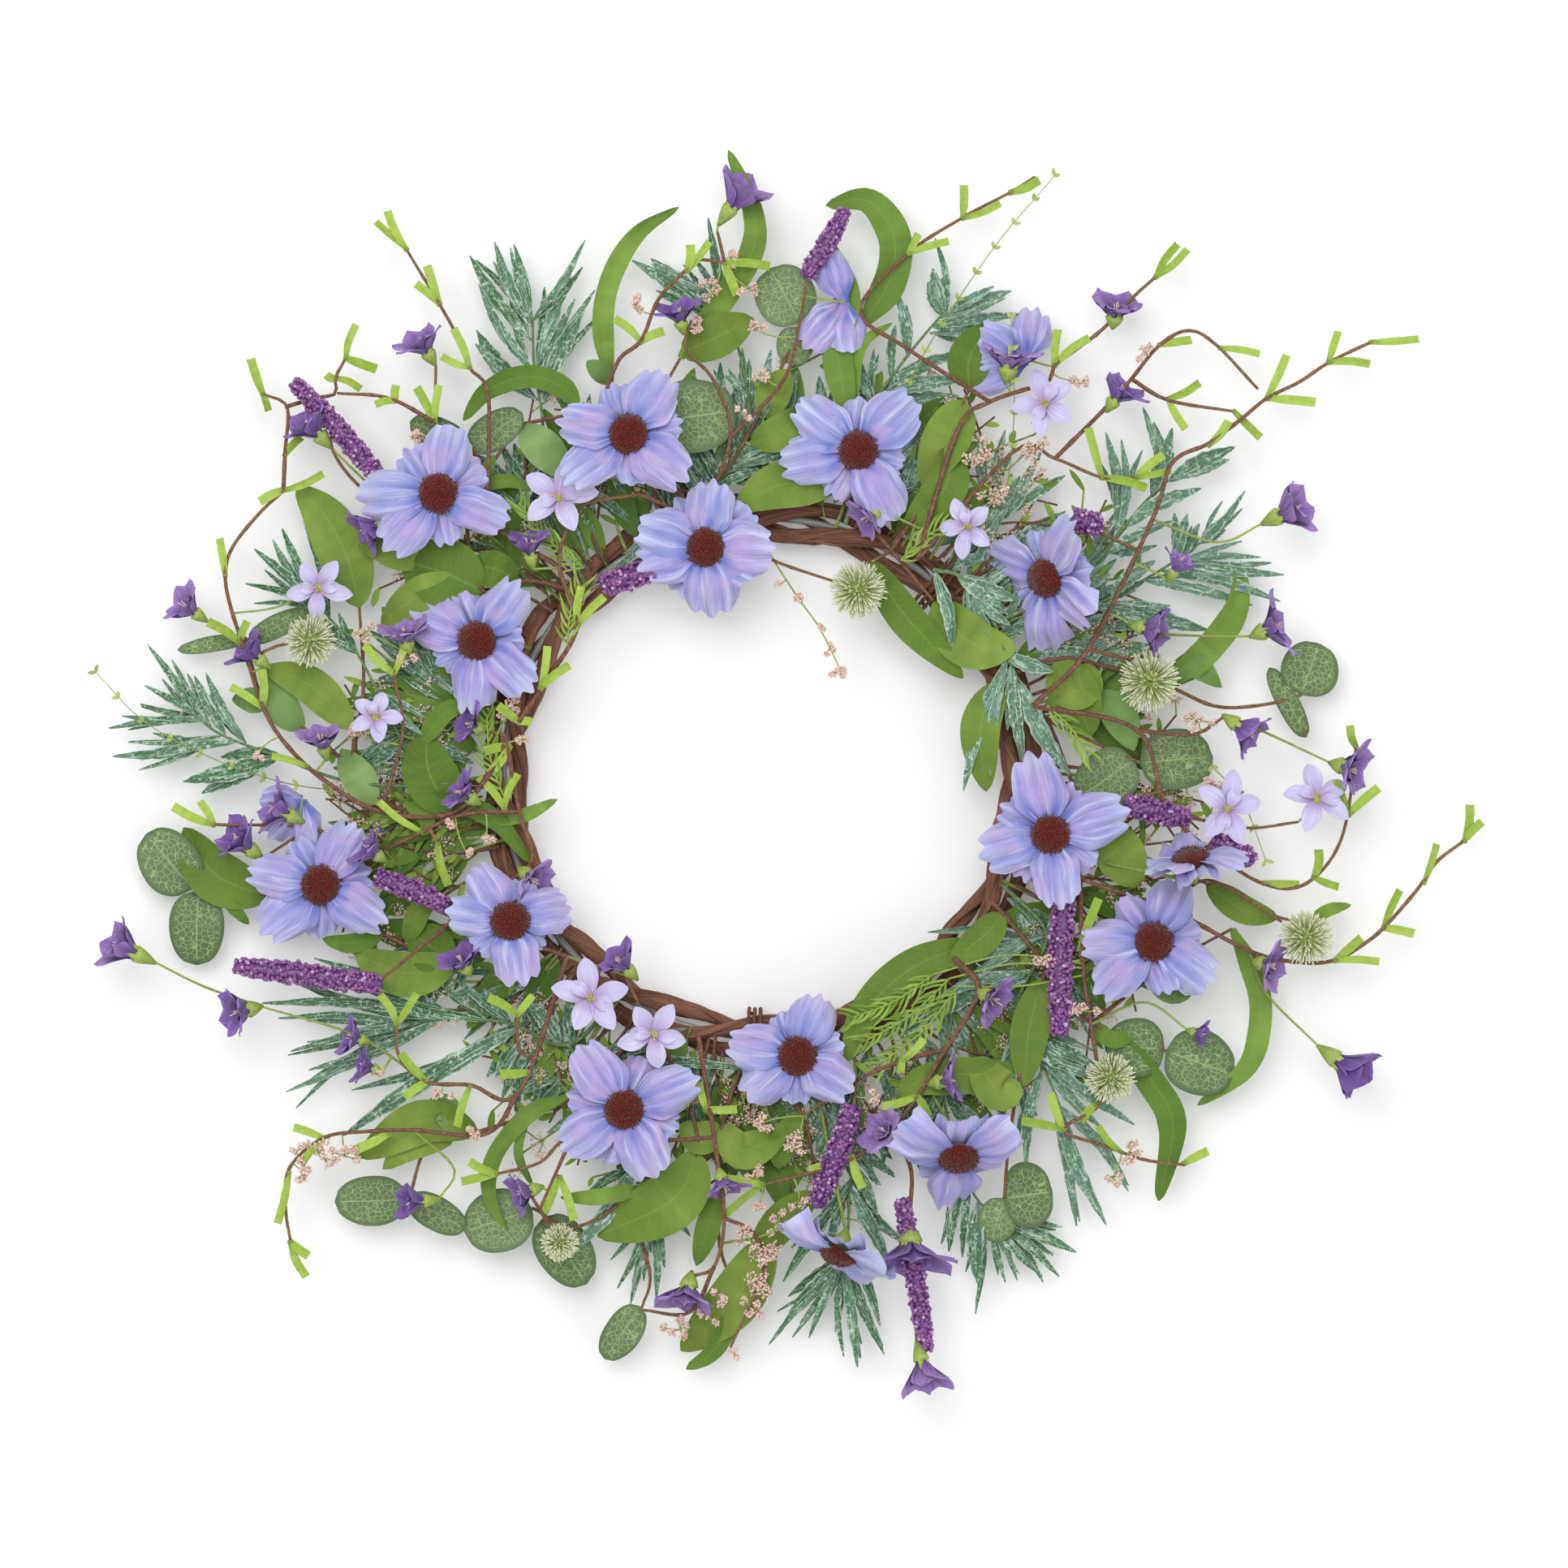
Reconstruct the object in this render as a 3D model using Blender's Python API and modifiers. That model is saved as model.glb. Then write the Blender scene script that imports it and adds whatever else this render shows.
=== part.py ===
"""Artificial flower wreath: a twisted vine ring on a wire hoop, dressed with
frosted sprays, leaf stems, wildflower twigs and cosmos heads.

Metres, +Z up.  The wreath lies on its back: the underside of the vine ring is
at z = 0, the flowers look along +Z, the top of the wreath is +Y.  The origin is
the middle of the outline at the height of the surface the ring rests on.
"""
import math
import bpy
import bmesh
from mathutils import Vector, Matrix
from mathutils.bvhtree import BVHTree

# ------------------------------------------------------------ driving sizes
STEP = 0.000355             # one step of the layout grid
GRID_MID = (971.67, 953.06)   # grid position of the origin
RING_MID = (940.0, 958.0)   # grid position of the ring's centre
RING_R = 0.1143             # centreline radius of the vine ring
HOOP_WIRE_R = 0.0015        # galvanised wire hoop inside the vines
VINE_R = 0.0044             # one vine strand
VINE_LAY = 0.0069           # strand centreline to hoop centreline
VINE_TURNS = 5              # turns each strand takes round the hoop
BUNDLE_Z = 0.0099           # height of the hoop's centreline
WRAP_WIRE_R = 0.0008        # bark covered binding wire
LEAF_T = 0.0009             # thickness of pressed leaves
PETAL_T = 0.0010            # thickness of the cloth petals, two layers
GAP = 0.0004                # clear gap kept between neighbouring pieces
LIFT_STEP = 0.0007          # pieces are laid one above the other in these steps
PICK_Z = 0.0245             # height of the lowest pick, just above the bindings
DROOP = 0.0110              # how far the outer tips hang below that

NAME = "flower_wreath"

# ---------------------------------------------------------------------------
# PLAN LAYOUT.  Positions are (u, v) steps of the layout grid, u to the right and
# v down, one step being STEP metres; P() turns them into metres about the middle
# of the wreath.
#   F  frosted leaflet     (base u, v, tip u, v, width)
#   B  broad leaf          (width, [spine points from stalk to tip])
#   A  strap leaf          (width, [spine points from stalk to tip])
#   Q  smooth pale leaf    (width, [spine points from stalk to tip])
#   E  eucalyptus leaf     (stalk u, v, tip u, v, width)
#   L  lime twig tips      (node u, v, [tip points])
#   P  violet bellflower   (mouth u, v, calyx foot u, v, size)
#   V  lilac star flower   (centre u, v, turn in degrees, size, tilt in degrees)
#   S  beaded spike        (from u, v, to u, v, thickness)
#   T  thistle ball        (centre u, v, diameter)
#   K  pink bud cluster    (centre u, v, size)
#   W  brown twig          (radius in mm, [points from the ring outwards])
#   G  green stalk         (radius in mm, [points from the ring outwards])
# ---------------------------------------------------------------------------
PICKS = [
  ("frosted_spray_top_left", "frost", [
    ("G", 1.5, [(722,722),(690,655),(662,590),(668,520),(657,450),(655,388)]),
    ("F", 655,390,627,302,9), ("F", 656,390,720,293,10), ("F", 653,400,607,294,14), ("F", 651,415,577,312,16),
    ("F", 654,455,588,347,15), ("F", 660,490,585,404,24), ("F", 660,450,703,327,17), ("F", 664,485,707,365,13),
    ("F", 668,495,720,375,22), ("F", 664,570,640,640,12), ("F", 664,560,703,575,14)]),
  ("frosted_spray_top", "frost", [
    ("G", 1.5, [(862,648),(882,600),(902,570),(924,520),(915,450),(900,395)]),
    ("F", 900,395,778,318,22), ("F", 902,402,802,322,14), ("F", 896,392,872,265,13), ("F", 906,568,1000,508,21),
    ("F", 902,574,988,556,11), ("F", 890,588,945,582,13), ("F", 922,540,965,455,17), ("F", 918,480,893,462,10),
    ("F", 868,636,742,712,14), ("F", 872,625,775,675,10), ("F", 880,605,936,578,12), ("F", 924,520,955,490,12)]),
  ("frosted_spray_top_right", "frost", [
    ("G", 1.5, [(1042,645),(1066,560),(1076,500),(1105,455),(1140,410),(1168,378)]),
    ("F", 1168,380,1153,290,9), ("F", 1162,385,1150,328,20), ("F", 1168,382,1226,350,12), ("F", 1160,390,1248,355,18),
    ("F", 1150,400,1262,385,14), ("F", 1146,408,1236,410,9), ("F", 1120,438,1106,358,14), ("F", 1098,465,1104,398,14),
    ("F", 1105,458,1195,432,14), ("F", 1090,480,1190,465,20), ("F", 1080,497,1036,440,15)]),
  ("frosted_spray_right", "frost", [
    ("G", 1.6, [(1205,775),(1290,738),(1350,692),(1385,650),(1415,615),(1440,592)]),
    ("G", 1.4, [(1290,738),(1345,745),(1400,720),(1450,690),(1485,665)]),
    ("F", 1440,592,1525,548,20), ("F", 1438,592,1410,500,13), ("F", 1422,608,1447,525,18),
    ("F", 1388,648,1482,600,20), ("F", 1378,658,1364,530,16), ("F", 1382,652,1383,540,12), ("F", 1360,683,1448,640,16),
    ("F", 1485,667,1515,632,14), ("F", 1482,668,1537,603,8), ("F", 1450,690,1465,632,16), ("F", 1462,684,1480,645,11),
    ("F", 1452,690,1570,692,11), ("F", 1446,694,1585,707,14), ("F", 1430,702,1580,740,16), ("F", 1410,714,1546,745,14),
    ("F", 1348,745,1492,776,24), ("F", 1370,733,1425,690,20)]),
  ("leaf_stem_left", "leaf", [
    ("W", 1.8, [(618,985),(560,1002),(480,992),(430,945),(380,902),(325,868),(302,800)]),
    ("W", 1.5, [(430,945),(446,850),(441,748)]),
    ("B", 62, [(441,748),(428,692),(402,640),(362,597)]), ("E", 304,788,378,751,27), ("E", 302,786,215,800,18),
    ("B", 44, [(432,897),(382,845),(322,822)]), ("Q", 40, [(372,900),(345,870),(326,826)]), ("Q", 40, [(462,992),(438,955),(418,922)]),
    ("B", 64, [(556,1003),(528,950),(524,902)]), ("A", 24, [(490,990),(560,988),(612,1012),(652,1062)]),
    ("A", 22, [(520,915),(548,878),(582,865)]), ("A", 15, [(600,1012),(645,1005),(686,985)]), ("Q", 30, [(330,870),(308,862),(283,862)]),
    ("A", 20, [(500,985),(525,1010),(520,1030)])]),
  ("frosted_spray_left", "frost", [
    ("G", 1.5, [(612,955),(520,968),(425,962),(340,932),(270,905),(236,880)]),
    ("G", 1.3, [(520,968),(478,880),(436,800),(388,742)]),
    ("F", 240,885,130,897,9), ("F", 245,888,147,882,8), ("F", 237,880,178,793,9), ("F", 240,882,175,844,8),
    ("F", 256,895,200,822,16), ("F", 275,905,237,832,13), ("F", 300,915,250,828,15), ("F", 270,906,135,932,14),
    ("F", 290,914,170,936,12), ("F", 342,934,222,963,26), ("F", 392,748,310,675,14), ("F", 396,752,300,718,10),
    ("F", 400,756,345,650,14), ("F", 405,765,372,640,12), ("F", 440,805,398,762,16), ("F", 462,850,520,905,12)]),
  ("frosted_spray_lower_left", "frost", [
    ("G", 1.6, [(764,1226),(700,1288),(630,1262),(560,1256),(490,1262)]),
    ("G", 1.4, [(700,1288),(752,1380),(795,1450),(800,1500)]),
    ("F", 560,1256,320,1237,14), ("F", 500,1262,340,1256,9), ("F", 570,1257,345,1205,15), ("F", 492,1262,350,1347,10),
    ("F", 510,1262,355,1297,12), ("F", 540,1258,378,1320,14), ("F", 600,1259,430,1212,14), ("F", 630,1262,560,1205,12),
    ("F", 690,1287,650,1235,20), ("F", 640,1266,420,1402,24), ("F", 720,1320,800,1318,14),
    ("F", 798,1490,760,1590,9), ("F", 799,1495,776,1610,13), ("F", 800,1496,808,1605,10), ("F", 800,1490,818,1565,9),
    ("F", 795,1452,850,1525,15), ("F", 785,1435,705,1545,22), ("F", 720,1322,925,1318,15), ("F", 715,1316,845,1268,14)]),
  ("frosted_spray_bottom", "frost", [
    ("G", 1.5, [(1015,1270),(1062,1372),(1048,1460),(1045,1520),(1038,1562)]),
    ("F", 1048,1462,965,1582,16), ("F", 1048,1455,975,1540,10), ("F", 1048,1465,1097,1560,19), ("F", 1052,1440,1082,1500,12),
    ("F", 1038,1562,947,1660,9), ("F", 1040,1552,968,1632,20), ("F", 1040,1556,997,1652,10), ("F", 1038,1562,1040,1675,9),
    ("F", 1040,1558,1057,1688,13), ("F", 1042,1550,1090,1672,15), ("F", 1044,1540,1085,1637,12),
    ("G", 1.5, [(1165,1240),(1160,1330),(1182,1430),(1205,1480),(1230,1502)]),
    ("F", 1190,1448,1170,1545,14), ("F", 1196,1462,1187,1552,10), ("F", 1206,1482,1206,1585,22), ("F", 1218,1492,1240,1583,9),
    ("F", 1214,1488,1203,1622,9), ("F", 1226,1500,1303,1518,9), ("F", 1228,1500,1328,1546,16), ("F", 1222,1498,1286,1576,10),
    ("F", 1226,1502,1307,1576,12), ("F", 1166,1350,1210,1412,15), ("F", 1162,1335,1140,1390,12)]),
  ("leaf_stem_top_left", "leaf", [
    ("W", 1.8, [(715,730),(650,715),(595,728),(575,640),(600,580),(640,522)]),
    ("W", 1.3, [(600,580),(578,548)]),
    ("W", 1.3, [(640,522),(690,512),(712,508)]),
    ("A", 26, [(712,508),(695,478),(650,463),(600,480),(570,517)]), ("E", 578,550,643,508,44), ("E", 574,548,504,518,38),
    ("Q", 44, [(640,522),(668,552),(706,592)]), ("B", 16, [(580,600),(625,592),(655,603)]), ("A", 14, [(592,598),(608,560)]),
    ("B", 80, [(595,728),(545,705),(492,690)]), ("B", 44, [(575,715),(515,735),(468,770)]), ("B", 44, [(585,700),(605,700),(638,713)]),
    ("B", 40, [(520,695),(475,676),(440,668)])]),
  ("leaf_stem_top", "leaf", [
    ("W", 1.8, [(822,662),(805,600),(792,520),(748,468)]),
    ("W", 1.6, [(805,600),(870,600),(928,525),(988,396)]),
    ("W", 1.4, [(792,520),(838,440)]),
    ("A", 24, [(752,470),(742,400),(752,340),(785,285),(836,252)]), ("B", 50, [(838,435),(882,415),(928,390)]),
    ("A", 28, [(838,440),(890,370),(926,310),(928,258),(897,182)]), ("E", 806,520,907,505,92), ("E", 986,396,948,328,72),
    ("E", 984,402,975,448,44), ("B", 40, [(940,515),(955,482),(972,455)]), ("B", 42, [(925,548),(965,530),(1000,500)]),
    ("Q", 12, [(986,400),(1010,412),(1040,428)]), ("Q", 24, [(750,472),(742,460),(722,445)])]),
  ("leaf_stem_top_right", "leaf", [
    ("W", 1.8, [(1098,678),(1150,600),(1172,530),(1195,478)]),
    ("W", 1.5, [(1098,678),(1040,600),(1050,500),(1062,400)]),
    ("W", 1.4, [(1098,678),(1078,690)]),
    ("W", 1.4, [(1098,678),(1150,740)]),
    ("B", 54, [(1195,478),(1195,440),(1222,398)]), ("B", 56, [(1190,492),(1172,530),(1138,600)]), ("B", 50, [(1170,548),(1165,600),(1113,655)]),
    ("B", 42, [(1074,692),(1112,755),(1187,836)]), ("B", 62, [(1150,742),(1196,792),(1253,800)]),
    ("A", 38, [(1062,400),(1096,345),(1102,290),(1070,245),(1018,250)]), ("A", 14, [(1050,505),(1060,430),(1100,395)]),
    ("A", 34, [(1048,520),(1032,430),(1045,360),(1015,285)]), ("B", 56, [(1042,590),(960,598),(905,626)])]),
  ("leaf_stem_right", "leaf", [
    ("W", 1.8, [(1235,835),(1300,812),(1360,820),(1440,845),(1500,870),(1560,868),(1606,856)]),
    ("W", 1.6, [(1235,835),(1290,885),(1350,915),(1402,938)]),
    ("W", 1.6, [(1290,885),(1350,1020),(1420,1060),(1490,1090)]),
    ("B", 60, [(1300,815),(1322,852),(1345,908)]), ("B", 46, [(1235,838),(1208,895),(1216,975)]), ("B", 44, [(1348,818),(1330,850),(1290,855)]),
    ("A", 34, [(1440,845),(1495,792),(1524,748),(1532,690)]), ("Q", 30, [(1440,845),(1470,820),(1508,846)]),
    ("E", 1606,856,1628,792,70), ("E", 1612,908,1567,822,26), ("E", 1398,936,1328,984,70), ("E", 1405,940,1497,932,74),
    ("Q", 42, [(1352,850),(1378,880),(1398,925)]), ("B", 58, [(1352,1022),(1385,1060),(1400,1095)]), ("B", 34, [(1488,1089),(1530,1120),(1578,1132)]),
    ("A", 14, [(1620,1135),(1640,1122),(1668,1115)]), ("W", 1.2, [(1575,1130),(1622,1136)])]),
  ("frosted_spray_lower_right", "frost", [
    ("G", 1.5, [(1235,1090),(1290,1150),(1262,1215),(1250,1262),(1285,1315),(1310,1370)]),
    ("F", 1286,1152,1100,1190,13), ("F", 1285,1155,1145,1168,12), ("F", 1272,1195,1110,1277,18), ("F", 1268,1205,1180,1225,14),
    ("F", 1290,1150,1330,1080,12), ("F", 1252,1265,1240,1372,20), ("F", 1258,1275,1345,1325,24), ("F", 1275,1300,1400,1388,17),
    ("F", 1285,1318,1265,1442,14), ("F", 1300,1348,1365,1512,19), ("F", 1300,1358,1332,1508,10), ("F", 1305,1362,1392,1470,11)]),
  ("frosted_spray_inner_right", "frost", [
    ("G", 1.5, [(1150,702),(1186,712),(1222,762),(1240,808),(1262,850)]),
    ("F", 1152,704,1173,800,17), ("F", 1180,710,1252,738,26), ("F", 1192,720,1212,822,15), ("F", 1205,738,1245,770,12),
    ("F", 1240,808,1298,828,18), ("F", 1242,812,1187,975,17), ("F", 1246,818,1262,942,18), ("F", 1256,838,1318,955,22)]),
  ("leaf_stem_lower_right", "leaf", [
    ("W", 1.8, [(1222,1110),(1290,1190),(1345,1262),(1438,1296)]),
    ("W", 1.6, [(1290,1190),(1262,1300),(1245,1400),(1238,1478)]),
    ("W", 1.4, [(1222,1110),(1200,1165)]),
    ("W", 1.4, [(1345,1262),(1440,1190),(1520,1145)]),
    ("B", 40, [(1236,1125),(1215,1150),(1168,1190)]), ("B", 46, [(1205,1160),(1125,1192),(1068,1245),(1040,1310)]),
    ("B", 50, [(1255,1330),(1232,1345),(1200,1303)]), ("B", 46, [(1285,1205),(1268,1270),(1262,1340)]), ("A", 20, [(1345,1262),(1372,1282),(1405,1272)]),
    ("E", 1437,1294,1362,1288,70), ("E", 1438,1296,1522,1326,80), ("A", 34, [(1370,1272),(1422,1335),(1447,1390),(1430,1482)]),
    ("A", 26, [(1520,1145),(1551,1215),(1553,1270),(1535,1320),(1478,1363)]), ("Q", 34, [(1415,1210),(1450,1220),(1480,1190)]),
    ("E", 1238,1478,1298,1470,80), ("E", 1238,1478,1222,1532,46), ("B", 44, [(1258,1320),(1140,1330),(1105,1360)])]),
  ("leaf_stem_bottom", "leaf", [
    ("W", 1.8, [(925,1282),(890,1385),(884,1460),(888,1545),(915,1600)]),
    ("W", 1.6, [(925,1282),(990,1380),(1005,1470)]),
    ("B", 44, [(890,1385),(915,1418),(972,1393)]), ("B", 40, [(890,1390),(862,1402),(838,1385)]), ("B", 28, [(884,1470),(872,1515),(857,1562)]),
    ("B", 62, [(950,1525),(908,1600),(838,1668)]), ("A", 22, [(915,1600),(880,1665),(845,1690)]), ("B", 42, [(1005,1470),(960,1510),(925,1562)]),
    ("B", 34, [(985,1372),(965,1410),(960,1442)])]),
  ("leaf_stem_bottom_left", "leaf", [
    ("W", 1.8, [(800,1245),(720,1345),(600,1392),(528,1412),(502,1478)]),
    ("W", 1.8, [(800,1245),(860,1418),(772,1480),(705,1514),(655,1490)]),
    ("W", 1.4, [(772,1480),(800,1570),(790,1614)]),
    ("B", 52, [(588,1395),(520,1382),(440,1428)]), ("B", 30, [(560,1402),(505,1415),(470,1442)]), ("Q", 34, [(560,1402),(545,1365),(520,1385)]),
    ("A", 20, [(700,1352),(650,1375),(610,1425),(603,1475),(625,1520)]), ("A", 10, [(650,1372),(638,1420),(655,1462)]),
    ("E", 500,1480,410,1483,60), ("E", 503,1478,572,1517,40), ("E", 655,1492,570,1520,76), ("E", 668,1502,722,1585,66),
    ("E", 788,1612,744,1678,44), ("B", 70, [(860,1418),(830,1478),(735,1525)]), ("A", 18, [(790,1465),(740,1475),(690,1478)])]),
  ("leaf_stem_lower_left", "leaf", [
    ("W", 1.8, [(668,1130),(560,1185),(470,1152),(380,1118),(300,1100),(232,1096)]),
    ("E", 234,1096,176,1028,74), ("E", 240,1098,238,1190,66), ("B", 62, [(330,1106),(262,1078),(222,1020)]), ("A", 14, [(262,1096),(290,1125),(303,1140)]),
    ("B", 54, [(560,1186),(500,1200),(435,1176)]), ("B", 56, [(555,1184),(528,1165),(505,1148)]), ("A", 22, [(470,1152),(430,1162),(395,1158)]),
    ("B", 26, [(500,1162),(520,1118),(546,1110)])]),
  ("wildflower_twig_left", "wild", [
    ("W", 2.0, [(620,930),(560,1000),(470,1000),(400,962),(350,915),(322,868),(300,800),(282,745),(276,705),(286,672),(318,632),(348,604)]),
    ("W", 1.5, [(348,604),(350,555),(352,500),(322,484)]),
    ("W", 1.5, [(352,500),(385,490),(412,484),(412,465),(425,440)]),
    ("W", 1.3, [(470,1000),(497,900),(486,830),(498,795)]),
    ("L", 322,484,[(308,444),(328,502)]), ("L", 350,560,[(368,540)]), ("L", 348,603,[(394,584),(322,616)]), ("L", 276,708,[(270,666)]),
    ("L", 294,792,[(258,768),(302,768)]), ("L", 322,872,[(286,848),(322,828)]), ("L", 378,944,[(338,932)]), ("L", 425,440,[(437,402),(460,453)]),
    ("L", 486,830,[(452,797),(503,783)]), ("L", 412,465,[(440,477),(404,462)]),
    ("P", 222,742,252,764,44), ("W", 0.9, [(298,795),(252,764)]), ("P", 305,800,330,822,46), ("P", 395,905,402,935,44), ("P", 498,778,505,805,52),
    ("V", 392,722,-90,62,65), ("T", 382,790,64), ("V", 462,888,60,56,20), ("K", 438,905,26), ("K", 448,780,26), ("K", 500,815,22), ("K", 315,930,16),
    ("W", 2.0, [(622,905),(640,1000),(655,1062),(600,1100)]),
    ("W", 1.5, [(640,1000),(565,1005),(460,1048),(380,1020),(262,1016)]),
    ("W", 1.0, [(565,1005),(590,990)]),
    ("W", 1.0, [(622,905),(596,900)]),
    ("L", 622,997,[(592,960),(638,957)]), ("L", 628,920,[(600,925),(606,950)]), ("L", 262,1016,[(215,995),(246,990)]), ("L", 540,1040,[(552,1088)]), ("L", 520,1025,[(470,990)]),
    ("P", 578,893,596,900,48), ("P", 568,975,590,990,50), ("P", 288,1030,322,1058,54), ("W", 1.0, [(380,1020),(322,1058)]), ("P", 336,995,372,1012,50), ("P", 660,1085,640,1070,50),
    ("K", 628,870,30), ("K", 645,912,20), ("K", 560,1015,20), ("K", 600,1035,20), ("K", 575,1050,16),
    ("C", 372, 985, 50, 60)]),
  ("wildflower_twig_top_left", "wild", [
    ("W", 2.0, [(640,890),(668,846),(712,772),(690,700),(700,650),(720,622),(790,610)]),
    ("W", 1.5, [(690,700),(600,640),(540,560),(536,520),(537,450)]),
    ("W", 1.4, [(790,610),(880,650),(950,690),(1030,718)]), ("T", 1057,728,70),
    ("W", 1.5, [(536,520),(478,490),(415,484)]),
    ("W", 1.5, [(600,640),(602,490),(578,452),(560,408),(541,374),(500,306)]),
    ("W", 1.4, [(540,560),(470,612),(412,560),(410,500)]),
    ("L", 500,306,[(465,275),(478,262)]), ("L", 541,374,[(515,352),(527,330)]), ("L", 578,452,[(547,440),(560,408)]), ("L", 536,520,[(515,480),(541,478)]),
    ("L", 488,494,[(466,498),(488,478)]), ("L", 712,772,[(717,727),(743,738)]), ("L", 667,848,[(675,800),(700,822)]), ("L", 640,890,[(652,890),(617,872)]),
    ("P", 519,420,535,448,52), ("P", 378,520,406,550,54), ("W", 0.9, [(470,612),(406,550)]), ("P", 450,655,480,636,46), ("P", 652,665,657,700,44), ("W", 0.9, [(690,700),(657,702)]),
    ("S", 478,602,362,470,25), ("V", 690,618,100,76,15), ("K", 700,597,30), ("K", 655,672,24), ("K", 512,536,22), ("S", 742,722,818,700,30),
    ("W", 2.0, [(865,640),(800,560),(750,500),(762,445),(790,420),(812,368),(846,332),(862,320),(893,324)]),
    ("W", 1.5, [(865,640),(900,540),(880,470),(845,430),(852,395)]),
    ("W", 1.3, [(893,324),(884,285)]),
    ("W", 1.4, [(900,540),(965,470),(985,400),(996,335)]),
    ("L", 790,422,[(760,395),(815,410)]), ("L", 846,334,[(850,305),(872,300)]), ("L", 893,324,[(945,328),(907,360)]),
    ("P", 918,232,886,276,56), ("P", 836,384,842,410,46), ("S", 992,340,1042,258,23), ("K", 782,380,26), ("K", 860,405,24), ("K", 880,358,28), ("K", 900,318,20),
    ("K", 922,355,24), ("K", 928,405,24), ("K", 938,462,20), ("K", 915,510,16),
    ("C", 1040, 372, 60, 20)]),
  ("wildflower_twig_top_right", "wild", [
    ("W", 2.0, [(1130,690),(1180,530),(1220,495),(1290,470),(1300,450),(1340,420),(1362,402),(1398,364),(1425,340)]),
    ("W", 1.5, [(1220,495),(1120,430),(1060,382),(1118,312),(1186,267),(1246,235),(1276,216)]),
    ("W", 1.6, [(1130,690),(1250,556),(1300,565),(1358,588),(1400,588)]),
    ("W", 1.6, [(1300,565),(1365,500),(1395,466),(1430,424),(1466,406),(1500,424),(1551,478)]),
    ("W", 1.5, [(1395,466),(1440,492),(1522,506)]),
    ("L", 1425,340,[(1450,302),(1462,308)]), ("L", 1300,450,[(1304,408),(1340,418)]), ("L", 1120,311,[(1166,297),(1130,290)]), ("L", 1187,267,[(1188,230),(1230,250)]),
    ("L", 1246,235,[(1278,222)]), ("L", 1430,424,[(1466,418)]), ("L", 1505,428,[(1550,435)]), ("L", 1440,490,[(1476,472),(1460,525)]), ("L", 1522,506,[(1552,536)]),
    ("L", 1358,588,[(1410,600),(1342,530)]), ("L", 1400,588,[(1432,562),(1440,580)]),
    ("P", 1376,378,1372,402,60), ("P", 1382,480,1365,505,50), ("P", 1245,440,1240,470,66), ("V", 1290,502,120,70,20), ("V", 1195,648,250,60,55),
    ("K", 1208,555,34), ("K", 1275,555,36), ("K", 1325,468,26), ("K", 1410,432,22), ("K", 1228,610,32), ("K", 1205,660,28), ("P", 1068,640,1085,628,50), ("W", 0.9, [(1130,650),(1085,628)]),
    ("C", 1266, 442, 62, 40)]),
  ("wildflower_twig_right", "wild", [
    ("W", 2.0, [(1272,870),(1340,800),(1420,640),(1445,570),(1490,546),(1530,516),(1562,490),(1602,470),(1640,445),(1692,420)]),
    ("W", 1.6, [(1272,870),(1400,900),(1440,1000),(1520,1068),(1560,1090),(1592,1095),(1620,1082),(1646,1050),(1661,1005),(1672,920)]),
    ("W", 1.4, [(1340,800),(1400,812),(1430,782)]),
    ("W", 0.9, [(1430,782),(1500,784),(1542,784)]),
    ("W", 1.5, [(1400,900),(1470,905),(1510,882)]),
    ("W", 1.3, [(1440,1000),(1530,1020),(1600,1013)]),
    ("W", 0.9, [(1420,640),(1500,668),(1556,645)]),
    ("L", 1490,548,[(1513,521)]), ("L", 1562,490,[(1585,440),(1618,495)]), ("L", 1638,446,[(1649,411),(1685,448)]), ("L", 1690,421,[(1745,418)]),
    ("L", 1661,1005,[(1645,965),(1697,973)]), ("L", 1619,1081,[(1625,1050),(1647,1092)]), ("L", 1558,1088,[(1598,1090)]), ("L", 1672,920,[(1665,897)]),
    ("P", 1600,625,1556,645,62), ("P", 1425,778,1392,770,50), ("P", 1572,772,1542,784,60), ("P", 1540,905,1508,882,52), ("P", 1668,948,1640,940,58), ("W", 0.9, [(1510,882),(1565,905),(1640,940)]),
    ("T", 1415,840,76), ("V", 1622,990,80,70,25), ("V", 1510,998,30,72,10), ("S", 1385,990,1465,1008,30), ("S", 1495,1035,1545,1060,26), ("S", 1322,640,1356,650,30),
    ("K", 1475,888,30), ("K", 1500,968,26), ("P", 1455,690,1440,715,36)]),
  ("wildflower_twig_lower_right", "wild", [
    ("W", 2.0, [(1258,1010),(1330,1080),(1440,1120),(1540,1172),(1600,1186),(1645,1184),(1680,1165),(1708,1142),(1748,1096),(1772,1062),(1806,1036)]),
    ("W", 1.4, [(1440,1120),(1490,1085),(1580,1136)]),
    ("W", 1.4, [(1330,1080),(1312,1100)]),
    ("W", 0.9, [(1540,1172),(1562,1225),(1626,1290)]),
    ("W", 1.7, [(1330,1080),(1335,1200),(1350,1300),(1355,1360),(1310,1392),(1360,1412),(1412,1430),(1460,1436)]),
    ("L", 1806,1036,[(1812,995),(1825,1015)]), ("L", 1756,1088,[(1770,1043)]), ("L", 1706,1144,[(1725,1100),(1740,1150)]), ("L", 1646,1184,[(1676,1158),(1697,1185)]),
    ("L", 1310,1392,[(1262,1382),(1295,1350)]), ("L", 1350,1362,[(1335,1380)]), ("L", 1382,1420,[(1355,1390)]), ("L", 1460,1434,[(1486,1420)]), ("L", 1330,1170,[(1352,1110)]),
    ("T", 1610,1156,68), ("P", 1568,1190,1545,1185,52), ("P", 1672,1325,1626,1290,64), ("S", 1312,1095,1306,1275,30), ("T", 1368,1328,62),
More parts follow.
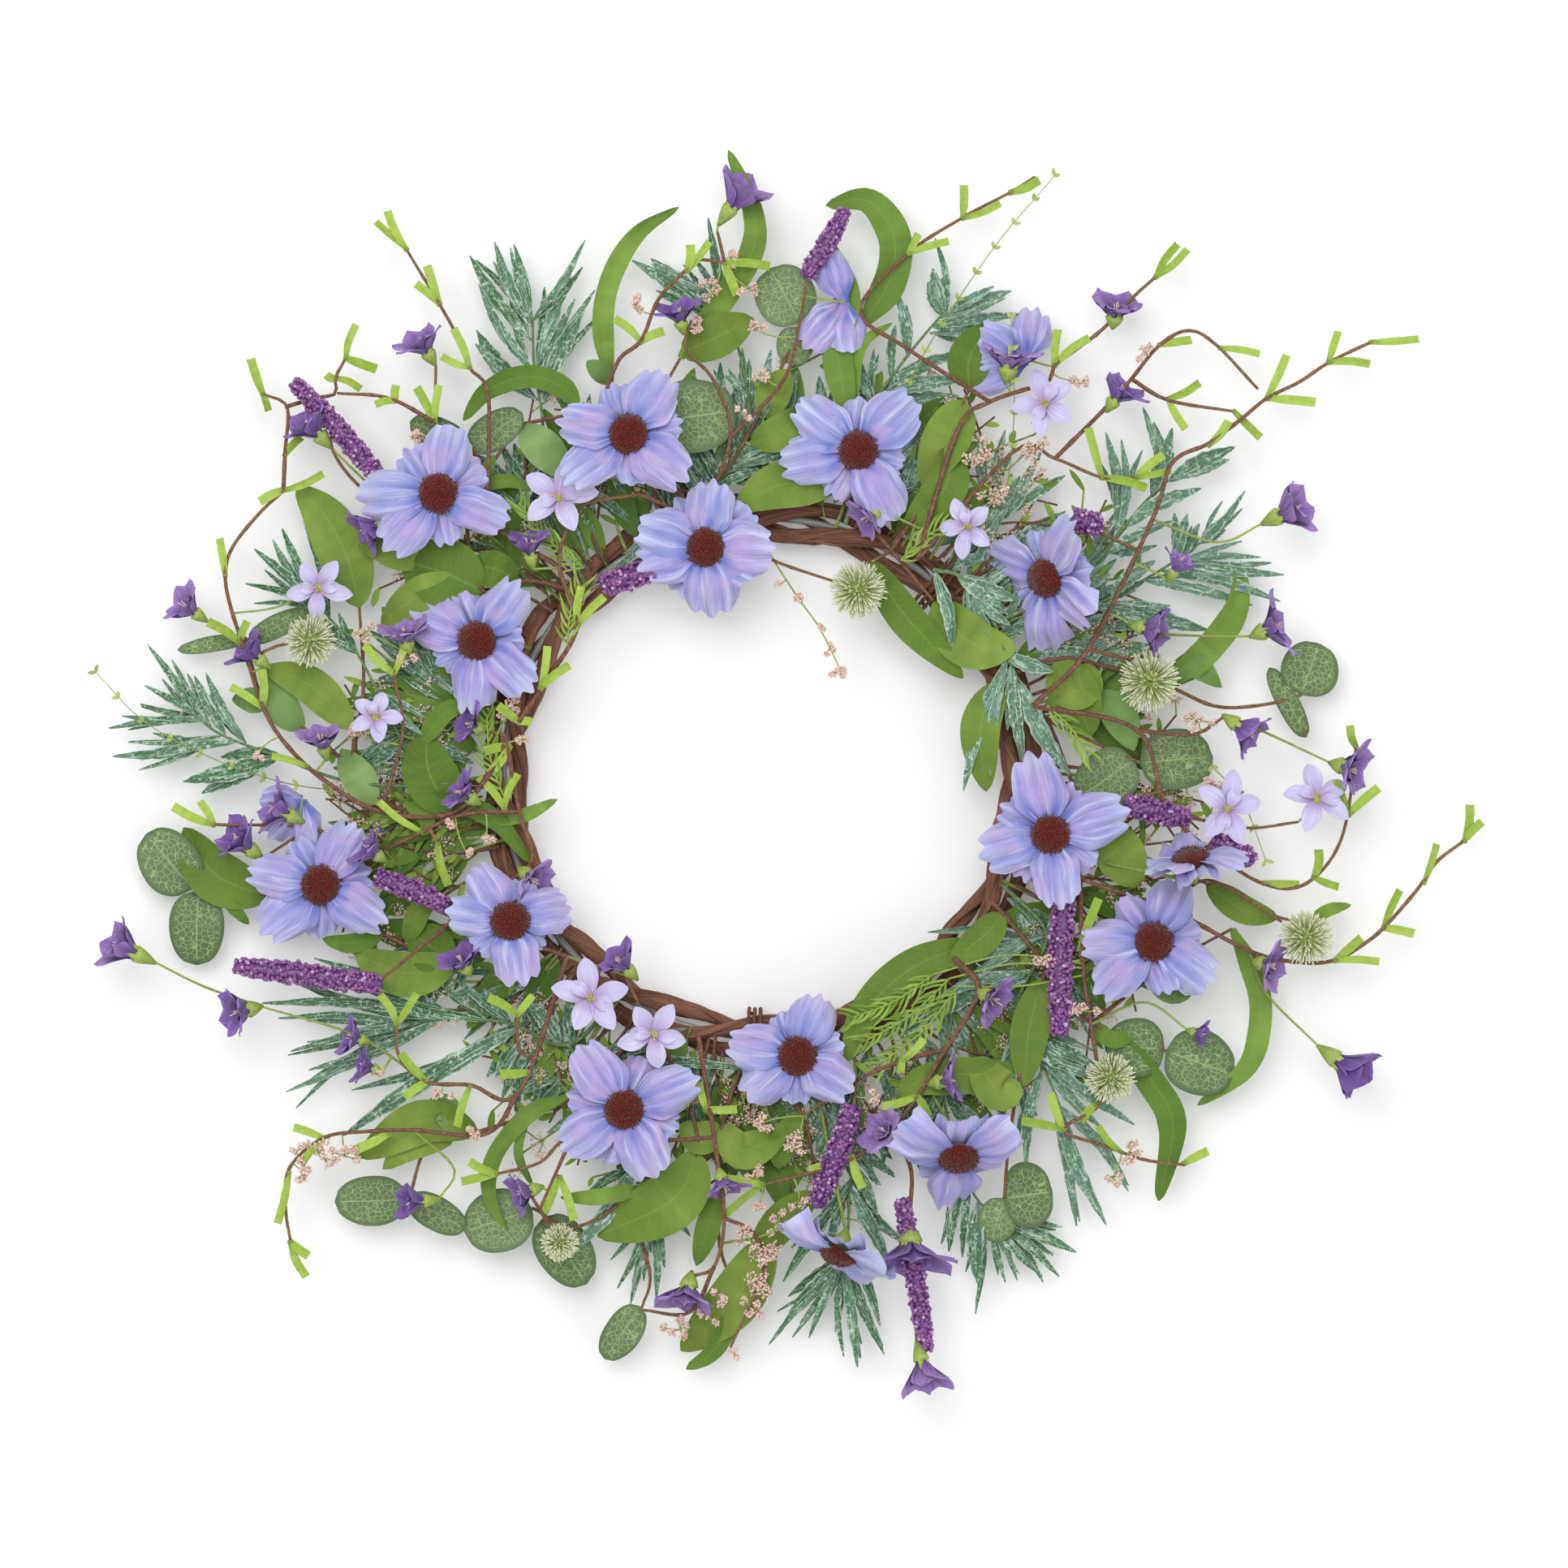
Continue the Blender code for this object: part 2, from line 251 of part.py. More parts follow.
    ("K", 1290,1185,28), ("K", 1330,1245,26), ("K", 1392,1420,30), ("K", 1372,1450,22), ("P", 1482,1275,1465,1270,26), ("W", 0.9, [(1345,1262),(1410,1235),(1465,1270)])]),
  ("wildflower_twig_bottom", "wild", [
    ("W", 2.6, [(1175,1180),(1205,1220),(1165,1292),(1130,1350),(1098,1395)]),
    ("W", 1.6, [(1165,1292),(1112,1306),(1052,1332),(990,1375)]),
    ("W", 1.6, [(1098,1395),(1040,1432),(940,1460)]),
    ("W", 1.6, [(1098,1395),(1122,1440),(1122,1508),(1130,1660)]),
    ("L", 940,1460,[(892,1452),(896,1495)]), ("L", 1112,1306,[(1136,1282),(1110,1318)]), ("L", 1050,1425,[(1000,1440),(1062,1460)]), ("L", 1130,1350,[(1090,1362),(1142,1372)]),
    ("P", 1225,1232,1205,1220,54), ("P", 1170,1330,1145,1335,56), ("P", 1088,1392,1102,1402,52), ("P", 1122,1550,1121,1508,84), ("P", 1142,1705,1130,1655,52),
    ("S", 1050,1362,1005,1485,28), ("S", 1112,1478,1142,1665,24), ("W", 1.2, [(1052,1332),(1052,1364)]),
    ("K", 1075,1350,20), ("K", 940,1382,26), ("K", 985,1410,30), ("K", 930,1450,24), ("K", 935,1485,20), ("K", 985,1480,24)]),
  ("wildflower_twig_bottom_left", "wild", [
    ("W", 2.0, [(860,1270),(880,1400),(892,1500),(880,1560),(852,1572)]),
    ("W", 1.5, [(880,1400),(800,1405),(705,1400),(665,1432),(612,1446)]),
    ("W", 1.4, [(705,1400),(665,1490)]), ("W", 1.2, [(665,1490),(650,1465)]),
    ("W", 1.6, [(880,1560),(850,1617),(790,1614)]),
    ("W", 1.2, [(892,1500),(930,1520),(940,1570),(900,1660)]),
    ("W", 1.4, [(665,1490),(690,1530)]),
    ("L", 612,1446,[(572,1455),(582,1432)]), ("L", 690,1450,[(672,1492),(706,1500)]), ("L", 870,1365,[(862,1335),(905,1365)]), ("L", 845,1360,[(840,1345)]),
    ("P", 640,1470,668,1462,46), ("P", 892,1462,886,1440,44), ("P", 845,1600,852,1568,64), ("T", 690,1530,46),
    ("K", 915,1515,34), ("K", 945,1545,40), ("K", 932,1580,38), ("K", 928,1615,26), ("K", 868,1620,24), ("K", 838,1638,28), ("K", 885,1598,22), ("K", 905,1668,18), ("K", 958,1512,24)]),
  ("wildflower_twig_lower_left", "wild", [
    ("W", 2.0, [(700,1178),(640,1345),(580,1336),(525,1332),(492,1300),(490,1262)]),
    ("W", 1.6, [(640,1345),(600,1396),(510,1392),(450,1394),(398,1402),(356,1440),(352,1490),(358,1530)]),
    ("W", 1.5, [(650,1300),(640,1290),(638,1250)]),
    ("W", 1.4, [(700,1178),(560,1130),(470,1082)]),
    ("W", 0.9, [(525,1332),(440,1276),(322,1240)]),
    ("W", 1.5, [(560,1130),(468,1208)]),
    ("W", 0.9, [(322,1240),(250,1215),(192,1186)]),
    ("L", 490,1262,[(470,1228),(513,1226)]), ("L", 638,1250,[(606,1230),(656,1228)]), ("L", 527,1332,[(497,1300),(502,1350)]), ("L", 398,1402,[(365,1390),(374,1432)]),
    ("L", 356,1445,[(343,1504)]), ("L", 358,1530,[(376,1570),(378,1545)]), ("L", 480,1396,[(440,1416)]), ("L", 580,1338,[(565,1385)]), ("L", 652,1320,[(620,1322)]),
    ("P", 140,1160,190,1186,58), ("P", 290,1247,322,1240,58), ("P", 432,1276,455,1284,42), ("P", 448,1312,470,1320,36), ("P", 500,1480,540,1478,40), ("W", 0.9, [(510,1392),(560,1440),(540,1478)]),
    ("S", 465,1080,555,1118,26), ("S", 470,1212,290,1190,28), ("K", 395,1425,34), ("K", 425,1425,28), ("K", 378,1445,26), ("K", 365,1420,24), ("K", 470,1318,24), ("K", 545,1352,24), ("K", 585,1395,22),
    ("P", 568,1180,580,1200,46), ("P", 455,1045,475,1060,44), ("W", 0.9, [(470,1082),(475,1060)]), ("P", 762,1180,785,1205,48), ("W", 0.9, [(700,1178),(785,1205)]),
    ("V", 728,1232,75,76,15), ("V", 806,1270,-90,70,65), ("W", 1.0, [(740,1190),(730,1232)]), ("W", 1.0, [(770,1200),(806,1276)])]),
]
# cosmos heads: (centre u, v, reach of the petals, turn, tilt towards, tilt, petals)
COSMOS = [
  ("01", 775, 537, 84,  10,   0,  0, 7), ("02", 1057, 555, 84, -12,   0,  0, 7), ("03", 541, 609, 84,  25,   0,  0, 7),
  ("04", 869, 675, 76,   0,   0,  0, 9), ("05", 590, 790, 82,  18, 180, 12, 7), ("06", 1293, 711, 84,   0, 200, 28, 7),
  ("07", 1293, 1027, 88, -8,   0,  0, 8), ("08", 395, 1090, 84,  15,   0,  0, 7), ("09", 629, 1135, 74,  -5,  60, 12, 7),
  ("10", 1420, 1161, 84, 22,  90, 10, 7), ("11", 982, 1300, 78,  12,   0,  0, 7), ("12", 770, 1365, 88,   5,   0,  0, 8),
  ("13", 1180, 1417, 82,  0, 270, 48, 6), ("14", 1465, 1065, 70,  10, 100, 72, 6), ("15", 1035, 1535, 72, -10, 250, 74, 5),
]

# ------------------------------------------------------------------- scene
for old in list(bpy.data.objects):
    bpy.data.objects.remove(old, do_unlink=True)
for old in list(bpy.data.collections):
    bpy.data.collections.remove(old)

parts = bpy.data.collections.new(NAME)
cutters = bpy.data.collections.new("cutters")
work = bpy.data.collections.new("work")
for c in (parts, cutters, work):
    bpy.context.scene.collection.children.link(c)

root = bpy.data.objects.new("wreath_root", None)
parts.objects.link(root)


def material(name, rgb, rough, metal=0.0):
    m = bpy.data.materials.new(name)
    m.use_nodes = True
    b = m.node_tree.nodes["Principled BSDF"]
    b.inputs["Base Color"].default_value = (*rgb, 1.0)
    b.inputs["Roughness"].default_value = rough
    b.inputs["Metallic"].default_value = metal
    m.diffuse_color = (*rgb, 1.0)
    return m


MATS = {
    "hoop": material("galvanised_wire", (0.45, 0.45, 0.44), 0.45, 0.9),
    "vine": material("vine_bark", (0.19, 0.10, 0.055), 0.85),
    "frost": material("frosted_leaf", (0.10, 0.26, 0.15), 0.55),
    "leaf": material("leaf_green", (0.24, 0.40, 0.10), 0.55),
    "wild": material("wildflower", (0.26, 0.14, 0.45), 0.6),
    "petal": material("cosmos_petal", (0.42, 0.44, 0.80), 0.7),
    "centre": material("flocked_centre", (0.12, 0.02, 0.015), 0.95),
}


# ------------------------------------------------------------ small helpers
def P(u, v, z=0.0):
    """Layout grid position to metres."""
    return Vector(((u - GRID_MID[0]) * STEP, (GRID_MID[1] - v) * STEP, z))


RING = P(*RING_MID, BUNDLE_Z)


def lift(p):
    """Height of the lowest layer at a plan position: level over the ring, drooping outside it."""
    rho = math.hypot(p[0] - RING.x, p[1] - RING.y)
    out = max(0.0, rho - RING_R - 0.015) / 0.075
    return PICK_Z - DROOP * (1.0 - math.exp(-out * out))


def on(u, v, up=0.0):
    p = P(u, v)
    p.z = lift(p) + up
    return p


def add_object(name, mesh, coll):
    ob = bpy.data.objects.new(name, mesh)
    coll.objects.link(ob)
    return ob


def from_bmesh(name, bm, coll=None):
    me = bpy.data.meshes.new(name)
    bm.to_mesh(me)
    bm.free()
    return add_object(name, me, coll or work)


def baked(ob):
    """Replace an object by its evaluated mesh, welded and facing out."""
    bpy.context.view_layer.update()
    dg = bpy.context.evaluated_depsgraph_get()
    me = bpy.data.meshes.new_from_object(ob.evaluated_get(dg))
    bm = bmesh.new()
    bm.from_mesh(me)
    bmesh.ops.remove_doubles(bm, verts=bm.verts, dist=1e-6)
    bmesh.ops.recalc_face_normals(bm, faces=bm.faces)
    bm.to_mesh(me)
    bm.free()
    new = add_object(ob.name + "_m", me, ob.users_collection[0])
    new.matrix_world = ob.matrix_world.copy()
    bpy.data.objects.remove(ob, do_unlink=True)
    return new


def tube(points, radius, sides=4, closed=False):
    """A wire or stalk: a POLY curve with a round bevel and filled caps, as a mesh."""
    cu = bpy.data.curves.new("tube", "CURVE")
    cu.dimensions = "3D"
    sp = cu.splines.new("POLY")
    sp.points.add(len(points) - 1)
    for q, p in zip(sp.points, points):
        q.co = (p[0], p[1], p[2], 1.0)
    sp.use_cyclic_u = closed
    cu.bevel_depth = radius
    cu.bevel_resolution = (sides - 4) // 2
    cu.use_fill_caps = not closed
    return baked(add_object("tube", cu, work))


def smooth(points, per=3):
    """Points along a Catmull-Rom curve through the given ones."""
    if len(points) < 3:
        return [Vector(p) for p in points]
    pts = [Vector(p) for p in points]
    ext = [2 * pts[0] - pts[1]] + pts + [2 * pts[-1] - pts[-2]]
    out = []
    for i in range(1, len(ext) - 2):
        a, b, c, d = ext[i - 1:i + 3]
        for k in range(per):
            t = k / per
            out.append(0.5 * ((2 * b) + (c - a) * t + (2 * a - 5 * b + 4 * c - d) * t * t
                              + (3 * b - a - 3 * c + d) * t ** 3))
    out.append(pts[-1])
    return out


def loft(spine, sizes, sides, dirs=None):
    """A closed loft: a point, rungs of the given half width and half height, a point."""
    bm = bmesh.new()
    rungs = []
    for i in range(1, len(spine) - 1):
        t = (dirs[i] if dirs and dirs[i] else spine[i + 1] - spine[i - 1]).normalized()
        s = Vector((-t.y, t.x, 0.0))
        s = s.normalized() if s.length > 0.05 else Vector((1, 0, 0))
        s = (s - t * s.dot(t)).normalized()
        up = t.cross(s)
        w, h = sizes[i - 1]
        turn = math.pi / 2 if sides == 3 else 0.0
        rungs.append([bm.verts.new(spine[i] + s * (w * math.cos(math.tau * k / sides + turn))
                                   + up * (h * math.sin(math.tau * k / sides + turn))) for k in range(sides)])
    a, b = bm.verts.new(spine[0]), bm.verts.new(spine[-1])
    for k in range(sides):
        j = (k + 1) % sides
        bm.faces.new((a, rungs[0][j], rungs[0][k]))
        for r0, r1 in zip(rungs, rungs[1:]):
            bm.faces.new((r0[k], r0[j], r1[j], r1[k]))
        bm.faces.new((rungs[-1][k], rungs[-1][j], b))
    bmesh.ops.recalc_face_normals(bm, faces=bm.faces)
    return from_bmesh("loft", bm)


def ball(c, r):
    bm = bmesh.new()
    bmesh.ops.create_uvsphere(bm, u_segments=7, v_segments=5, radius=r, matrix=Matrix.Translation(c))
    return from_bmesh("ball", bm)


def shells(bm):
    """The separate closed shells of a mesh, as lists of faces."""
    seen, out = set(), []
    for f in bm.faces:
        if f in seen:
            continue
        seen.add(f)
        group, stack = [], [f]
        while stack:
            g = stack.pop()
            group.append(g)
            for e in g.edges:
                for h in e.link_faces:
                    if h not in seen:
                        seen.add(h)
                        stack.append(h)
        out.append(group)
    return out


def signed_volume(faces):
    vol = 0.0
    for f in faces:
        a = f.verts[0].co
        for p, q in zip(f.verts[1:-1], f.verts[2:]):
            vol += a.dot(p.co.cross(q.co))
    return vol / 6.0


def sound(me, low, high):
    """Whether a union came out as one closed body of a plausible volume; pockets inside it are filled."""
    bm = bmesh.new()
    bm.from_mesh(me)
    groups = shells(bm)
    pockets = [g for g in groups if signed_volume(g) <= 0.0]
    inner = {w for g in pockets for f in g for w in f.verts}
    if pockets:
        bmesh.ops.delete(bm, geom=list(inner), context="VERTS")
        bm.to_mesh(me)
    ok = (len(groups) - len(pockets) == 1 and all(e.is_manifold for e in bm.edges)
          and low <= signed_volume(bm.faces) <= high)
    bm.free()
    return ok


NUDGES = [(0, 0, 0), (5, 7, 6), (-7, 4, -5), (9, -8, 7), (-16, -9, 10), (12, 15, -11), (14, -24, -18), (-25, 21, 9),
          (31, 17, -22), (-18, -33, 27)]        # hundredths of a millimetre


def eased(me, share):
    """Collapse the slivers a union leaves along its seams; kept only if the body stays sound."""
    bm = bmesh.new()
    bm.from_mesh(me)
    vol = signed_volume(bm.faces)
    bm.free()
    ob = add_object("eased", me, work)
    for ratio in (share, 0.5 + share / 2, 1.0):
        if ratio == 1.0:
            break
        dec = ob.modifiers.new("collapse", "DECIMATE")
        dec.ratio = ratio
        bpy.context.view_layer.update()
        dg = bpy.context.evaluated_depsgraph_get()
        new = bpy.data.meshes.new_from_object(ob.evaluated_get(dg))
        ob.modifiers.remove(dec)
        if sound(new, vol * 0.97, vol * 1.03):
            me = new
            break
    bpy.data.objects.remove(ob, do_unlink=True)
    return me


def united(name, solids, coll, mat, share=1.0):
    """One closed body from overlapping solids, joined one after another by a Boolean union."""
    base = solids[0]
    queue, late = list(solids[1:]), 0
    bm = bmesh.new()
    bm.from_mesh(base.data)
    vol = signed_volume(bm.faces)
    bm.free()
    while queue:
        s = queue.pop(0)
        bm = bmesh.new()
        bm.from_mesh(s.data)
        add = signed_volume(bm.faces)
        bm.free()
        done = None
        for k, nudge in enumerate(NUDGES):
            if k:
                prev = Vector(NUDGES[k - 1])
                s.data.transform(Matrix.Translation((Vector(nudge) - prev) * 0.00001))
            bo = base.modifiers.new("union", "BOOLEAN")
            bo.operation = "UNION"
            bo.object = s
            bo.solver = "EXACT"
            bo.use_self = k % 3 == 2
            bpy.context.view_layer.update()
            dg = bpy.context.evaluated_depsgraph_get()
            me = bpy.data.meshes.new_from_object(base.evaluated_get(dg))
            base.modifiers.remove(bo)
            if sound(me, max(vol, add) * 0.995, (vol + add) * 1.02):
                done = me
                break
            bpy.data.meshes.remove(me)
        if done is None:
            late += 1
            if late > len(queue) + 1:
                raise RuntimeError("%s: %d pieces are not joined" % (name, len(queue) + 1))
            queue.append(s)
            continue
        late = 0
        base.data = done
        bm = bmesh.new()
        bm.from_mesh(done)
        vol = signed_volume(bm.faces)
        bm.free()
        bpy.data.objects.remove(s, do_unlink=True)
    for quads, ngons in (("BEAUTY", "BEAUTY"), ("SHORT_EDGE", "EAR_CLIP"), ("LONG_EDGE", "BEAUTY")):
        me = base.data.copy()
        bm = bmesh.new()
        bm.from_mesh(me)
        bmesh.ops.triangulate(bm, faces=bm.faces, quad_method=quads, ngon_method=ngons)
        bm.to_mesh(me)
        bm.free()
        if sound(me, 0.0, 1.0):
            break
    if share < 1.0:
        me = eased(me, share)
    me.name = name
    me.materials.clear()
    me.materials.append(mat)
    bpy.data.objects.remove(base, do_unlink=True)
    ob = add_object(name, me, coll)
    ob.parent = root
    return ob


placed = []     # search trees of everything laid down so far


def tree_of(ob, dz=0.0, pad=0.0):
    me = ob.data
    m = ob.matrix_world
    verts = [m @ v.co + Vector((0, 0, dz)) for v in me.vertices]
    me.calc_loop_triangles()
    tris = [tuple(t.vertices) for t in me.loop_triangles]
    return BVHTree.FromPolygons(verts, tris, all_triangles=True, epsilon=pad)


def bounds(ob, dz=0.0):
    m = ob.matrix_world
    c = [m @ v.co for v in ob.data.vertices]
    return (min(p.x for p in c), min(p.y for p in c), min(p.z for p in c) + dz,
            max(p.x for p in c), max(p.y for p in c), max(p.z for p in c) + dz)


def apart(a, b, pad):
    return any(a[i] > b[i + 3] + pad or b[i] > a[i + 3] + pad for i in range(3))


def lay(obs):
    """Lay pieces down together: raise them until they clear everything already laid."""
    dz = 0.0
    while dz < 0.09:
        hit = False
        for ob in obs:
            box = bounds(ob, dz)
            tr = None
            for pbox, ptree in placed:
                if apart(box, pbox, GAP):
                    continue
                tr = tr or tree_of(ob, dz, GAP)
                if tr.overlap(ptree):
                    hit = True
                    break
            if hit:
                break
        if not hit:
            break
        dz += LIFT_STEP
    for ob in obs:
        ob.data.transform(Matrix.Translation((0, 0, dz)))
        placed.append((bounds(ob), tree_of(ob, 0.0, GAP)))
    return dz


# ---------------------------------------------------------------- the ring
def ring_point(theta, phase, off):
    """Point at an offset from the hoop's centreline, turned round it by phase."""
    c = Vector((math.cos(theta), math.sin(theta), 0.0))
    return RING + c * (RING_R + off * math.cos(phase)) + Vector((0, 0, off * math.sin(phase)))


# wire hoop: a hexagon turned about the ring's axis
bm = bmesh.new()
sec = bmesh.ops.create_circle(bm, segments=6, radius=HOOP_WIRE_R,
                              matrix=Matrix.Translation((RING_R, 0, 0)) @ Matrix.Rotation(math.pi / 2, 4, "X"))
me = bpy.data.meshes.new("wire_hoop")
bm.to_mesh(me)
bm.free()
hoop = add_object("wire_hoop", me, parts)
hoop.location = RING
sc = hoop.modifiers.new("turn", "SCREW")
sc.axis = "Z"
sc.angle = math.tau
sc.steps = 36
sc.render_steps = 36
sc.use_merge_vertices = True
sc.merge_threshold = 0.00005
sc.use_normal_calculate = True
hoop.data.materials.append(MATS["hoop"])
hoop.parent = root

# vine strands: each winds VINE_TURNS times round the hoop; undersides trimmed flat
floor_cut = from_bmesh("floor_cut", bmesh.new(), cutters)
bm = bmesh.new()
bmesh.ops.create_cube(bm, size=1.0, matrix=Matrix.Translation((0, 0, -0.05)) @ Matrix.Diagonal((1, 1, 0.1, 1)))
bm.to_mesh(floor_cut.data)
bm.free()
floor_cut.hide_render = True
floor_cut.display_type = "WIRE"

for k, letter in enumerate("abc"):
    pts = []
    n = 35
    for i in range(n):
        th = math.tau * i / n
        # strand a is at its lowest at the foot of the ring (theta = -90 degrees)
        ph = -math.pi / 2 + VINE_TURNS * (th + math.pi / 2) + k * math.tau / 3
        pts.append(ring_point(th, ph, VINE_LAY))
    ob = tube(pts, VINE_R, sides=6, closed=True)
    cut = ob.modifiers.new("rest", "BOOLEAN")
    cut.operation = "DIFFERENCE"
    cut.object = floor_cut
    cut.solver = "EXACT"
    ob2 = united("vine_strand_" + letter, [baked(ob)], parts, MATS["vine"])
    placed.append((bounds(ob2), tree_of(ob2, 0.0, GAP)))

# bindings: bark covered wire laced over the bundle, its ends tucked in above the surface
for name, deg in (("binding_wrap_upper", 48.0), ("binding_wrap_lower", 268.0)):
    pts = []
    rad = VINE_LAY + VINE_R + WRAP_WIRE_R + GAP
    arcs = [math.radians(-36 + 252 * j / 7) for j in range(8)]
    for row in range(3):
        th = math.radians(deg) + (row - 1) * 0.0028 / RING_R
        for ph in (arcs if row % 2 == 0 else arcs[::-1]):
            pts.append(ring_point(th, ph, rad))
    ob = united(name, [tube(pts, WRAP_WIRE_R, sides=4)], parts, MATS["vine"])
    placed.append((bounds(ob), tree_of(ob, 0.0, GAP)))


# --------------------------------------------------------------- the picks
def nearest(lines, q):
    """Nearest point to q on the stalk lines, measured in plan."""
    best, where = 1e9, None
    for line in lines:
        for a, b in zip(line, line[1:]):
            d = b - a
            flat = Vector((d.x, d.y, 0.0))
            t = max(0.0, min(1.0, Vector((q.x - a.x, q.y - a.y, 0.0)).dot(flat) / max(flat.length_squared, 1e-12)))
            p = a + d * t
            away = math.hypot(p.x - q.x, p.y - q.y)
            if away < best:
                best, where = away, p
    return best, where


def thinned(path, slack):
    """A path without the points that lie within slack of the line between their neighbours."""
    if len(path) < 3:
        return path
    a, b = path[0], path[-1]
    d = (b - a).normalized()
    off = [((p - a) - d * (p - a).dot(d)).length for p in path]
    i = max(range(len(path)), key=lambda k: off[k])
    if off[i] < slack:
        return [a, b]
    return thinned(path[:i + 1], slack)[:-1] + thinned(path[i:], slack)


def link(a, b, solids, r=0.0009):
    """A short wire from a point on a stalk to just past b."""
    d = (b - a).normalized()
    solids.append(loft([a, (a + b) / 2, b + d * 0.0012], [(r, r)], 3))


def rooted(path, lines, solids):
    """Start a path on the nearest stalk: its foot is moved there, or a leaf stalk is added first."""
    away, p = nearest(lines, path[0])
    if away < 0.0022:
        return [p] + path[1:], False
    turn = (path[0] - p).angle(path[1] - path[0])
    if turn > math.radians(75):
        link(p, path[0], solids)
        return [path[0] - (path[1] - path[0]).normalized() * 0.0006] + path[1:], False
    return [p] + path, True


def leaf(points, width, shares, lines, solids, thick=LEAF_T):
    """A pressed leaf along its midrib; shares gives (place, width share) of each rung."""
    path = [on(*q) for q in points]
    away_path, stalked = rooted(path, lines, solids)
    head = away_path[:2] if stalked else away_path[:1]
    body = away_path[1:] if stalked else away_path
    lens = [0.0]
    for a, b in zip(body, body[1:]):
        lens.append(lens[-1] + (b - a).length)
    spine = list(head)
    sizes = [(0.0008, 0.0007)] if stalked else []
    for t, share in shares:
        want = t * lens[-1]
        for i in range(len(body) - 1):
            if want <= lens[i + 1] + 1e-9:
                f = (want - lens[i]) / max(lens[i + 1] - lens[i], 1e-9)
                q = body[i].lerp(body[i + 1], f)
                break
        q.z = lift(q)
        spine.append(q)
        sizes.append((0.5 * width * share, 0.5 * thick * (0.8 + 0.4 * share)))
    spine.append(body[-1])
    solids.append(loft(spine, sizes, 4))


EASE = 0.70                 # share of a pick's triangles kept after its union
NARROW = [(0.45, 1.0)]
BROAD = [(0.30, 0.88), (0.68, 0.86)]
STRAP = [(0.28, 0.85), (0.72, 0.80)]
OVAL = [(0.24, 0.84), (0.76, 0.86)]

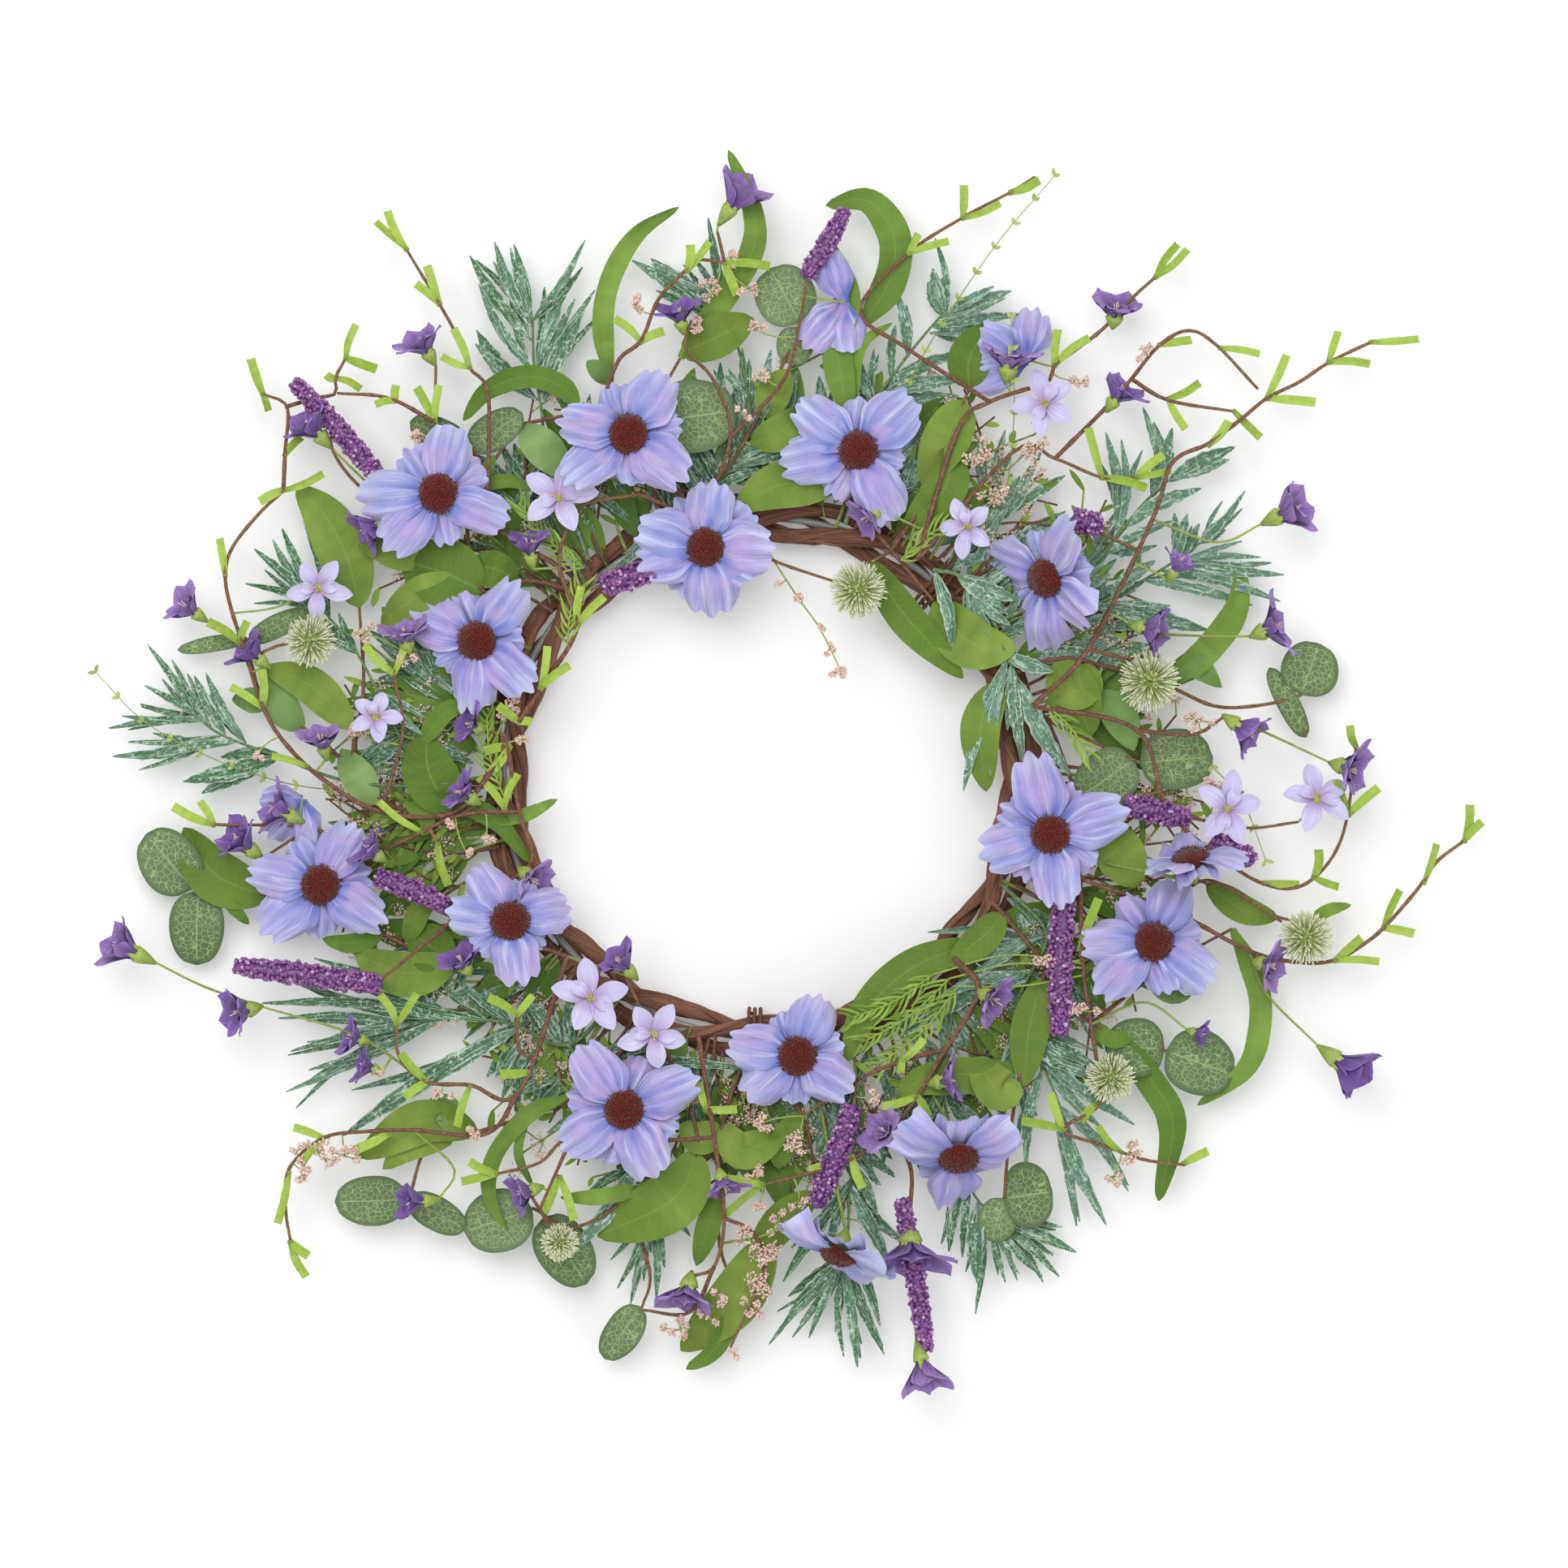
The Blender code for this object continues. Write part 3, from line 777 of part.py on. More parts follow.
for name, look, items in PICKS:
    lines, solids = [], []
    for it in items:                        # stalks first, each starting on one already there
        if it[0] not in "WG":
            continue
        path = thinned([on(*q) for q in it[2]], 0.0012)
        if len(path) == 2:
            mid = (path[0] + path[1]) / 2
            mid.z = lift(mid)
            path = [path[0], mid, path[1]]
        if lines:
            away, p = nearest(lines, path[0])
            touch = min((nearest(lines, q)[1] - q).length for q in path)
            if away < 0.0022:
                path[0] = p
            elif touch > 0.0004:
                if (path[0] - p).angle(path[1] - path[0]) > math.radians(75):
                    link(p, path[0], solids, 0.0012)
                    path[0] = path[0] - (path[1] - path[0]).normalized() * 0.0008
                else:
                    path = [p] + path
        r = it[1] / 1000.0
        end = path[-1] + (path[-1] - path[-2]).normalized() * 0.0025
        shared = not lines or min((line[0] - path[0]).length for line in lines) < 0.003
        if shared:
            head = path[0] - (path[1] - path[0]).normalized() * 0.002
            solids.append(loft([head] + path + [end], [(r, r)] * len(path), 3))
        else:
            solids.append(loft(path + [end], [(r, r)] * (len(path) - 1), 3))
        lines.append(path)
    for it in items:
        k = it[0]
        if k == "F":
            leaf([it[1:3], it[3:5]], it[5] * STEP, NARROW, lines, solids)
        elif k in "BQ":
            leaf(it[2], it[1] * STEP, BROAD, lines, solids)
        elif k == "A":
            leaf(it[2], it[1] * STEP, STRAP, lines, solids)
        elif k == "E":
            leaf([it[1:3], it[3:5]], it[5] * STEP, OVAL, lines, solids, 0.0014)
        elif k == "L":
            foot = on(*it[1:3])
            away, p = nearest(lines, foot)
            if away > 0.0022:
                link(p, foot, solids)
            else:
                foot = p
            for tip in it[3]:
                end = on(*tip)
                d = (end - foot).normalized()
                solids.append(loft([foot - d * 0.0004, end, end - d * 0.0002], [(0.0019, 0.0007)], 4,
                                   [None, d, None]))
        elif k == "P":
            _, cu, cv, bu, bv, size = it
            mouth, foot = on(cu, cv), on(bu, bv)
            d = (mouth - foot).normalized()
            path, stalked = rooted([foot, mouth + d * size * STEP * 0.30], lines, solids)
            r = size * STEP * 0.38
            spine = path + [path[-1] - d * r * 0.8]
            solids.append(loft(spine, ([(0.0009, 0.0009)] if stalked else []) + [(r, r)], 5,
                               [None] * (len(path) - 1) + [d, None]))
        elif k in "VTKC":
            cu, cv = it[1], it[2]
            foot = on(cu, cv)
            away, p = nearest(lines, foot)
            if k == "K" and it[3] < 33:
                continue
            if (p - foot).length > 0.0007:
                link(p, foot, solids)
            if k == "V":
                turn, size, tilt = it[3], it[4], it[5]
                up = Vector((0, 0, 1)) if tilt < 40 else Vector((0.0, 0.85, 0.5)).normalized()
                r = size * STEP * 0.42
                solids.append(loft([foot - up * 0.0005, foot + up * 0.0055, foot + up * 0.0040], [(r, r)], 6,
                                   [None, up, None]))
            elif k == "T":
                solids.append(ball(foot + Vector((0, 0, 0.004)), it[3] * STEP * 0.5))
            elif k == "K":
                r = it[3] * STEP * 0.42
                solids.append(loft([foot - Vector((0, 0, r)), foot, foot + Vector((0, 0, r))], [(r, r)], 5,
                                   [None, Vector((0, 0, 1)), None]))
            else:
                up = Vector((0, 0, 1))
                r = it[3] * STEP
                solids.append(loft([foot - up * 0.0006, foot + up * 0.006, foot + up * 0.004], [(r, r)], 7,
                                   [None, up, None]))
        elif k == "S":
            _, u0, v0, u1, v1, d = it
            path, stalked = rooted([on(u0, v0), on(u1, v1)], lines, solids)
            a, b = path[-2], path[-1]
            r = d * STEP * 0.5
            spine = (path[:1] if stalked else []) + [a, a.lerp(b, 0.14), a.lerp(b, 0.84), b]
            solids.append(loft(spine, ([(0.0008, 0.0008)] if stalked else []) + [(r, r), (r * 0.8, r * 0.8)], 4))
    ob = united(name, solids, parts, MATS[look], EASE)
    lay([ob])


# ---------------------------------------------------------- cosmos flowers
CUP = 0.27                  # rise of the petals per length
DOME_R = 0.0086             # flocked centre
DOME_H = 0.0052


def corolla(reach, turn, petals):
    """A shallow cup of joined petals with notched edges."""
    bm = bmesh.new()
    n = petals * 3
    bmesh.ops.create_circle(bm, cap_ends=True, cap_tris=True, segments=n, radius=1.0)
    rim = sorted((v for v in bm.verts if v.co.length > 0.5), key=lambda v: math.atan2(v.co.y, v.co.x))
    for i, v in enumerate(rim):
        a = math.tau * i / n + turn
        r = reach * (0.64, 1.0, 0.97)[i % 3]
        v.co = Vector((r * math.cos(a), r * math.sin(a), CUP * r))
    ob = from_bmesh("corolla", bm)
    so = ob.modifiers.new("thickness", "SOLIDIFY")
    so.thickness = PETAL_T
    so.offset = 0.0
    return baked(ob)


for num, u, v, reach, turn, toward, tilt, petals in COSMOS:
    c = on(u, v, 0.0075)
    head = corolla(reach * STEP, math.radians(turn), petals)
    calyx = loft([Vector((0, 0, -0.0085)), Vector((0, 0, -0.0012)), Vector((0, 0, 0.0002))], [(0.0050, 0.0050)], 6,
                 [None, Vector((0, 0, 1)), None])
    axis = Vector((math.sin(math.radians(tilt)) * math.cos(math.radians(toward)),
                   math.sin(math.radians(tilt)) * math.sin(math.radians(toward)), math.cos(math.radians(tilt))))
    m = Matrix.Translation(c) @ axis.to_track_quat("Z", "Y").to_matrix().to_4x4()
    head.data.transform(m)
    calyx.data.transform(m)
    # the stalk runs level from the calyx to the ring
    start = c - axis * 0.0045
    foot = c - axis * 0.0078
    out = Vector((c.x - RING.x, c.y - RING.y, 0)).normalized()
    run = Vector((RING.x, RING.y, 0)) + out * RING_R - foot
    run.z = 0.0
    if run.length > 0.008:
        path = [start, foot + run * 0.12, foot + run * 0.85, foot + run]
    else:
        path = [start, foot, foot - axis * 0.003]
    stem = loft(path, [(0.0012, 0.0012)] * (len(path) - 2), 3)
    group = [united("cosmos_head_" + num, [head, calyx, stem], parts, MATS["petal"])]
    if tilt < 60:
        bm = bmesh.new()
        bmesh.ops.create_uvsphere(bm, u_segments=8, v_segments=4, radius=1.0)
        bmesh.ops.delete(bm, geom=[w for w in bm.verts if w.co.z < -0.1], context="VERTS")
        bmesh.ops.holes_fill(bm, edges=[e for e in bm.edges if e.is_boundary], sides=0)
        bmesh.ops.scale(bm, vec=(DOME_R, DOME_R, DOME_H), verts=bm.verts)
        bmesh.ops.translate(bm, vec=(0, 0, CUP * DOME_R + 0.52 * PETAL_T + GAP), verts=bm.verts)
        bmesh.ops.recalc_face_normals(bm, faces=bm.faces)
        dome = from_bmesh("dome", bm)
        dome.data.transform(m)
        group.append(united("cosmos_centre_" + num, [dome], parts, MATS["centre"]))
    lay(group)

for ob in list(work.objects):
    bpy.data.objects.remove(ob, do_unlink=True)
bpy.data.collections.remove(work)

for ob in parts.objects:
    if ob.type == "MESH":
        ob.data.shade_smooth()
        ob.data.set_sharp_from_angle(angle=math.radians(35))
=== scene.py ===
"""Looks of the artificial flower wreath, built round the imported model.  Metres, +Z up, the row frame."""
import math
import bpy
import numpy as np
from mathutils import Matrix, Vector


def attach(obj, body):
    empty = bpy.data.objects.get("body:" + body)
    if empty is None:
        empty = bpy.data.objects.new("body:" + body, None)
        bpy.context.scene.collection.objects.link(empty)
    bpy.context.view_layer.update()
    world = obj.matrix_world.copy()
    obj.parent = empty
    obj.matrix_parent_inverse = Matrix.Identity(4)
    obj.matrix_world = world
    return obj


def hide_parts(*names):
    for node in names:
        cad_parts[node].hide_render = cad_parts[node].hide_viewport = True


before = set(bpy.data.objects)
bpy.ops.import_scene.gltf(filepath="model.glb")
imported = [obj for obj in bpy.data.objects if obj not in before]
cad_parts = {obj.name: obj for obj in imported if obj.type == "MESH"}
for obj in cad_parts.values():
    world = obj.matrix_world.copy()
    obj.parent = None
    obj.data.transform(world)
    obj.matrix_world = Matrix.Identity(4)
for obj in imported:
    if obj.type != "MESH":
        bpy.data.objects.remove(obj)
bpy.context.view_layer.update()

# ------------------------------------------------------------ layout, as in the CAD
STEP = 0.000355
GRID_MID = (971.67, 953.06)
RING_MID = (940.0, 958.0)
RING_R = 0.1143
VINE_R = 0.0044
VINE_LAY = 0.0069
VINE_TURNS = 5
BUNDLE_Z = 0.0099
PICK_Z = 0.0245
DROOP = 0.0110
CUP = 0.27
DOME_R = 0.0086
DOME_H = 0.0052
PETAL_T = 0.0010
GAP = 0.0004

# ---------------------------------------------------------------------------
# PLAN LAYOUT.  Positions are (u, v) steps of the layout grid, u to the right and
# v down, one step being STEP metres; P() turns them into metres about the middle
# of the wreath.
#   F  frosted leaflet     (base u, v, tip u, v, width)
#   B  broad leaf          (width, [spine points from stalk to tip])
#   A  strap leaf          (width, [spine points from stalk to tip])
#   Q  smooth pale leaf    (width, [spine points from stalk to tip])
#   E  eucalyptus leaf     (stalk u, v, tip u, v, width)
#   L  lime twig tips      (node u, v, [tip points])
#   P  violet bellflower   (mouth u, v, calyx foot u, v, size)
#   V  lilac star flower   (centre u, v, turn in degrees, size, tilt in degrees)
#   S  beaded spike        (from u, v, to u, v, thickness)
#   T  thistle ball        (centre u, v, diameter)
#   K  pink bud cluster    (centre u, v, size)
#   W  brown twig          (radius in mm, [points from the ring outwards])
#   G  green stalk         (radius in mm, [points from the ring outwards])
# ---------------------------------------------------------------------------
PICKS = [
  ("frosted_spray_top_left", "frost", [
    ("G", 1.5, [(722,722),(690,655),(662,590),(668,520),(657,450),(655,388)]),
    ("F", 655,390,627,302,9), ("F", 656,390,720,293,10), ("F", 653,400,607,294,14), ("F", 651,415,577,312,16),
    ("F", 654,455,588,347,15), ("F", 660,490,585,404,24), ("F", 660,450,703,327,17), ("F", 664,485,707,365,13),
    ("F", 668,495,720,375,22), ("F", 664,570,640,640,12), ("F", 664,560,703,575,14)]),
  ("frosted_spray_top", "frost", [
    ("G", 1.5, [(862,648),(882,600),(902,570),(924,520),(915,450),(900,395)]),
    ("F", 900,395,778,318,22), ("F", 902,402,802,322,14), ("F", 896,392,872,265,13), ("F", 906,568,1000,508,21),
    ("F", 902,574,988,556,11), ("F", 890,588,945,582,13), ("F", 922,540,965,455,17), ("F", 918,480,893,462,10),
    ("F", 868,636,742,712,14), ("F", 872,625,775,675,10), ("F", 880,605,936,578,12), ("F", 924,520,955,490,12)]),
  ("frosted_spray_top_right", "frost", [
    ("G", 1.5, [(1042,645),(1066,560),(1076,500),(1105,455),(1140,410),(1168,378)]),
    ("F", 1168,380,1153,290,9), ("F", 1162,385,1150,328,20), ("F", 1168,382,1226,350,12), ("F", 1160,390,1248,355,18),
    ("F", 1150,400,1262,385,14), ("F", 1146,408,1236,410,9), ("F", 1120,438,1106,358,14), ("F", 1098,465,1104,398,14),
    ("F", 1105,458,1195,432,14), ("F", 1090,480,1190,465,20), ("F", 1080,497,1036,440,15)]),
  ("frosted_spray_right", "frost", [
    ("G", 1.6, [(1205,775),(1290,738),(1350,692),(1385,650),(1415,615),(1440,592)]),
    ("G", 1.4, [(1290,738),(1345,745),(1400,720),(1450,690),(1485,665)]),
    ("F", 1440,592,1525,548,20), ("F", 1438,592,1410,500,13), ("F", 1422,608,1447,525,18),
    ("F", 1388,648,1482,600,20), ("F", 1378,658,1364,530,16), ("F", 1382,652,1383,540,12), ("F", 1360,683,1448,640,16),
    ("F", 1485,667,1515,632,14), ("F", 1482,668,1537,603,8), ("F", 1450,690,1465,632,16), ("F", 1462,684,1480,645,11),
    ("F", 1452,690,1570,692,11), ("F", 1446,694,1585,707,14), ("F", 1430,702,1580,740,16), ("F", 1410,714,1546,745,14),
    ("F", 1348,745,1492,776,24), ("F", 1370,733,1425,690,20)]),
  ("leaf_stem_left", "leaf", [
    ("W", 1.8, [(618,985),(560,1002),(480,992),(430,945),(380,902),(325,868),(302,800)]),
    ("W", 1.5, [(430,945),(446,850),(441,748)]),
    ("B", 62, [(441,748),(428,692),(402,640),(362,597)]), ("E", 304,788,378,751,27), ("E", 302,786,215,800,18),
    ("B", 44, [(432,897),(382,845),(322,822)]), ("Q", 40, [(372,900),(345,870),(326,826)]), ("Q", 40, [(462,992),(438,955),(418,922)]),
    ("B", 64, [(556,1003),(528,950),(524,902)]), ("A", 24, [(490,990),(560,988),(612,1012),(652,1062)]),
    ("A", 22, [(520,915),(548,878),(582,865)]), ("A", 15, [(600,1012),(645,1005),(686,985)]), ("Q", 30, [(330,870),(308,862),(283,862)]),
    ("A", 20, [(500,985),(525,1010),(520,1030)])]),
  ("frosted_spray_left", "frost", [
    ("G", 1.5, [(612,955),(520,968),(425,962),(340,932),(270,905),(236,880)]),
    ("G", 1.3, [(520,968),(478,880),(436,800),(388,742)]),
    ("F", 240,885,130,897,9), ("F", 245,888,147,882,8), ("F", 237,880,178,793,9), ("F", 240,882,175,844,8),
    ("F", 256,895,200,822,16), ("F", 275,905,237,832,13), ("F", 300,915,250,828,15), ("F", 270,906,135,932,14),
    ("F", 290,914,170,936,12), ("F", 342,934,222,963,26), ("F", 392,748,310,675,14), ("F", 396,752,300,718,10),
    ("F", 400,756,345,650,14), ("F", 405,765,372,640,12), ("F", 440,805,398,762,16), ("F", 462,850,520,905,12)]),
  ("frosted_spray_lower_left", "frost", [
    ("G", 1.6, [(764,1226),(700,1288),(630,1262),(560,1256),(490,1262)]),
    ("G", 1.4, [(700,1288),(752,1380),(795,1450),(800,1500)]),
    ("F", 560,1256,320,1237,14), ("F", 500,1262,340,1256,9), ("F", 570,1257,345,1205,15), ("F", 492,1262,350,1347,10),
    ("F", 510,1262,355,1297,12), ("F", 540,1258,378,1320,14), ("F", 600,1259,430,1212,14), ("F", 630,1262,560,1205,12),
    ("F", 690,1287,650,1235,20), ("F", 640,1266,420,1402,24), ("F", 720,1320,800,1318,14),
    ("F", 798,1490,760,1590,9), ("F", 799,1495,776,1610,13), ("F", 800,1496,808,1605,10), ("F", 800,1490,818,1565,9),
    ("F", 795,1452,850,1525,15), ("F", 785,1435,705,1545,22), ("F", 720,1322,925,1318,15), ("F", 715,1316,845,1268,14)]),
  ("frosted_spray_bottom", "frost", [
    ("G", 1.5, [(1015,1270),(1062,1372),(1048,1460),(1045,1520),(1038,1562)]),
    ("F", 1048,1462,965,1582,16), ("F", 1048,1455,975,1540,10), ("F", 1048,1465,1097,1560,19), ("F", 1052,1440,1082,1500,12),
    ("F", 1038,1562,947,1660,9), ("F", 1040,1552,968,1632,20), ("F", 1040,1556,997,1652,10), ("F", 1038,1562,1040,1675,9),
    ("F", 1040,1558,1057,1688,13), ("F", 1042,1550,1090,1672,15), ("F", 1044,1540,1085,1637,12),
    ("G", 1.5, [(1165,1240),(1160,1330),(1182,1430),(1205,1480),(1230,1502)]),
    ("F", 1190,1448,1170,1545,14), ("F", 1196,1462,1187,1552,10), ("F", 1206,1482,1206,1585,22), ("F", 1218,1492,1240,1583,9),
    ("F", 1214,1488,1203,1622,9), ("F", 1226,1500,1303,1518,9), ("F", 1228,1500,1328,1546,16), ("F", 1222,1498,1286,1576,10),
    ("F", 1226,1502,1307,1576,12), ("F", 1166,1350,1210,1412,15), ("F", 1162,1335,1140,1390,12)]),
  ("leaf_stem_top_left", "leaf", [
    ("W", 1.8, [(715,730),(650,715),(595,728),(575,640),(600,580),(640,522)]),
    ("W", 1.3, [(600,580),(578,548)]),
    ("W", 1.3, [(640,522),(690,512),(712,508)]),
    ("A", 26, [(712,508),(695,478),(650,463),(600,480),(570,517)]), ("E", 578,550,643,508,44), ("E", 574,548,504,518,38),
    ("Q", 44, [(640,522),(668,552),(706,592)]), ("B", 16, [(580,600),(625,592),(655,603)]), ("A", 14, [(592,598),(608,560)]),
    ("B", 80, [(595,728),(545,705),(492,690)]), ("B", 44, [(575,715),(515,735),(468,770)]), ("B", 44, [(585,700),(605,700),(638,713)]),
    ("B", 40, [(520,695),(475,676),(440,668)])]),
  ("leaf_stem_top", "leaf", [
    ("W", 1.8, [(822,662),(805,600),(792,520),(748,468)]),
    ("W", 1.6, [(805,600),(870,600),(928,525),(988,396)]),
    ("W", 1.4, [(792,520),(838,440)]),
    ("A", 24, [(752,470),(742,400),(752,340),(785,285),(836,252)]), ("B", 50, [(838,435),(882,415),(928,390)]),
    ("A", 28, [(838,440),(890,370),(926,310),(928,258),(897,182)]), ("E", 806,520,907,505,92), ("E", 986,396,948,328,72),
    ("E", 984,402,975,448,44), ("B", 40, [(940,515),(955,482),(972,455)]), ("B", 42, [(925,548),(965,530),(1000,500)]),
    ("Q", 12, [(986,400),(1010,412),(1040,428)]), ("Q", 24, [(750,472),(742,460),(722,445)])]),
  ("leaf_stem_top_right", "leaf", [
    ("W", 1.8, [(1098,678),(1150,600),(1172,530),(1195,478)]),
    ("W", 1.5, [(1098,678),(1040,600),(1050,500),(1062,400)]),
    ("W", 1.4, [(1098,678),(1078,690)]),
    ("W", 1.4, [(1098,678),(1150,740)]),
    ("B", 54, [(1195,478),(1195,440),(1222,398)]), ("B", 56, [(1190,492),(1172,530),(1138,600)]), ("B", 50, [(1170,548),(1165,600),(1113,655)]),
    ("B", 42, [(1074,692),(1112,755),(1187,836)]), ("B", 62, [(1150,742),(1196,792),(1253,800)]),
    ("A", 38, [(1062,400),(1096,345),(1102,290),(1070,245),(1018,250)]), ("A", 14, [(1050,505),(1060,430),(1100,395)]),
    ("A", 34, [(1048,520),(1032,430),(1045,360),(1015,285)]), ("B", 56, [(1042,590),(960,598),(905,626)])]),
  ("leaf_stem_right", "leaf", [
    ("W", 1.8, [(1235,835),(1300,812),(1360,820),(1440,845),(1500,870),(1560,868),(1606,856)]),
    ("W", 1.6, [(1235,835),(1290,885),(1350,915),(1402,938)]),
    ("W", 1.6, [(1290,885),(1350,1020),(1420,1060),(1490,1090)]),
    ("B", 60, [(1300,815),(1322,852),(1345,908)]), ("B", 46, [(1235,838),(1208,895),(1216,975)]), ("B", 44, [(1348,818),(1330,850),(1290,855)]),
    ("A", 34, [(1440,845),(1495,792),(1524,748),(1532,690)]), ("Q", 30, [(1440,845),(1470,820),(1508,846)]),
    ("E", 1606,856,1628,792,70), ("E", 1612,908,1567,822,26), ("E", 1398,936,1328,984,70), ("E", 1405,940,1497,932,74),
    ("Q", 42, [(1352,850),(1378,880),(1398,925)]), ("B", 58, [(1352,1022),(1385,1060),(1400,1095)]), ("B", 34, [(1488,1089),(1530,1120),(1578,1132)]),
    ("A", 14, [(1620,1135),(1640,1122),(1668,1115)]), ("W", 1.2, [(1575,1130),(1622,1136)])]),
  ("frosted_spray_lower_right", "frost", [
    ("G", 1.5, [(1235,1090),(1290,1150),(1262,1215),(1250,1262),(1285,1315),(1310,1370)]),
    ("F", 1286,1152,1100,1190,13), ("F", 1285,1155,1145,1168,12), ("F", 1272,1195,1110,1277,18), ("F", 1268,1205,1180,1225,14),
    ("F", 1290,1150,1330,1080,12), ("F", 1252,1265,1240,1372,20), ("F", 1258,1275,1345,1325,24), ("F", 1275,1300,1400,1388,17),
    ("F", 1285,1318,1265,1442,14), ("F", 1300,1348,1365,1512,19), ("F", 1300,1358,1332,1508,10), ("F", 1305,1362,1392,1470,11)]),
  ("frosted_spray_inner_right", "frost", [
    ("G", 1.5, [(1150,702),(1186,712),(1222,762),(1240,808),(1262,850)]),
    ("F", 1152,704,1173,800,17), ("F", 1180,710,1252,738,26), ("F", 1192,720,1212,822,15), ("F", 1205,738,1245,770,12),
    ("F", 1240,808,1298,828,18), ("F", 1242,812,1187,975,17), ("F", 1246,818,1262,942,18), ("F", 1256,838,1318,955,22)]),
  ("leaf_stem_lower_right", "leaf", [
    ("W", 1.8, [(1222,1110),(1290,1190),(1345,1262),(1438,1296)]),
    ("W", 1.6, [(1290,1190),(1262,1300),(1245,1400),(1238,1478)]),
    ("W", 1.4, [(1222,1110),(1200,1165)]),
    ("W", 1.4, [(1345,1262),(1440,1190),(1520,1145)]),
    ("B", 40, [(1236,1125),(1215,1150),(1168,1190)]), ("B", 46, [(1205,1160),(1125,1192),(1068,1245),(1040,1310)]),
    ("B", 50, [(1255,1330),(1232,1345),(1200,1303)]), ("B", 46, [(1285,1205),(1268,1270),(1262,1340)]), ("A", 20, [(1345,1262),(1372,1282),(1405,1272)]),
    ("E", 1437,1294,1362,1288,70), ("E", 1438,1296,1522,1326,80), ("A", 34, [(1370,1272),(1422,1335),(1447,1390),(1430,1482)]),
    ("A", 26, [(1520,1145),(1551,1215),(1553,1270),(1535,1320),(1478,1363)]), ("Q", 34, [(1415,1210),(1450,1220),(1480,1190)]),
    ("E", 1238,1478,1298,1470,80), ("E", 1238,1478,1222,1532,46), ("B", 44, [(1258,1320),(1140,1330),(1105,1360)])]),
  ("leaf_stem_bottom", "leaf", [
    ("W", 1.8, [(925,1282),(890,1385),(884,1460),(888,1545),(915,1600)]),
    ("W", 1.6, [(925,1282),(990,1380),(1005,1470)]),
    ("B", 44, [(890,1385),(915,1418),(972,1393)]), ("B", 40, [(890,1390),(862,1402),(838,1385)]), ("B", 28, [(884,1470),(872,1515),(857,1562)]),
    ("B", 62, [(950,1525),(908,1600),(838,1668)]), ("A", 22, [(915,1600),(880,1665),(845,1690)]), ("B", 42, [(1005,1470),(960,1510),(925,1562)]),
    ("B", 34, [(985,1372),(965,1410),(960,1442)])]),
  ("leaf_stem_bottom_left", "leaf", [
    ("W", 1.8, [(800,1245),(720,1345),(600,1392),(528,1412),(502,1478)]),
    ("W", 1.8, [(800,1245),(860,1418),(772,1480),(705,1514),(655,1490)]),
    ("W", 1.4, [(772,1480),(800,1570),(790,1614)]),
    ("B", 52, [(588,1395),(520,1382),(440,1428)]), ("B", 30, [(560,1402),(505,1415),(470,1442)]), ("Q", 34, [(560,1402),(545,1365),(520,1385)]),
    ("A", 20, [(700,1352),(650,1375),(610,1425),(603,1475),(625,1520)]), ("A", 10, [(650,1372),(638,1420),(655,1462)]),
    ("E", 500,1480,410,1483,60), ("E", 503,1478,572,1517,40), ("E", 655,1492,570,1520,76), ("E", 668,1502,722,1585,66),
    ("E", 788,1612,744,1678,44), ("B", 70, [(860,1418),(830,1478),(735,1525)]), ("A", 18, [(790,1465),(740,1475),(690,1478)])]),
  ("leaf_stem_lower_left", "leaf", [
    ("W", 1.8, [(668,1130),(560,1185),(470,1152),(380,1118),(300,1100),(232,1096)]),
    ("E", 234,1096,176,1028,74), ("E", 240,1098,238,1190,66), ("B", 62, [(330,1106),(262,1078),(222,1020)]), ("A", 14, [(262,1096),(290,1125),(303,1140)]),
    ("B", 54, [(560,1186),(500,1200),(435,1176)]), ("B", 56, [(555,1184),(528,1165),(505,1148)]), ("A", 22, [(470,1152),(430,1162),(395,1158)]),
    ("B", 26, [(500,1162),(520,1118),(546,1110)])]),
  ("wildflower_twig_left", "wild", [
    ("W", 2.0, [(620,930),(560,1000),(470,1000),(400,962),(350,915),(322,868),(300,800),(282,745),(276,705),(286,672),(318,632),(348,604)]),
    ("W", 1.5, [(348,604),(350,555),(352,500),(322,484)]),
    ("W", 1.5, [(352,500),(385,490),(412,484),(412,465),(425,440)]),
    ("W", 1.3, [(470,1000),(497,900),(486,830),(498,795)]),
    ("L", 322,484,[(308,444),(328,502)]), ("L", 350,560,[(368,540)]), ("L", 348,603,[(394,584),(322,616)]), ("L", 276,708,[(270,666)]),
    ("L", 294,792,[(258,768),(302,768)]), ("L", 322,872,[(286,848),(322,828)]), ("L", 378,944,[(338,932)]), ("L", 425,440,[(437,402),(460,453)]),
    ("L", 486,830,[(452,797),(503,783)]), ("L", 412,465,[(440,477),(404,462)]),
    ("P", 222,742,252,764,44), ("W", 0.9, [(298,795),(252,764)]), ("P", 305,800,330,822,46), ("P", 395,905,402,935,44), ("P", 498,778,505,805,52),
    ("V", 392,722,-90,62,65), ("T", 382,790,64), ("V", 462,888,60,56,20), ("K", 438,905,26), ("K", 448,780,26), ("K", 500,815,22), ("K", 315,930,16),
    ("W", 2.0, [(622,905),(640,1000),(655,1062),(600,1100)]),
    ("W", 1.5, [(640,1000),(565,1005),(460,1048),(380,1020),(262,1016)]),
    ("W", 1.0, [(565,1005),(590,990)]),
    ("W", 1.0, [(622,905),(596,900)]),
    ("L", 622,997,[(592,960),(638,957)]), ("L", 628,920,[(600,925),(606,950)]), ("L", 262,1016,[(215,995),(246,990)]), ("L", 540,1040,[(552,1088)]), ("L", 520,1025,[(470,990)]),
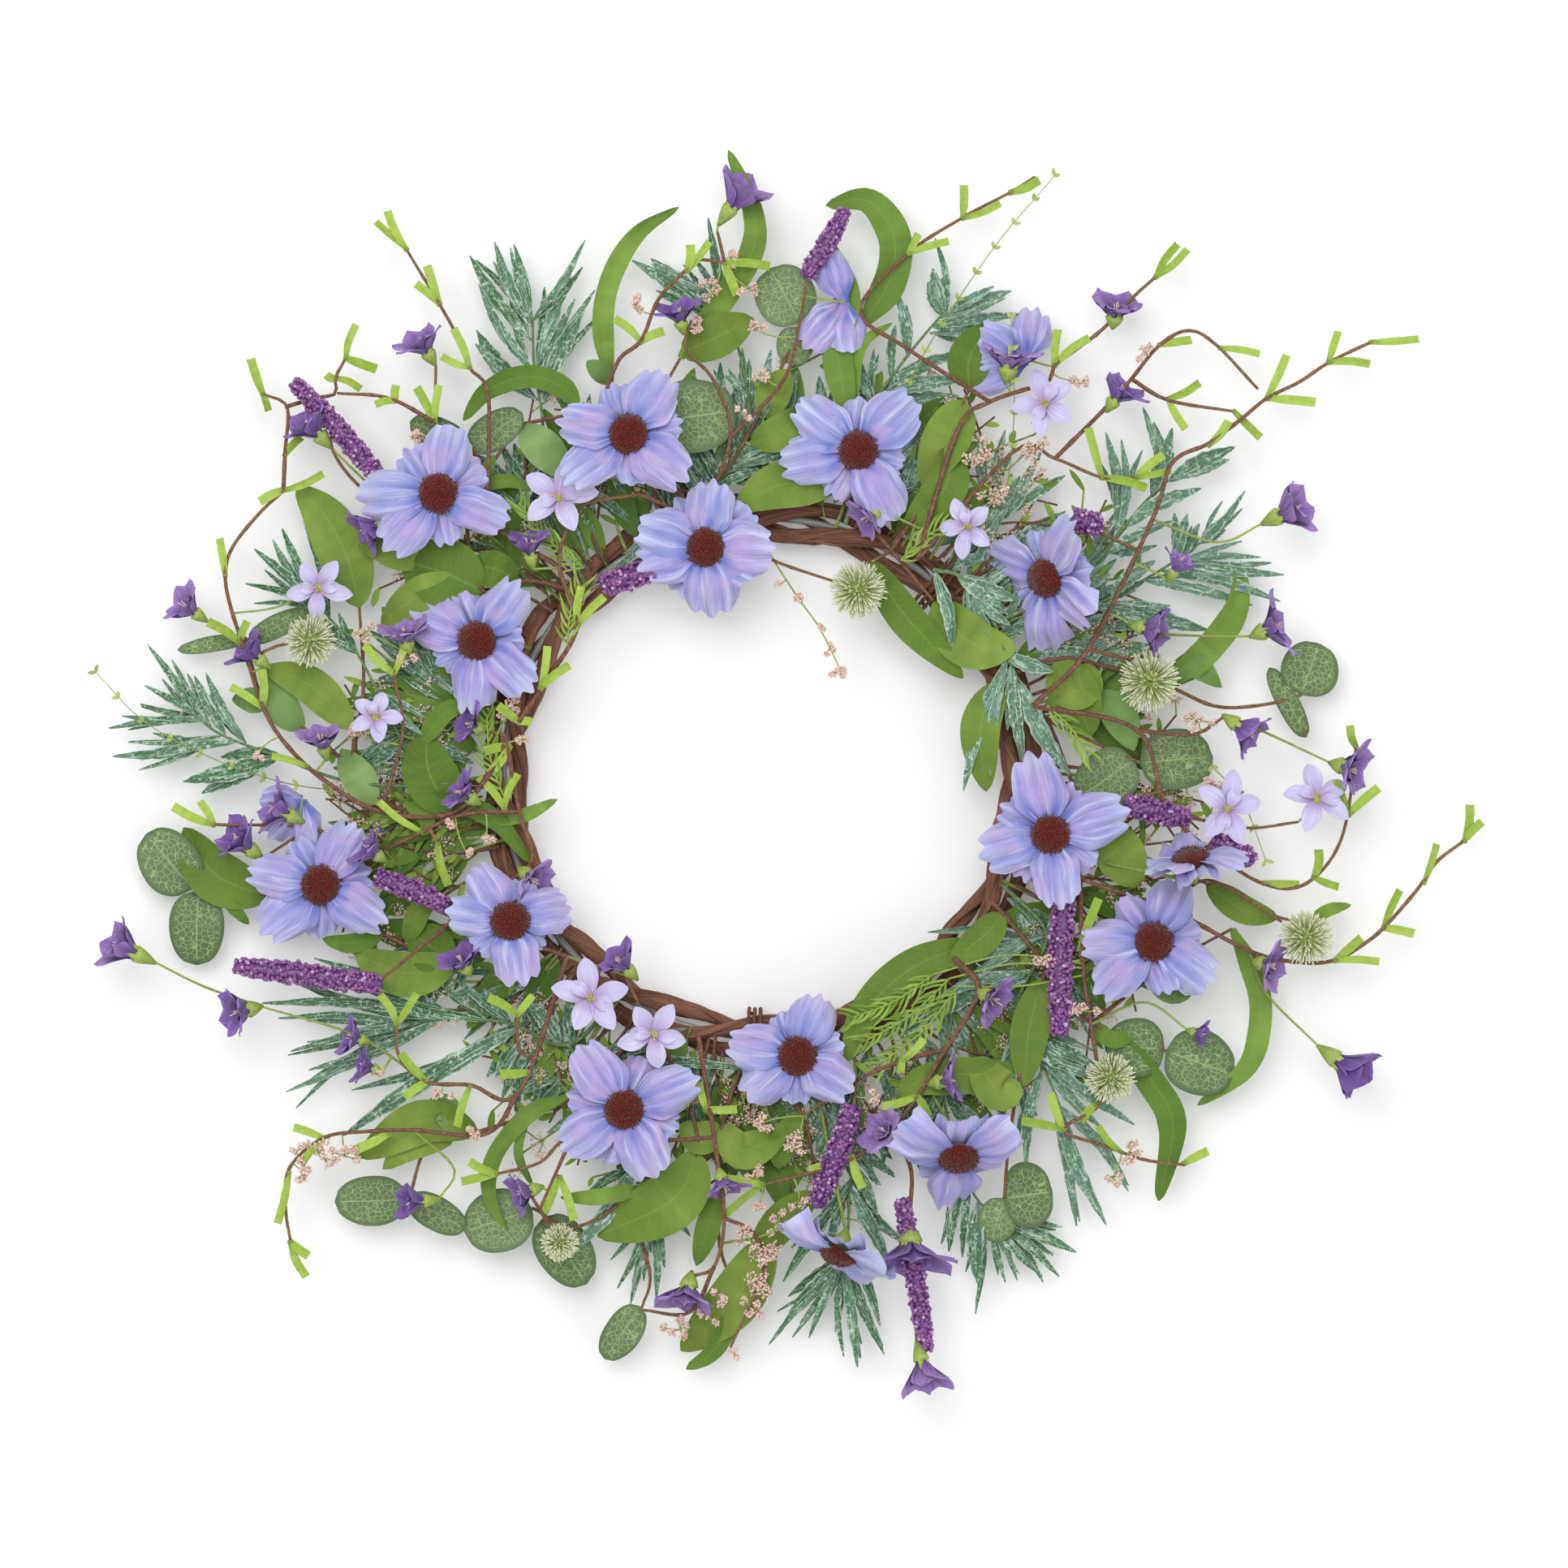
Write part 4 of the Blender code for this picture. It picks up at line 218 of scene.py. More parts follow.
    ("P", 578,893,596,900,48), ("P", 568,975,590,990,50), ("P", 288,1030,322,1058,54), ("W", 1.0, [(380,1020),(322,1058)]), ("P", 336,995,372,1012,50), ("P", 660,1085,640,1070,50),
    ("K", 628,870,30), ("K", 645,912,20), ("K", 560,1015,20), ("K", 600,1035,20), ("K", 575,1050,16),
    ("C", 372, 985, 50, 60)]),
  ("wildflower_twig_top_left", "wild", [
    ("W", 2.0, [(640,890),(668,846),(712,772),(690,700),(700,650),(720,622),(790,610)]),
    ("W", 1.5, [(690,700),(600,640),(540,560),(536,520),(537,450)]),
    ("W", 1.4, [(790,610),(880,650),(950,690),(1030,718)]), ("T", 1057,728,70),
    ("W", 1.5, [(536,520),(478,490),(415,484)]),
    ("W", 1.5, [(600,640),(602,490),(578,452),(560,408),(541,374),(500,306)]),
    ("W", 1.4, [(540,560),(470,612),(412,560),(410,500)]),
    ("L", 500,306,[(465,275),(478,262)]), ("L", 541,374,[(515,352),(527,330)]), ("L", 578,452,[(547,440),(560,408)]), ("L", 536,520,[(515,480),(541,478)]),
    ("L", 488,494,[(466,498),(488,478)]), ("L", 712,772,[(717,727),(743,738)]), ("L", 667,848,[(675,800),(700,822)]), ("L", 640,890,[(652,890),(617,872)]),
    ("P", 519,420,535,448,52), ("P", 378,520,406,550,54), ("W", 0.9, [(470,612),(406,550)]), ("P", 450,655,480,636,46), ("P", 652,665,657,700,44), ("W", 0.9, [(690,700),(657,702)]),
    ("S", 478,602,362,470,25), ("V", 690,618,100,76,15), ("K", 700,597,30), ("K", 655,672,24), ("K", 512,536,22), ("S", 742,722,818,700,30),
    ("W", 2.0, [(865,640),(800,560),(750,500),(762,445),(790,420),(812,368),(846,332),(862,320),(893,324)]),
    ("W", 1.5, [(865,640),(900,540),(880,470),(845,430),(852,395)]),
    ("W", 1.3, [(893,324),(884,285)]),
    ("W", 1.4, [(900,540),(965,470),(985,400),(996,335)]),
    ("L", 790,422,[(760,395),(815,410)]), ("L", 846,334,[(850,305),(872,300)]), ("L", 893,324,[(945,328),(907,360)]),
    ("P", 918,232,886,276,56), ("P", 836,384,842,410,46), ("S", 992,340,1042,258,23), ("K", 782,380,26), ("K", 860,405,24), ("K", 880,358,28), ("K", 900,318,20),
    ("K", 922,355,24), ("K", 928,405,24), ("K", 938,462,20), ("K", 915,510,16),
    ("C", 1040, 372, 60, 20)]),
  ("wildflower_twig_top_right", "wild", [
    ("W", 2.0, [(1130,690),(1180,530),(1220,495),(1290,470),(1300,450),(1340,420),(1362,402),(1398,364),(1425,340)]),
    ("W", 1.5, [(1220,495),(1120,430),(1060,382),(1118,312),(1186,267),(1246,235),(1276,216)]),
    ("W", 1.6, [(1130,690),(1250,556),(1300,565),(1358,588),(1400,588)]),
    ("W", 1.6, [(1300,565),(1365,500),(1395,466),(1430,424),(1466,406),(1500,424),(1551,478)]),
    ("W", 1.5, [(1395,466),(1440,492),(1522,506)]),
    ("L", 1425,340,[(1450,302),(1462,308)]), ("L", 1300,450,[(1304,408),(1340,418)]), ("L", 1120,311,[(1166,297),(1130,290)]), ("L", 1187,267,[(1188,230),(1230,250)]),
    ("L", 1246,235,[(1278,222)]), ("L", 1430,424,[(1466,418)]), ("L", 1505,428,[(1550,435)]), ("L", 1440,490,[(1476,472),(1460,525)]), ("L", 1522,506,[(1552,536)]),
    ("L", 1358,588,[(1410,600),(1342,530)]), ("L", 1400,588,[(1432,562),(1440,580)]),
    ("P", 1376,378,1372,402,60), ("P", 1382,480,1365,505,50), ("P", 1245,440,1240,470,66), ("V", 1290,502,120,70,20), ("V", 1195,648,250,60,55),
    ("K", 1208,555,34), ("K", 1275,555,36), ("K", 1325,468,26), ("K", 1410,432,22), ("K", 1228,610,32), ("K", 1205,660,28), ("P", 1068,640,1085,628,50), ("W", 0.9, [(1130,650),(1085,628)]),
    ("C", 1266, 442, 62, 40)]),
  ("wildflower_twig_right", "wild", [
    ("W", 2.0, [(1272,870),(1340,800),(1420,640),(1445,570),(1490,546),(1530,516),(1562,490),(1602,470),(1640,445),(1692,420)]),
    ("W", 1.6, [(1272,870),(1400,900),(1440,1000),(1520,1068),(1560,1090),(1592,1095),(1620,1082),(1646,1050),(1661,1005),(1672,920)]),
    ("W", 1.4, [(1340,800),(1400,812),(1430,782)]),
    ("W", 0.9, [(1430,782),(1500,784),(1542,784)]),
    ("W", 1.5, [(1400,900),(1470,905),(1510,882)]),
    ("W", 1.3, [(1440,1000),(1530,1020),(1600,1013)]),
    ("W", 0.9, [(1420,640),(1500,668),(1556,645)]),
    ("L", 1490,548,[(1513,521)]), ("L", 1562,490,[(1585,440),(1618,495)]), ("L", 1638,446,[(1649,411),(1685,448)]), ("L", 1690,421,[(1745,418)]),
    ("L", 1661,1005,[(1645,965),(1697,973)]), ("L", 1619,1081,[(1625,1050),(1647,1092)]), ("L", 1558,1088,[(1598,1090)]), ("L", 1672,920,[(1665,897)]),
    ("P", 1600,625,1556,645,62), ("P", 1425,778,1392,770,50), ("P", 1572,772,1542,784,60), ("P", 1540,905,1508,882,52), ("P", 1668,948,1640,940,58), ("W", 0.9, [(1510,882),(1565,905),(1640,940)]),
    ("T", 1415,840,76), ("V", 1622,990,80,70,25), ("V", 1510,998,30,72,10), ("S", 1385,990,1465,1008,30), ("S", 1495,1035,1545,1060,26), ("S", 1322,640,1356,650,30),
    ("K", 1475,888,30), ("K", 1500,968,26), ("P", 1455,690,1440,715,36)]),
  ("wildflower_twig_lower_right", "wild", [
    ("W", 2.0, [(1258,1010),(1330,1080),(1440,1120),(1540,1172),(1600,1186),(1645,1184),(1680,1165),(1708,1142),(1748,1096),(1772,1062),(1806,1036)]),
    ("W", 1.4, [(1440,1120),(1490,1085),(1580,1136)]),
    ("W", 1.4, [(1330,1080),(1312,1100)]),
    ("W", 0.9, [(1540,1172),(1562,1225),(1626,1290)]),
    ("W", 1.7, [(1330,1080),(1335,1200),(1350,1300),(1355,1360),(1310,1392),(1360,1412),(1412,1430),(1460,1436)]),
    ("L", 1806,1036,[(1812,995),(1825,1015)]), ("L", 1756,1088,[(1770,1043)]), ("L", 1706,1144,[(1725,1100),(1740,1150)]), ("L", 1646,1184,[(1676,1158),(1697,1185)]),
    ("L", 1310,1392,[(1262,1382),(1295,1350)]), ("L", 1350,1362,[(1335,1380)]), ("L", 1382,1420,[(1355,1390)]), ("L", 1460,1434,[(1486,1420)]), ("L", 1330,1170,[(1352,1110)]),
    ("T", 1610,1156,68), ("P", 1568,1190,1545,1185,52), ("P", 1672,1325,1626,1290,64), ("S", 1312,1095,1306,1275,30), ("T", 1368,1328,62),
    ("K", 1290,1185,28), ("K", 1330,1245,26), ("K", 1392,1420,30), ("K", 1372,1450,22), ("P", 1482,1275,1465,1270,26), ("W", 0.9, [(1345,1262),(1410,1235),(1465,1270)])]),
  ("wildflower_twig_bottom", "wild", [
    ("W", 2.6, [(1175,1180),(1205,1220),(1165,1292),(1130,1350),(1098,1395)]),
    ("W", 1.6, [(1165,1292),(1112,1306),(1052,1332),(990,1375)]),
    ("W", 1.6, [(1098,1395),(1040,1432),(940,1460)]),
    ("W", 1.6, [(1098,1395),(1122,1440),(1122,1508),(1130,1660)]),
    ("L", 940,1460,[(892,1452),(896,1495)]), ("L", 1112,1306,[(1136,1282),(1110,1318)]), ("L", 1050,1425,[(1000,1440),(1062,1460)]), ("L", 1130,1350,[(1090,1362),(1142,1372)]),
    ("P", 1225,1232,1205,1220,54), ("P", 1170,1330,1145,1335,56), ("P", 1088,1392,1102,1402,52), ("P", 1122,1550,1121,1508,84), ("P", 1142,1705,1130,1655,52),
    ("S", 1050,1362,1005,1485,28), ("S", 1112,1478,1142,1665,24), ("W", 1.2, [(1052,1332),(1052,1364)]),
    ("K", 1075,1350,20), ("K", 940,1382,26), ("K", 985,1410,30), ("K", 930,1450,24), ("K", 935,1485,20), ("K", 985,1480,24)]),
  ("wildflower_twig_bottom_left", "wild", [
    ("W", 2.0, [(860,1270),(880,1400),(892,1500),(880,1560),(852,1572)]),
    ("W", 1.5, [(880,1400),(800,1405),(705,1400),(665,1432),(612,1446)]),
    ("W", 1.4, [(705,1400),(665,1490)]), ("W", 1.2, [(665,1490),(650,1465)]),
    ("W", 1.6, [(880,1560),(850,1617),(790,1614)]),
    ("W", 1.2, [(892,1500),(930,1520),(940,1570),(900,1660)]),
    ("W", 1.4, [(665,1490),(690,1530)]),
    ("L", 612,1446,[(572,1455),(582,1432)]), ("L", 690,1450,[(672,1492),(706,1500)]), ("L", 870,1365,[(862,1335),(905,1365)]), ("L", 845,1360,[(840,1345)]),
    ("P", 640,1470,668,1462,46), ("P", 892,1462,886,1440,44), ("P", 845,1600,852,1568,64), ("T", 690,1530,46),
    ("K", 915,1515,34), ("K", 945,1545,40), ("K", 932,1580,38), ("K", 928,1615,26), ("K", 868,1620,24), ("K", 838,1638,28), ("K", 885,1598,22), ("K", 905,1668,18), ("K", 958,1512,24)]),
  ("wildflower_twig_lower_left", "wild", [
    ("W", 2.0, [(700,1178),(640,1345),(580,1336),(525,1332),(492,1300),(490,1262)]),
    ("W", 1.6, [(640,1345),(600,1396),(510,1392),(450,1394),(398,1402),(356,1440),(352,1490),(358,1530)]),
    ("W", 1.5, [(650,1300),(640,1290),(638,1250)]),
    ("W", 1.4, [(700,1178),(560,1130),(470,1082)]),
    ("W", 0.9, [(525,1332),(440,1276),(322,1240)]),
    ("W", 1.5, [(560,1130),(468,1208)]),
    ("W", 0.9, [(322,1240),(250,1215),(192,1186)]),
    ("L", 490,1262,[(470,1228),(513,1226)]), ("L", 638,1250,[(606,1230),(656,1228)]), ("L", 527,1332,[(497,1300),(502,1350)]), ("L", 398,1402,[(365,1390),(374,1432)]),
    ("L", 356,1445,[(343,1504)]), ("L", 358,1530,[(376,1570),(378,1545)]), ("L", 480,1396,[(440,1416)]), ("L", 580,1338,[(565,1385)]), ("L", 652,1320,[(620,1322)]),
    ("P", 140,1160,190,1186,58), ("P", 290,1247,322,1240,58), ("P", 432,1276,455,1284,42), ("P", 448,1312,470,1320,36), ("P", 500,1480,540,1478,40), ("W", 0.9, [(510,1392),(560,1440),(540,1478)]),
    ("S", 465,1080,555,1118,26), ("S", 470,1212,290,1190,28), ("K", 395,1425,34), ("K", 425,1425,28), ("K", 378,1445,26), ("K", 365,1420,24), ("K", 470,1318,24), ("K", 545,1352,24), ("K", 585,1395,22),
    ("P", 568,1180,580,1200,46), ("P", 455,1045,475,1060,44), ("W", 0.9, [(470,1082),(475,1060)]), ("P", 762,1180,785,1205,48), ("W", 0.9, [(700,1178),(785,1205)]),
    ("V", 728,1232,75,76,15), ("V", 806,1270,-90,70,65), ("W", 1.0, [(740,1190),(730,1232)]), ("W", 1.0, [(770,1200),(806,1276)])]),
]
# cosmos heads: (centre u, v, reach of the petals, turn, tilt towards, tilt, petals)
COSMOS = [
  ("01", 775, 537, 84,  10,   0,  0, 7), ("02", 1057, 555, 84, -12,   0,  0, 7), ("03", 541, 609, 84,  25,   0,  0, 7),
  ("04", 869, 675, 76,   0,   0,  0, 9), ("05", 590, 790, 82,  18, 180, 12, 7), ("06", 1293, 711, 84,   0, 200, 28, 7),
  ("07", 1293, 1027, 88, -8,   0,  0, 8), ("08", 395, 1090, 84,  15,   0,  0, 7), ("09", 629, 1135, 74,  -5,  60, 12, 7),
  ("10", 1420, 1161, 84, 22,  90, 10, 7), ("11", 982, 1300, 78,  12,   0,  0, 7), ("12", 770, 1365, 88,   5,   0,  0, 8),
  ("13", 1180, 1417, 82,  0, 270, 48, 6), ("14", 1465, 1065, 70,  10, 100, 72, 6), ("15", 1035, 1535, 72, -10, 250, 74, 5),
]

# ------------------------------------------------------------------ numbers
RX = (RING_MID[0] - GRID_MID[0]) * STEP
RY = (GRID_MID[1] - RING_MID[1]) * STEP
UP = np.array([0.0, 0.0, 1.0])


def lin(rgb):
    a = np.asarray(rgb, float) / 255.0
    return np.where(a <= 0.04045, a / 12.92, ((a + 0.055) / 1.055) ** 2.4)


def xy(u, v):
    return np.array([(u - GRID_MID[0]) * STEP, (GRID_MID[1] - v) * STEP])


def lift(x, y):
    rho = np.hypot(x - RX, y - RY)
    out = np.maximum(0.0, rho - RING_R - 0.015) / 0.075
    return PICK_Z - DROOP * (1.0 - np.exp(-out * out))


def unit(a):
    a = np.asarray(a, float)
    return a / np.maximum(np.linalg.norm(a, axis=-1, keepdims=True), 1e-12)


def mix(a, b, t):
    t = np.asarray(t, float)
    if t.ndim and np.ndim(a) and np.shape(a)[-1] == 3 and (t.ndim == 0 or t.shape[-1:] != (3,) or True):
        t = t[..., None]
    return np.asarray(a) * (1 - t) + np.asarray(b) * t


def smoothstep(a, b, x):
    t = np.clip((np.asarray(x, float) - a) / (b - a), 0, 1)
    return t * t * (3 - 2 * t)


def spline(pts, n):
    """n points along a Catmull-Rom curve through pts, evenly spaced by chord."""
    pts = np.asarray(pts, float)
    keep = [0] + [i for i in range(1, len(pts)) if np.linalg.norm(pts[i] - pts[i - 1]) > 1e-6]
    pts = pts[keep]
    if len(pts) == 2:
        t = np.linspace(0, 1, n)[:, None]
        return pts[0] * (1 - t) + pts[1] * t
    ext = np.vstack([2 * pts[0] - pts[1], pts, 2 * pts[-1] - pts[-2]])
    d = np.linalg.norm(np.diff(pts, axis=0), axis=1)
    cum = np.r_[0, np.cumsum(d)]
    tt = np.linspace(0, cum[-1], n)
    i = np.clip(np.searchsorted(cum, tt, side="right") - 1, 0, len(pts) - 2)
    f = ((tt - cum[i]) / d[i])[:, None]
    a, b, c, e = ext[i], ext[i + 1], ext[i + 2], ext[i + 3]
    return 0.5 * ((2 * b) + (c - a) * f + (2 * a - 5 * b + 4 * c - e) * f * f + (3 * b - a - 3 * c + e) * f ** 3)


def path_len(p):
    return float(np.linalg.norm(np.diff(p, axis=0), axis=1).sum())


def frames(path, up=UP):
    """Tangent, side and normal along a path."""
    t = unit(np.gradient(path, axis=0))
    s = np.cross(up, t)
    bad = np.linalg.norm(s, axis=1) < 0.15
    if bad.any():
        s[bad] = np.cross(np.array([0.0, 1.0, 0.15]), t[bad])
    s = unit(s)
    return t, s, np.cross(t, s)


class Soup:
    """Grids of quads gathered into one mesh, with a colour and a parameter at each vertex."""

    def __init__(self):
        self.v, self.f, self.c, self.p, self.m, self.n = [], [], [], [], [], 0

    def grid(self, pts, tone, par=None, wrap=False, mat=0):
        r, k = pts.shape[:2]
        self.v.append(pts.reshape(-1, 3))
        tone = np.broadcast_to(np.asarray(tone, float), (r, k, 3)) if np.ndim(tone) == 1 else tone
        self.c.append(np.asarray(tone).reshape(-1, 3))
        if par is None:
            par = np.zeros((r, k, 3))
        self.p.append(np.asarray(par, float).reshape(-1, 3))
        idx = np.arange(r * k).reshape(r, k) + self.n
        if wrap:
            idx = np.hstack([idx, idx[:, :1]])
        a, b, c, d = idx[:-1, :-1], idx[:-1, 1:], idx[1:, 1:], idx[1:, :-1]
        q = np.stack([a, b, c, d], -1).reshape(-1, 4)
        self.f.append(q)
        self.m.append(np.full(len(q), mat))
        self.n += r * k

    def many(self, pts, tone, par=None, mat=0):
        """A stack of wrapped grids of one shape: pts is (count, rows, around, 3)."""
        n, r, k = pts.shape[:3]
        self.v.append(pts.reshape(-1, 3))
        self.c.append(np.broadcast_to(tone, pts.shape).reshape(-1, 3))
        self.p.append((np.zeros(pts.shape) if par is None else np.broadcast_to(par, pts.shape)).reshape(-1, 3))
        idx = np.arange(n * r * k).reshape(n, r, k) + self.n
        idx = np.concatenate([idx, idx[:, :, :1]], 2)
        a, b, c, d = idx[:, :-1, :-1], idx[:, :-1, 1:], idx[:, 1:, 1:], idx[:, 1:, :-1]
        q = np.stack([a, b, c, d], -1).reshape(-1, 4)
        self.f.append(q)
        self.m.append(np.full(len(q), mat))
        self.n += n * r * k

    def build(self, name, mats):
        if not self.n:
            return None
        v = np.vstack(self.v)
        f = np.vstack(self.f).astype(np.int32)
        me = bpy.data.meshes.new(name)
        me.vertices.add(len(v))
        me.vertices.foreach_set("co", v.ravel().astype(np.float32))
        me.loops.add(f.size)
        me.loops.foreach_set("vertex_index", f.ravel())
        me.polygons.add(len(f))
        me.polygons.foreach_set("loop_start", (np.arange(len(f)) * 4).astype(np.int32))
        me.polygons.foreach_set("material_index", np.concatenate(self.m).astype(np.int32))
        me.update()
        me.polygons.foreach_set("use_smooth", np.ones(len(f), bool))
        c = np.vstack(self.c)
        at = me.attributes.new("tone", "FLOAT_COLOR", "POINT")
        at.data.foreach_set("color", np.hstack([np.clip(c, 0, 1), np.ones((len(c), 1))]).ravel().astype(np.float32))
        at = me.attributes.new("par", "FLOAT_VECTOR", "POINT")
        at.data.foreach_set("vector", np.vstack(self.p).ravel().astype(np.float32))
        for m in mats:
            me.materials.append(m)
        ob = bpy.data.objects.new(name, me)
        bpy.context.scene.collection.objects.link(ob)
        return ob


# ---------------------------------------------------------------- materials
class Nodes:
    def __init__(self, name, rough=0.6, spec=0.5, sheen=0.0, sheen_rough=0.5, subsurface=0.0, metal=0.0):
        self.m = bpy.data.materials.new(name)
        self.m.use_nodes = True
        self.t = self.m.node_tree
        self.b = self.t.nodes["Principled BSDF"]
        self.b.inputs["Roughness"].default_value = rough
        self.b.inputs["Specular IOR Level"].default_value = spec
        self.b.inputs["Sheen Weight"].default_value = sheen
        self.b.inputs["Sheen Roughness"].default_value = sheen_rough
        self.b.inputs["Metallic"].default_value = metal
        self.tone = self.new("ShaderNodeAttribute", attribute_name="tone").outputs["Color"]
        self.par = self.new("ShaderNodeAttribute", attribute_name="par").outputs["Vector"]
        self.obj = self.new("ShaderNodeTexCoord").outputs["Object"]

    def new(self, kind, ins=None, **props):
        n = self.t.nodes.new(kind)
        for k, v in props.items():
            setattr(n, k, v)
        for k, v in (ins or {}).items():
            s = n.inputs[k]
            if isinstance(v, bpy.types.NodeSocket):
                self.t.links.new(v, s)
            else:
                s.default_value = v
        return n

    def math(self, op, a, b=0.0, clamp=False):
        n = self.new("ShaderNodeMath", {0: a, 1: b}, operation=op)
        n.use_clamp = clamp
        return n.outputs[0]

    def vmul(self, a, v):
        return self.new("ShaderNodeVectorMath", {0: a, 1: v}, operation="MULTIPLY").outputs[0]

    def noise(self, vec, scale, detail=2.0, rough=0.5, kind="FBM"):
        n = self.new("ShaderNodeTexNoise", {"Vector": vec, "Scale": scale, "Detail": detail, "Roughness": rough})
        return n.outputs["Fac"]

    def voronoi(self, vec, scale, feature="F1", rand=1.0):
        n = self.new("ShaderNodeTexVoronoi", {"Vector": vec, "Scale": scale, "Randomness": rand}, feature=feature)
        return n.outputs["Distance"]

    def ramp(self, fac, lo, hi, a=0.0, b=1.0):
        n = self.new("ShaderNodeMapRange", {"Value": fac, "From Min": lo, "From Max": hi, "To Min": a, "To Max": b})
        n.clamp = True
        return n.outputs[0]

    def blend(self, fac, a, b, mode="MIX"):
        n = self.new("ShaderNodeMix", data_type="RGBA", blend_type=mode)
        for key, v in (("Factor_Float", fac), ("A_Color", a), ("B_Color", b)):
            s = next(q for q in n.inputs if q.identifier == key)
            if isinstance(v, bpy.types.NodeSocket):
                self.t.links.new(v, s)
            else:
                s.default_value = (*v, 1.0) if key != "Factor_Float" else v
        return next(q for q in n.outputs if q.identifier == "Result_Color")

    def split(self, vec):
        n = self.new("ShaderNodeSeparateXYZ", {0: vec})
        return n.outputs

    def finish(self, colour, bump=None, strength=0.3, dist=0.0003, rough=None):
        self.t.links.new(colour, self.b.inputs["Base Color"])
        if rough is not None:
            self.t.links.new(rough, self.b.inputs["Roughness"])
        if bump is not None:
            n = self.new("ShaderNodeBump", {"Strength": strength, "Distance": dist, "Height": bump})
            self.t.links.new(n.outputs[0], self.b.inputs["Normal"])
        return self.m


def mat_petal():
    n = Nodes("cosmos_petal_cloth", rough=0.85, spec=0.15, sheen=0.25, sheen_rough=0.6)
    # par: x across in petal widths, y along, z petal number
    v = n.vmul(n.par, (9.0, 1.1, 7.0))
    streak = n.noise(v, 1.0, 3.0, 0.6)
    fine = n.noise(n.vmul(n.par, (34.0, 2.2, 3.0)), 1.0, 2.0, 0.6)
    wash = n.noise(n.obj, 75.0, 2.0, 0.5)
    c = n.blend(n.ramp(streak, 0.50, 0.72, 0.0, 0.60), n.tone, tuple(lin((120, 126, 204))))
    c = n.blend(n.ramp(streak, 0.47, 0.30, 0.0, 0.75), c, tuple(lin((206, 208, 238))))
    c = n.blend(n.ramp(wash, 0.52, 0.66, 0.0, 0.60), c, tuple(lin((192, 168, 214))))
    c = n.blend(n.ramp(fine, 0.52, 0.70, 0.0, 0.30), c, tuple(lin((116, 122, 200))))
    weave = n.noise(n.vmul(n.obj, (2400.0, 2400.0, 2400.0)), 1.0, 1.0, 0.5)
    h = n.math("ADD", n.math("MULTIPLY", fine, 1.0), n.math("MULTIPLY", weave, 0.15))
    return n.finish(c, h, 0.6, 0.0008)


def mat_flock():
    n = Nodes("flocked_burgundy", rough=0.95, spec=0.1, sheen=0.5, sheen_rough=0.4)
    a = n.noise(n.obj, 1500.0, 3.0, 0.7)
    c = n.blend(n.ramp(a, 0.52, 0.68, 0.0, 0.75), n.tone, tuple(lin((150, 66, 40))))
    c = n.blend(n.ramp(a, 0.44, 0.30, 0.0, 0.7), c, tuple(lin((44, 10, 10))))
    return n.finish(c, a, 0.9, 0.0006)


def mat_frost():
    n = Nodes("frosted_leaf_plastic", rough=0.55, spec=0.35)
    # par: x across -1..1, y along in metres, z leaflet number
    grain = n.noise(n.obj, 620.0, 3.0, 0.75)
    blot = n.noise(n.obj, 260.0, 3.0, 0.6)
    across = n.split(n.par)[0]
    edge = n.math("ABSOLUTE", across)
    streak = n.noise(n.vmul(n.par, (3.6, 90.0, 3.0)), 1.0, 3.0, 0.7)
    frost = n.math("MULTIPLY", n.ramp(grain, 0.53, 0.59, 0.0, 0.85), n.ramp(blot, 0.42, 0.60, 0.2, 1.0))
    frost = n.math("ADD", frost, n.ramp(edge, 0.78, 1.0, 0.0, 0.50))
    frost = n.math("ADD", frost, n.ramp(streak, 0.54, 0.62, 0.0, 0.70), clamp=True)
    c = n.blend(frost, n.tone, tuple(lin((194, 212, 198))))
    rib = n.ramp(edge, 0.10, 0.0, 0.0, 0.5)
    c = n.blend(rib, c, tuple(lin((140, 178, 150))))
    h = n.math("ADD", grain, n.math("MULTIPLY", rib, -1.5))
    return n.finish(c, h, 0.5, 0.0004)


def mat_leaf():
    n = Nodes("matte_green_cloth", rough=0.72, spec=0.2, sheen=0.08)
    across, along, num = n.split(n.par)[0], n.split(n.par)[1], n.split(n.par)[2]
    edge = n.math("ABSOLUTE", across)
    wash = n.noise(n.obj, 60.0, 3.0, 0.55)
    slant = n.math("ADD", n.math("MULTIPLY", edge, -0.006), along)
    comb = n.new("ShaderNodeCombineXYZ", {0: slant, 1: num, 2: 0.0}).outputs[0]
    side = n.new("ShaderNodeTexWave", {"Vector": comb, "Scale": 90.0, "Distortion": 0.8, "Detail": 1.0}).outputs["Fac"]
    c = n.blend(n.ramp(wash, 0.38, 0.66, 0.0, 0.55), n.tone, tuple(lin((92, 124, 46))))
    c = n.blend(n.ramp(side, 0.80, 1.0, 0.0, 0.07), c, tuple(lin((150, 174, 86))))
    rib = n.ramp(edge, 0.06, 0.02, 0.0, 0.35)
    c = n.blend(rib, c, tuple(lin((140, 162, 82))))
    weave = n.noise(n.obj, 2600.0, 1.0, 0.5)
    h = n.math("ADD", n.math("MULTIPLY", rib, -2.0), n.math("ADD", n.math("MULTIPLY", side, 0.35),
                                                            n.math("MULTIPLY", weave, 0.3)))
    return n.finish(c, h, 0.35, 0.0004)


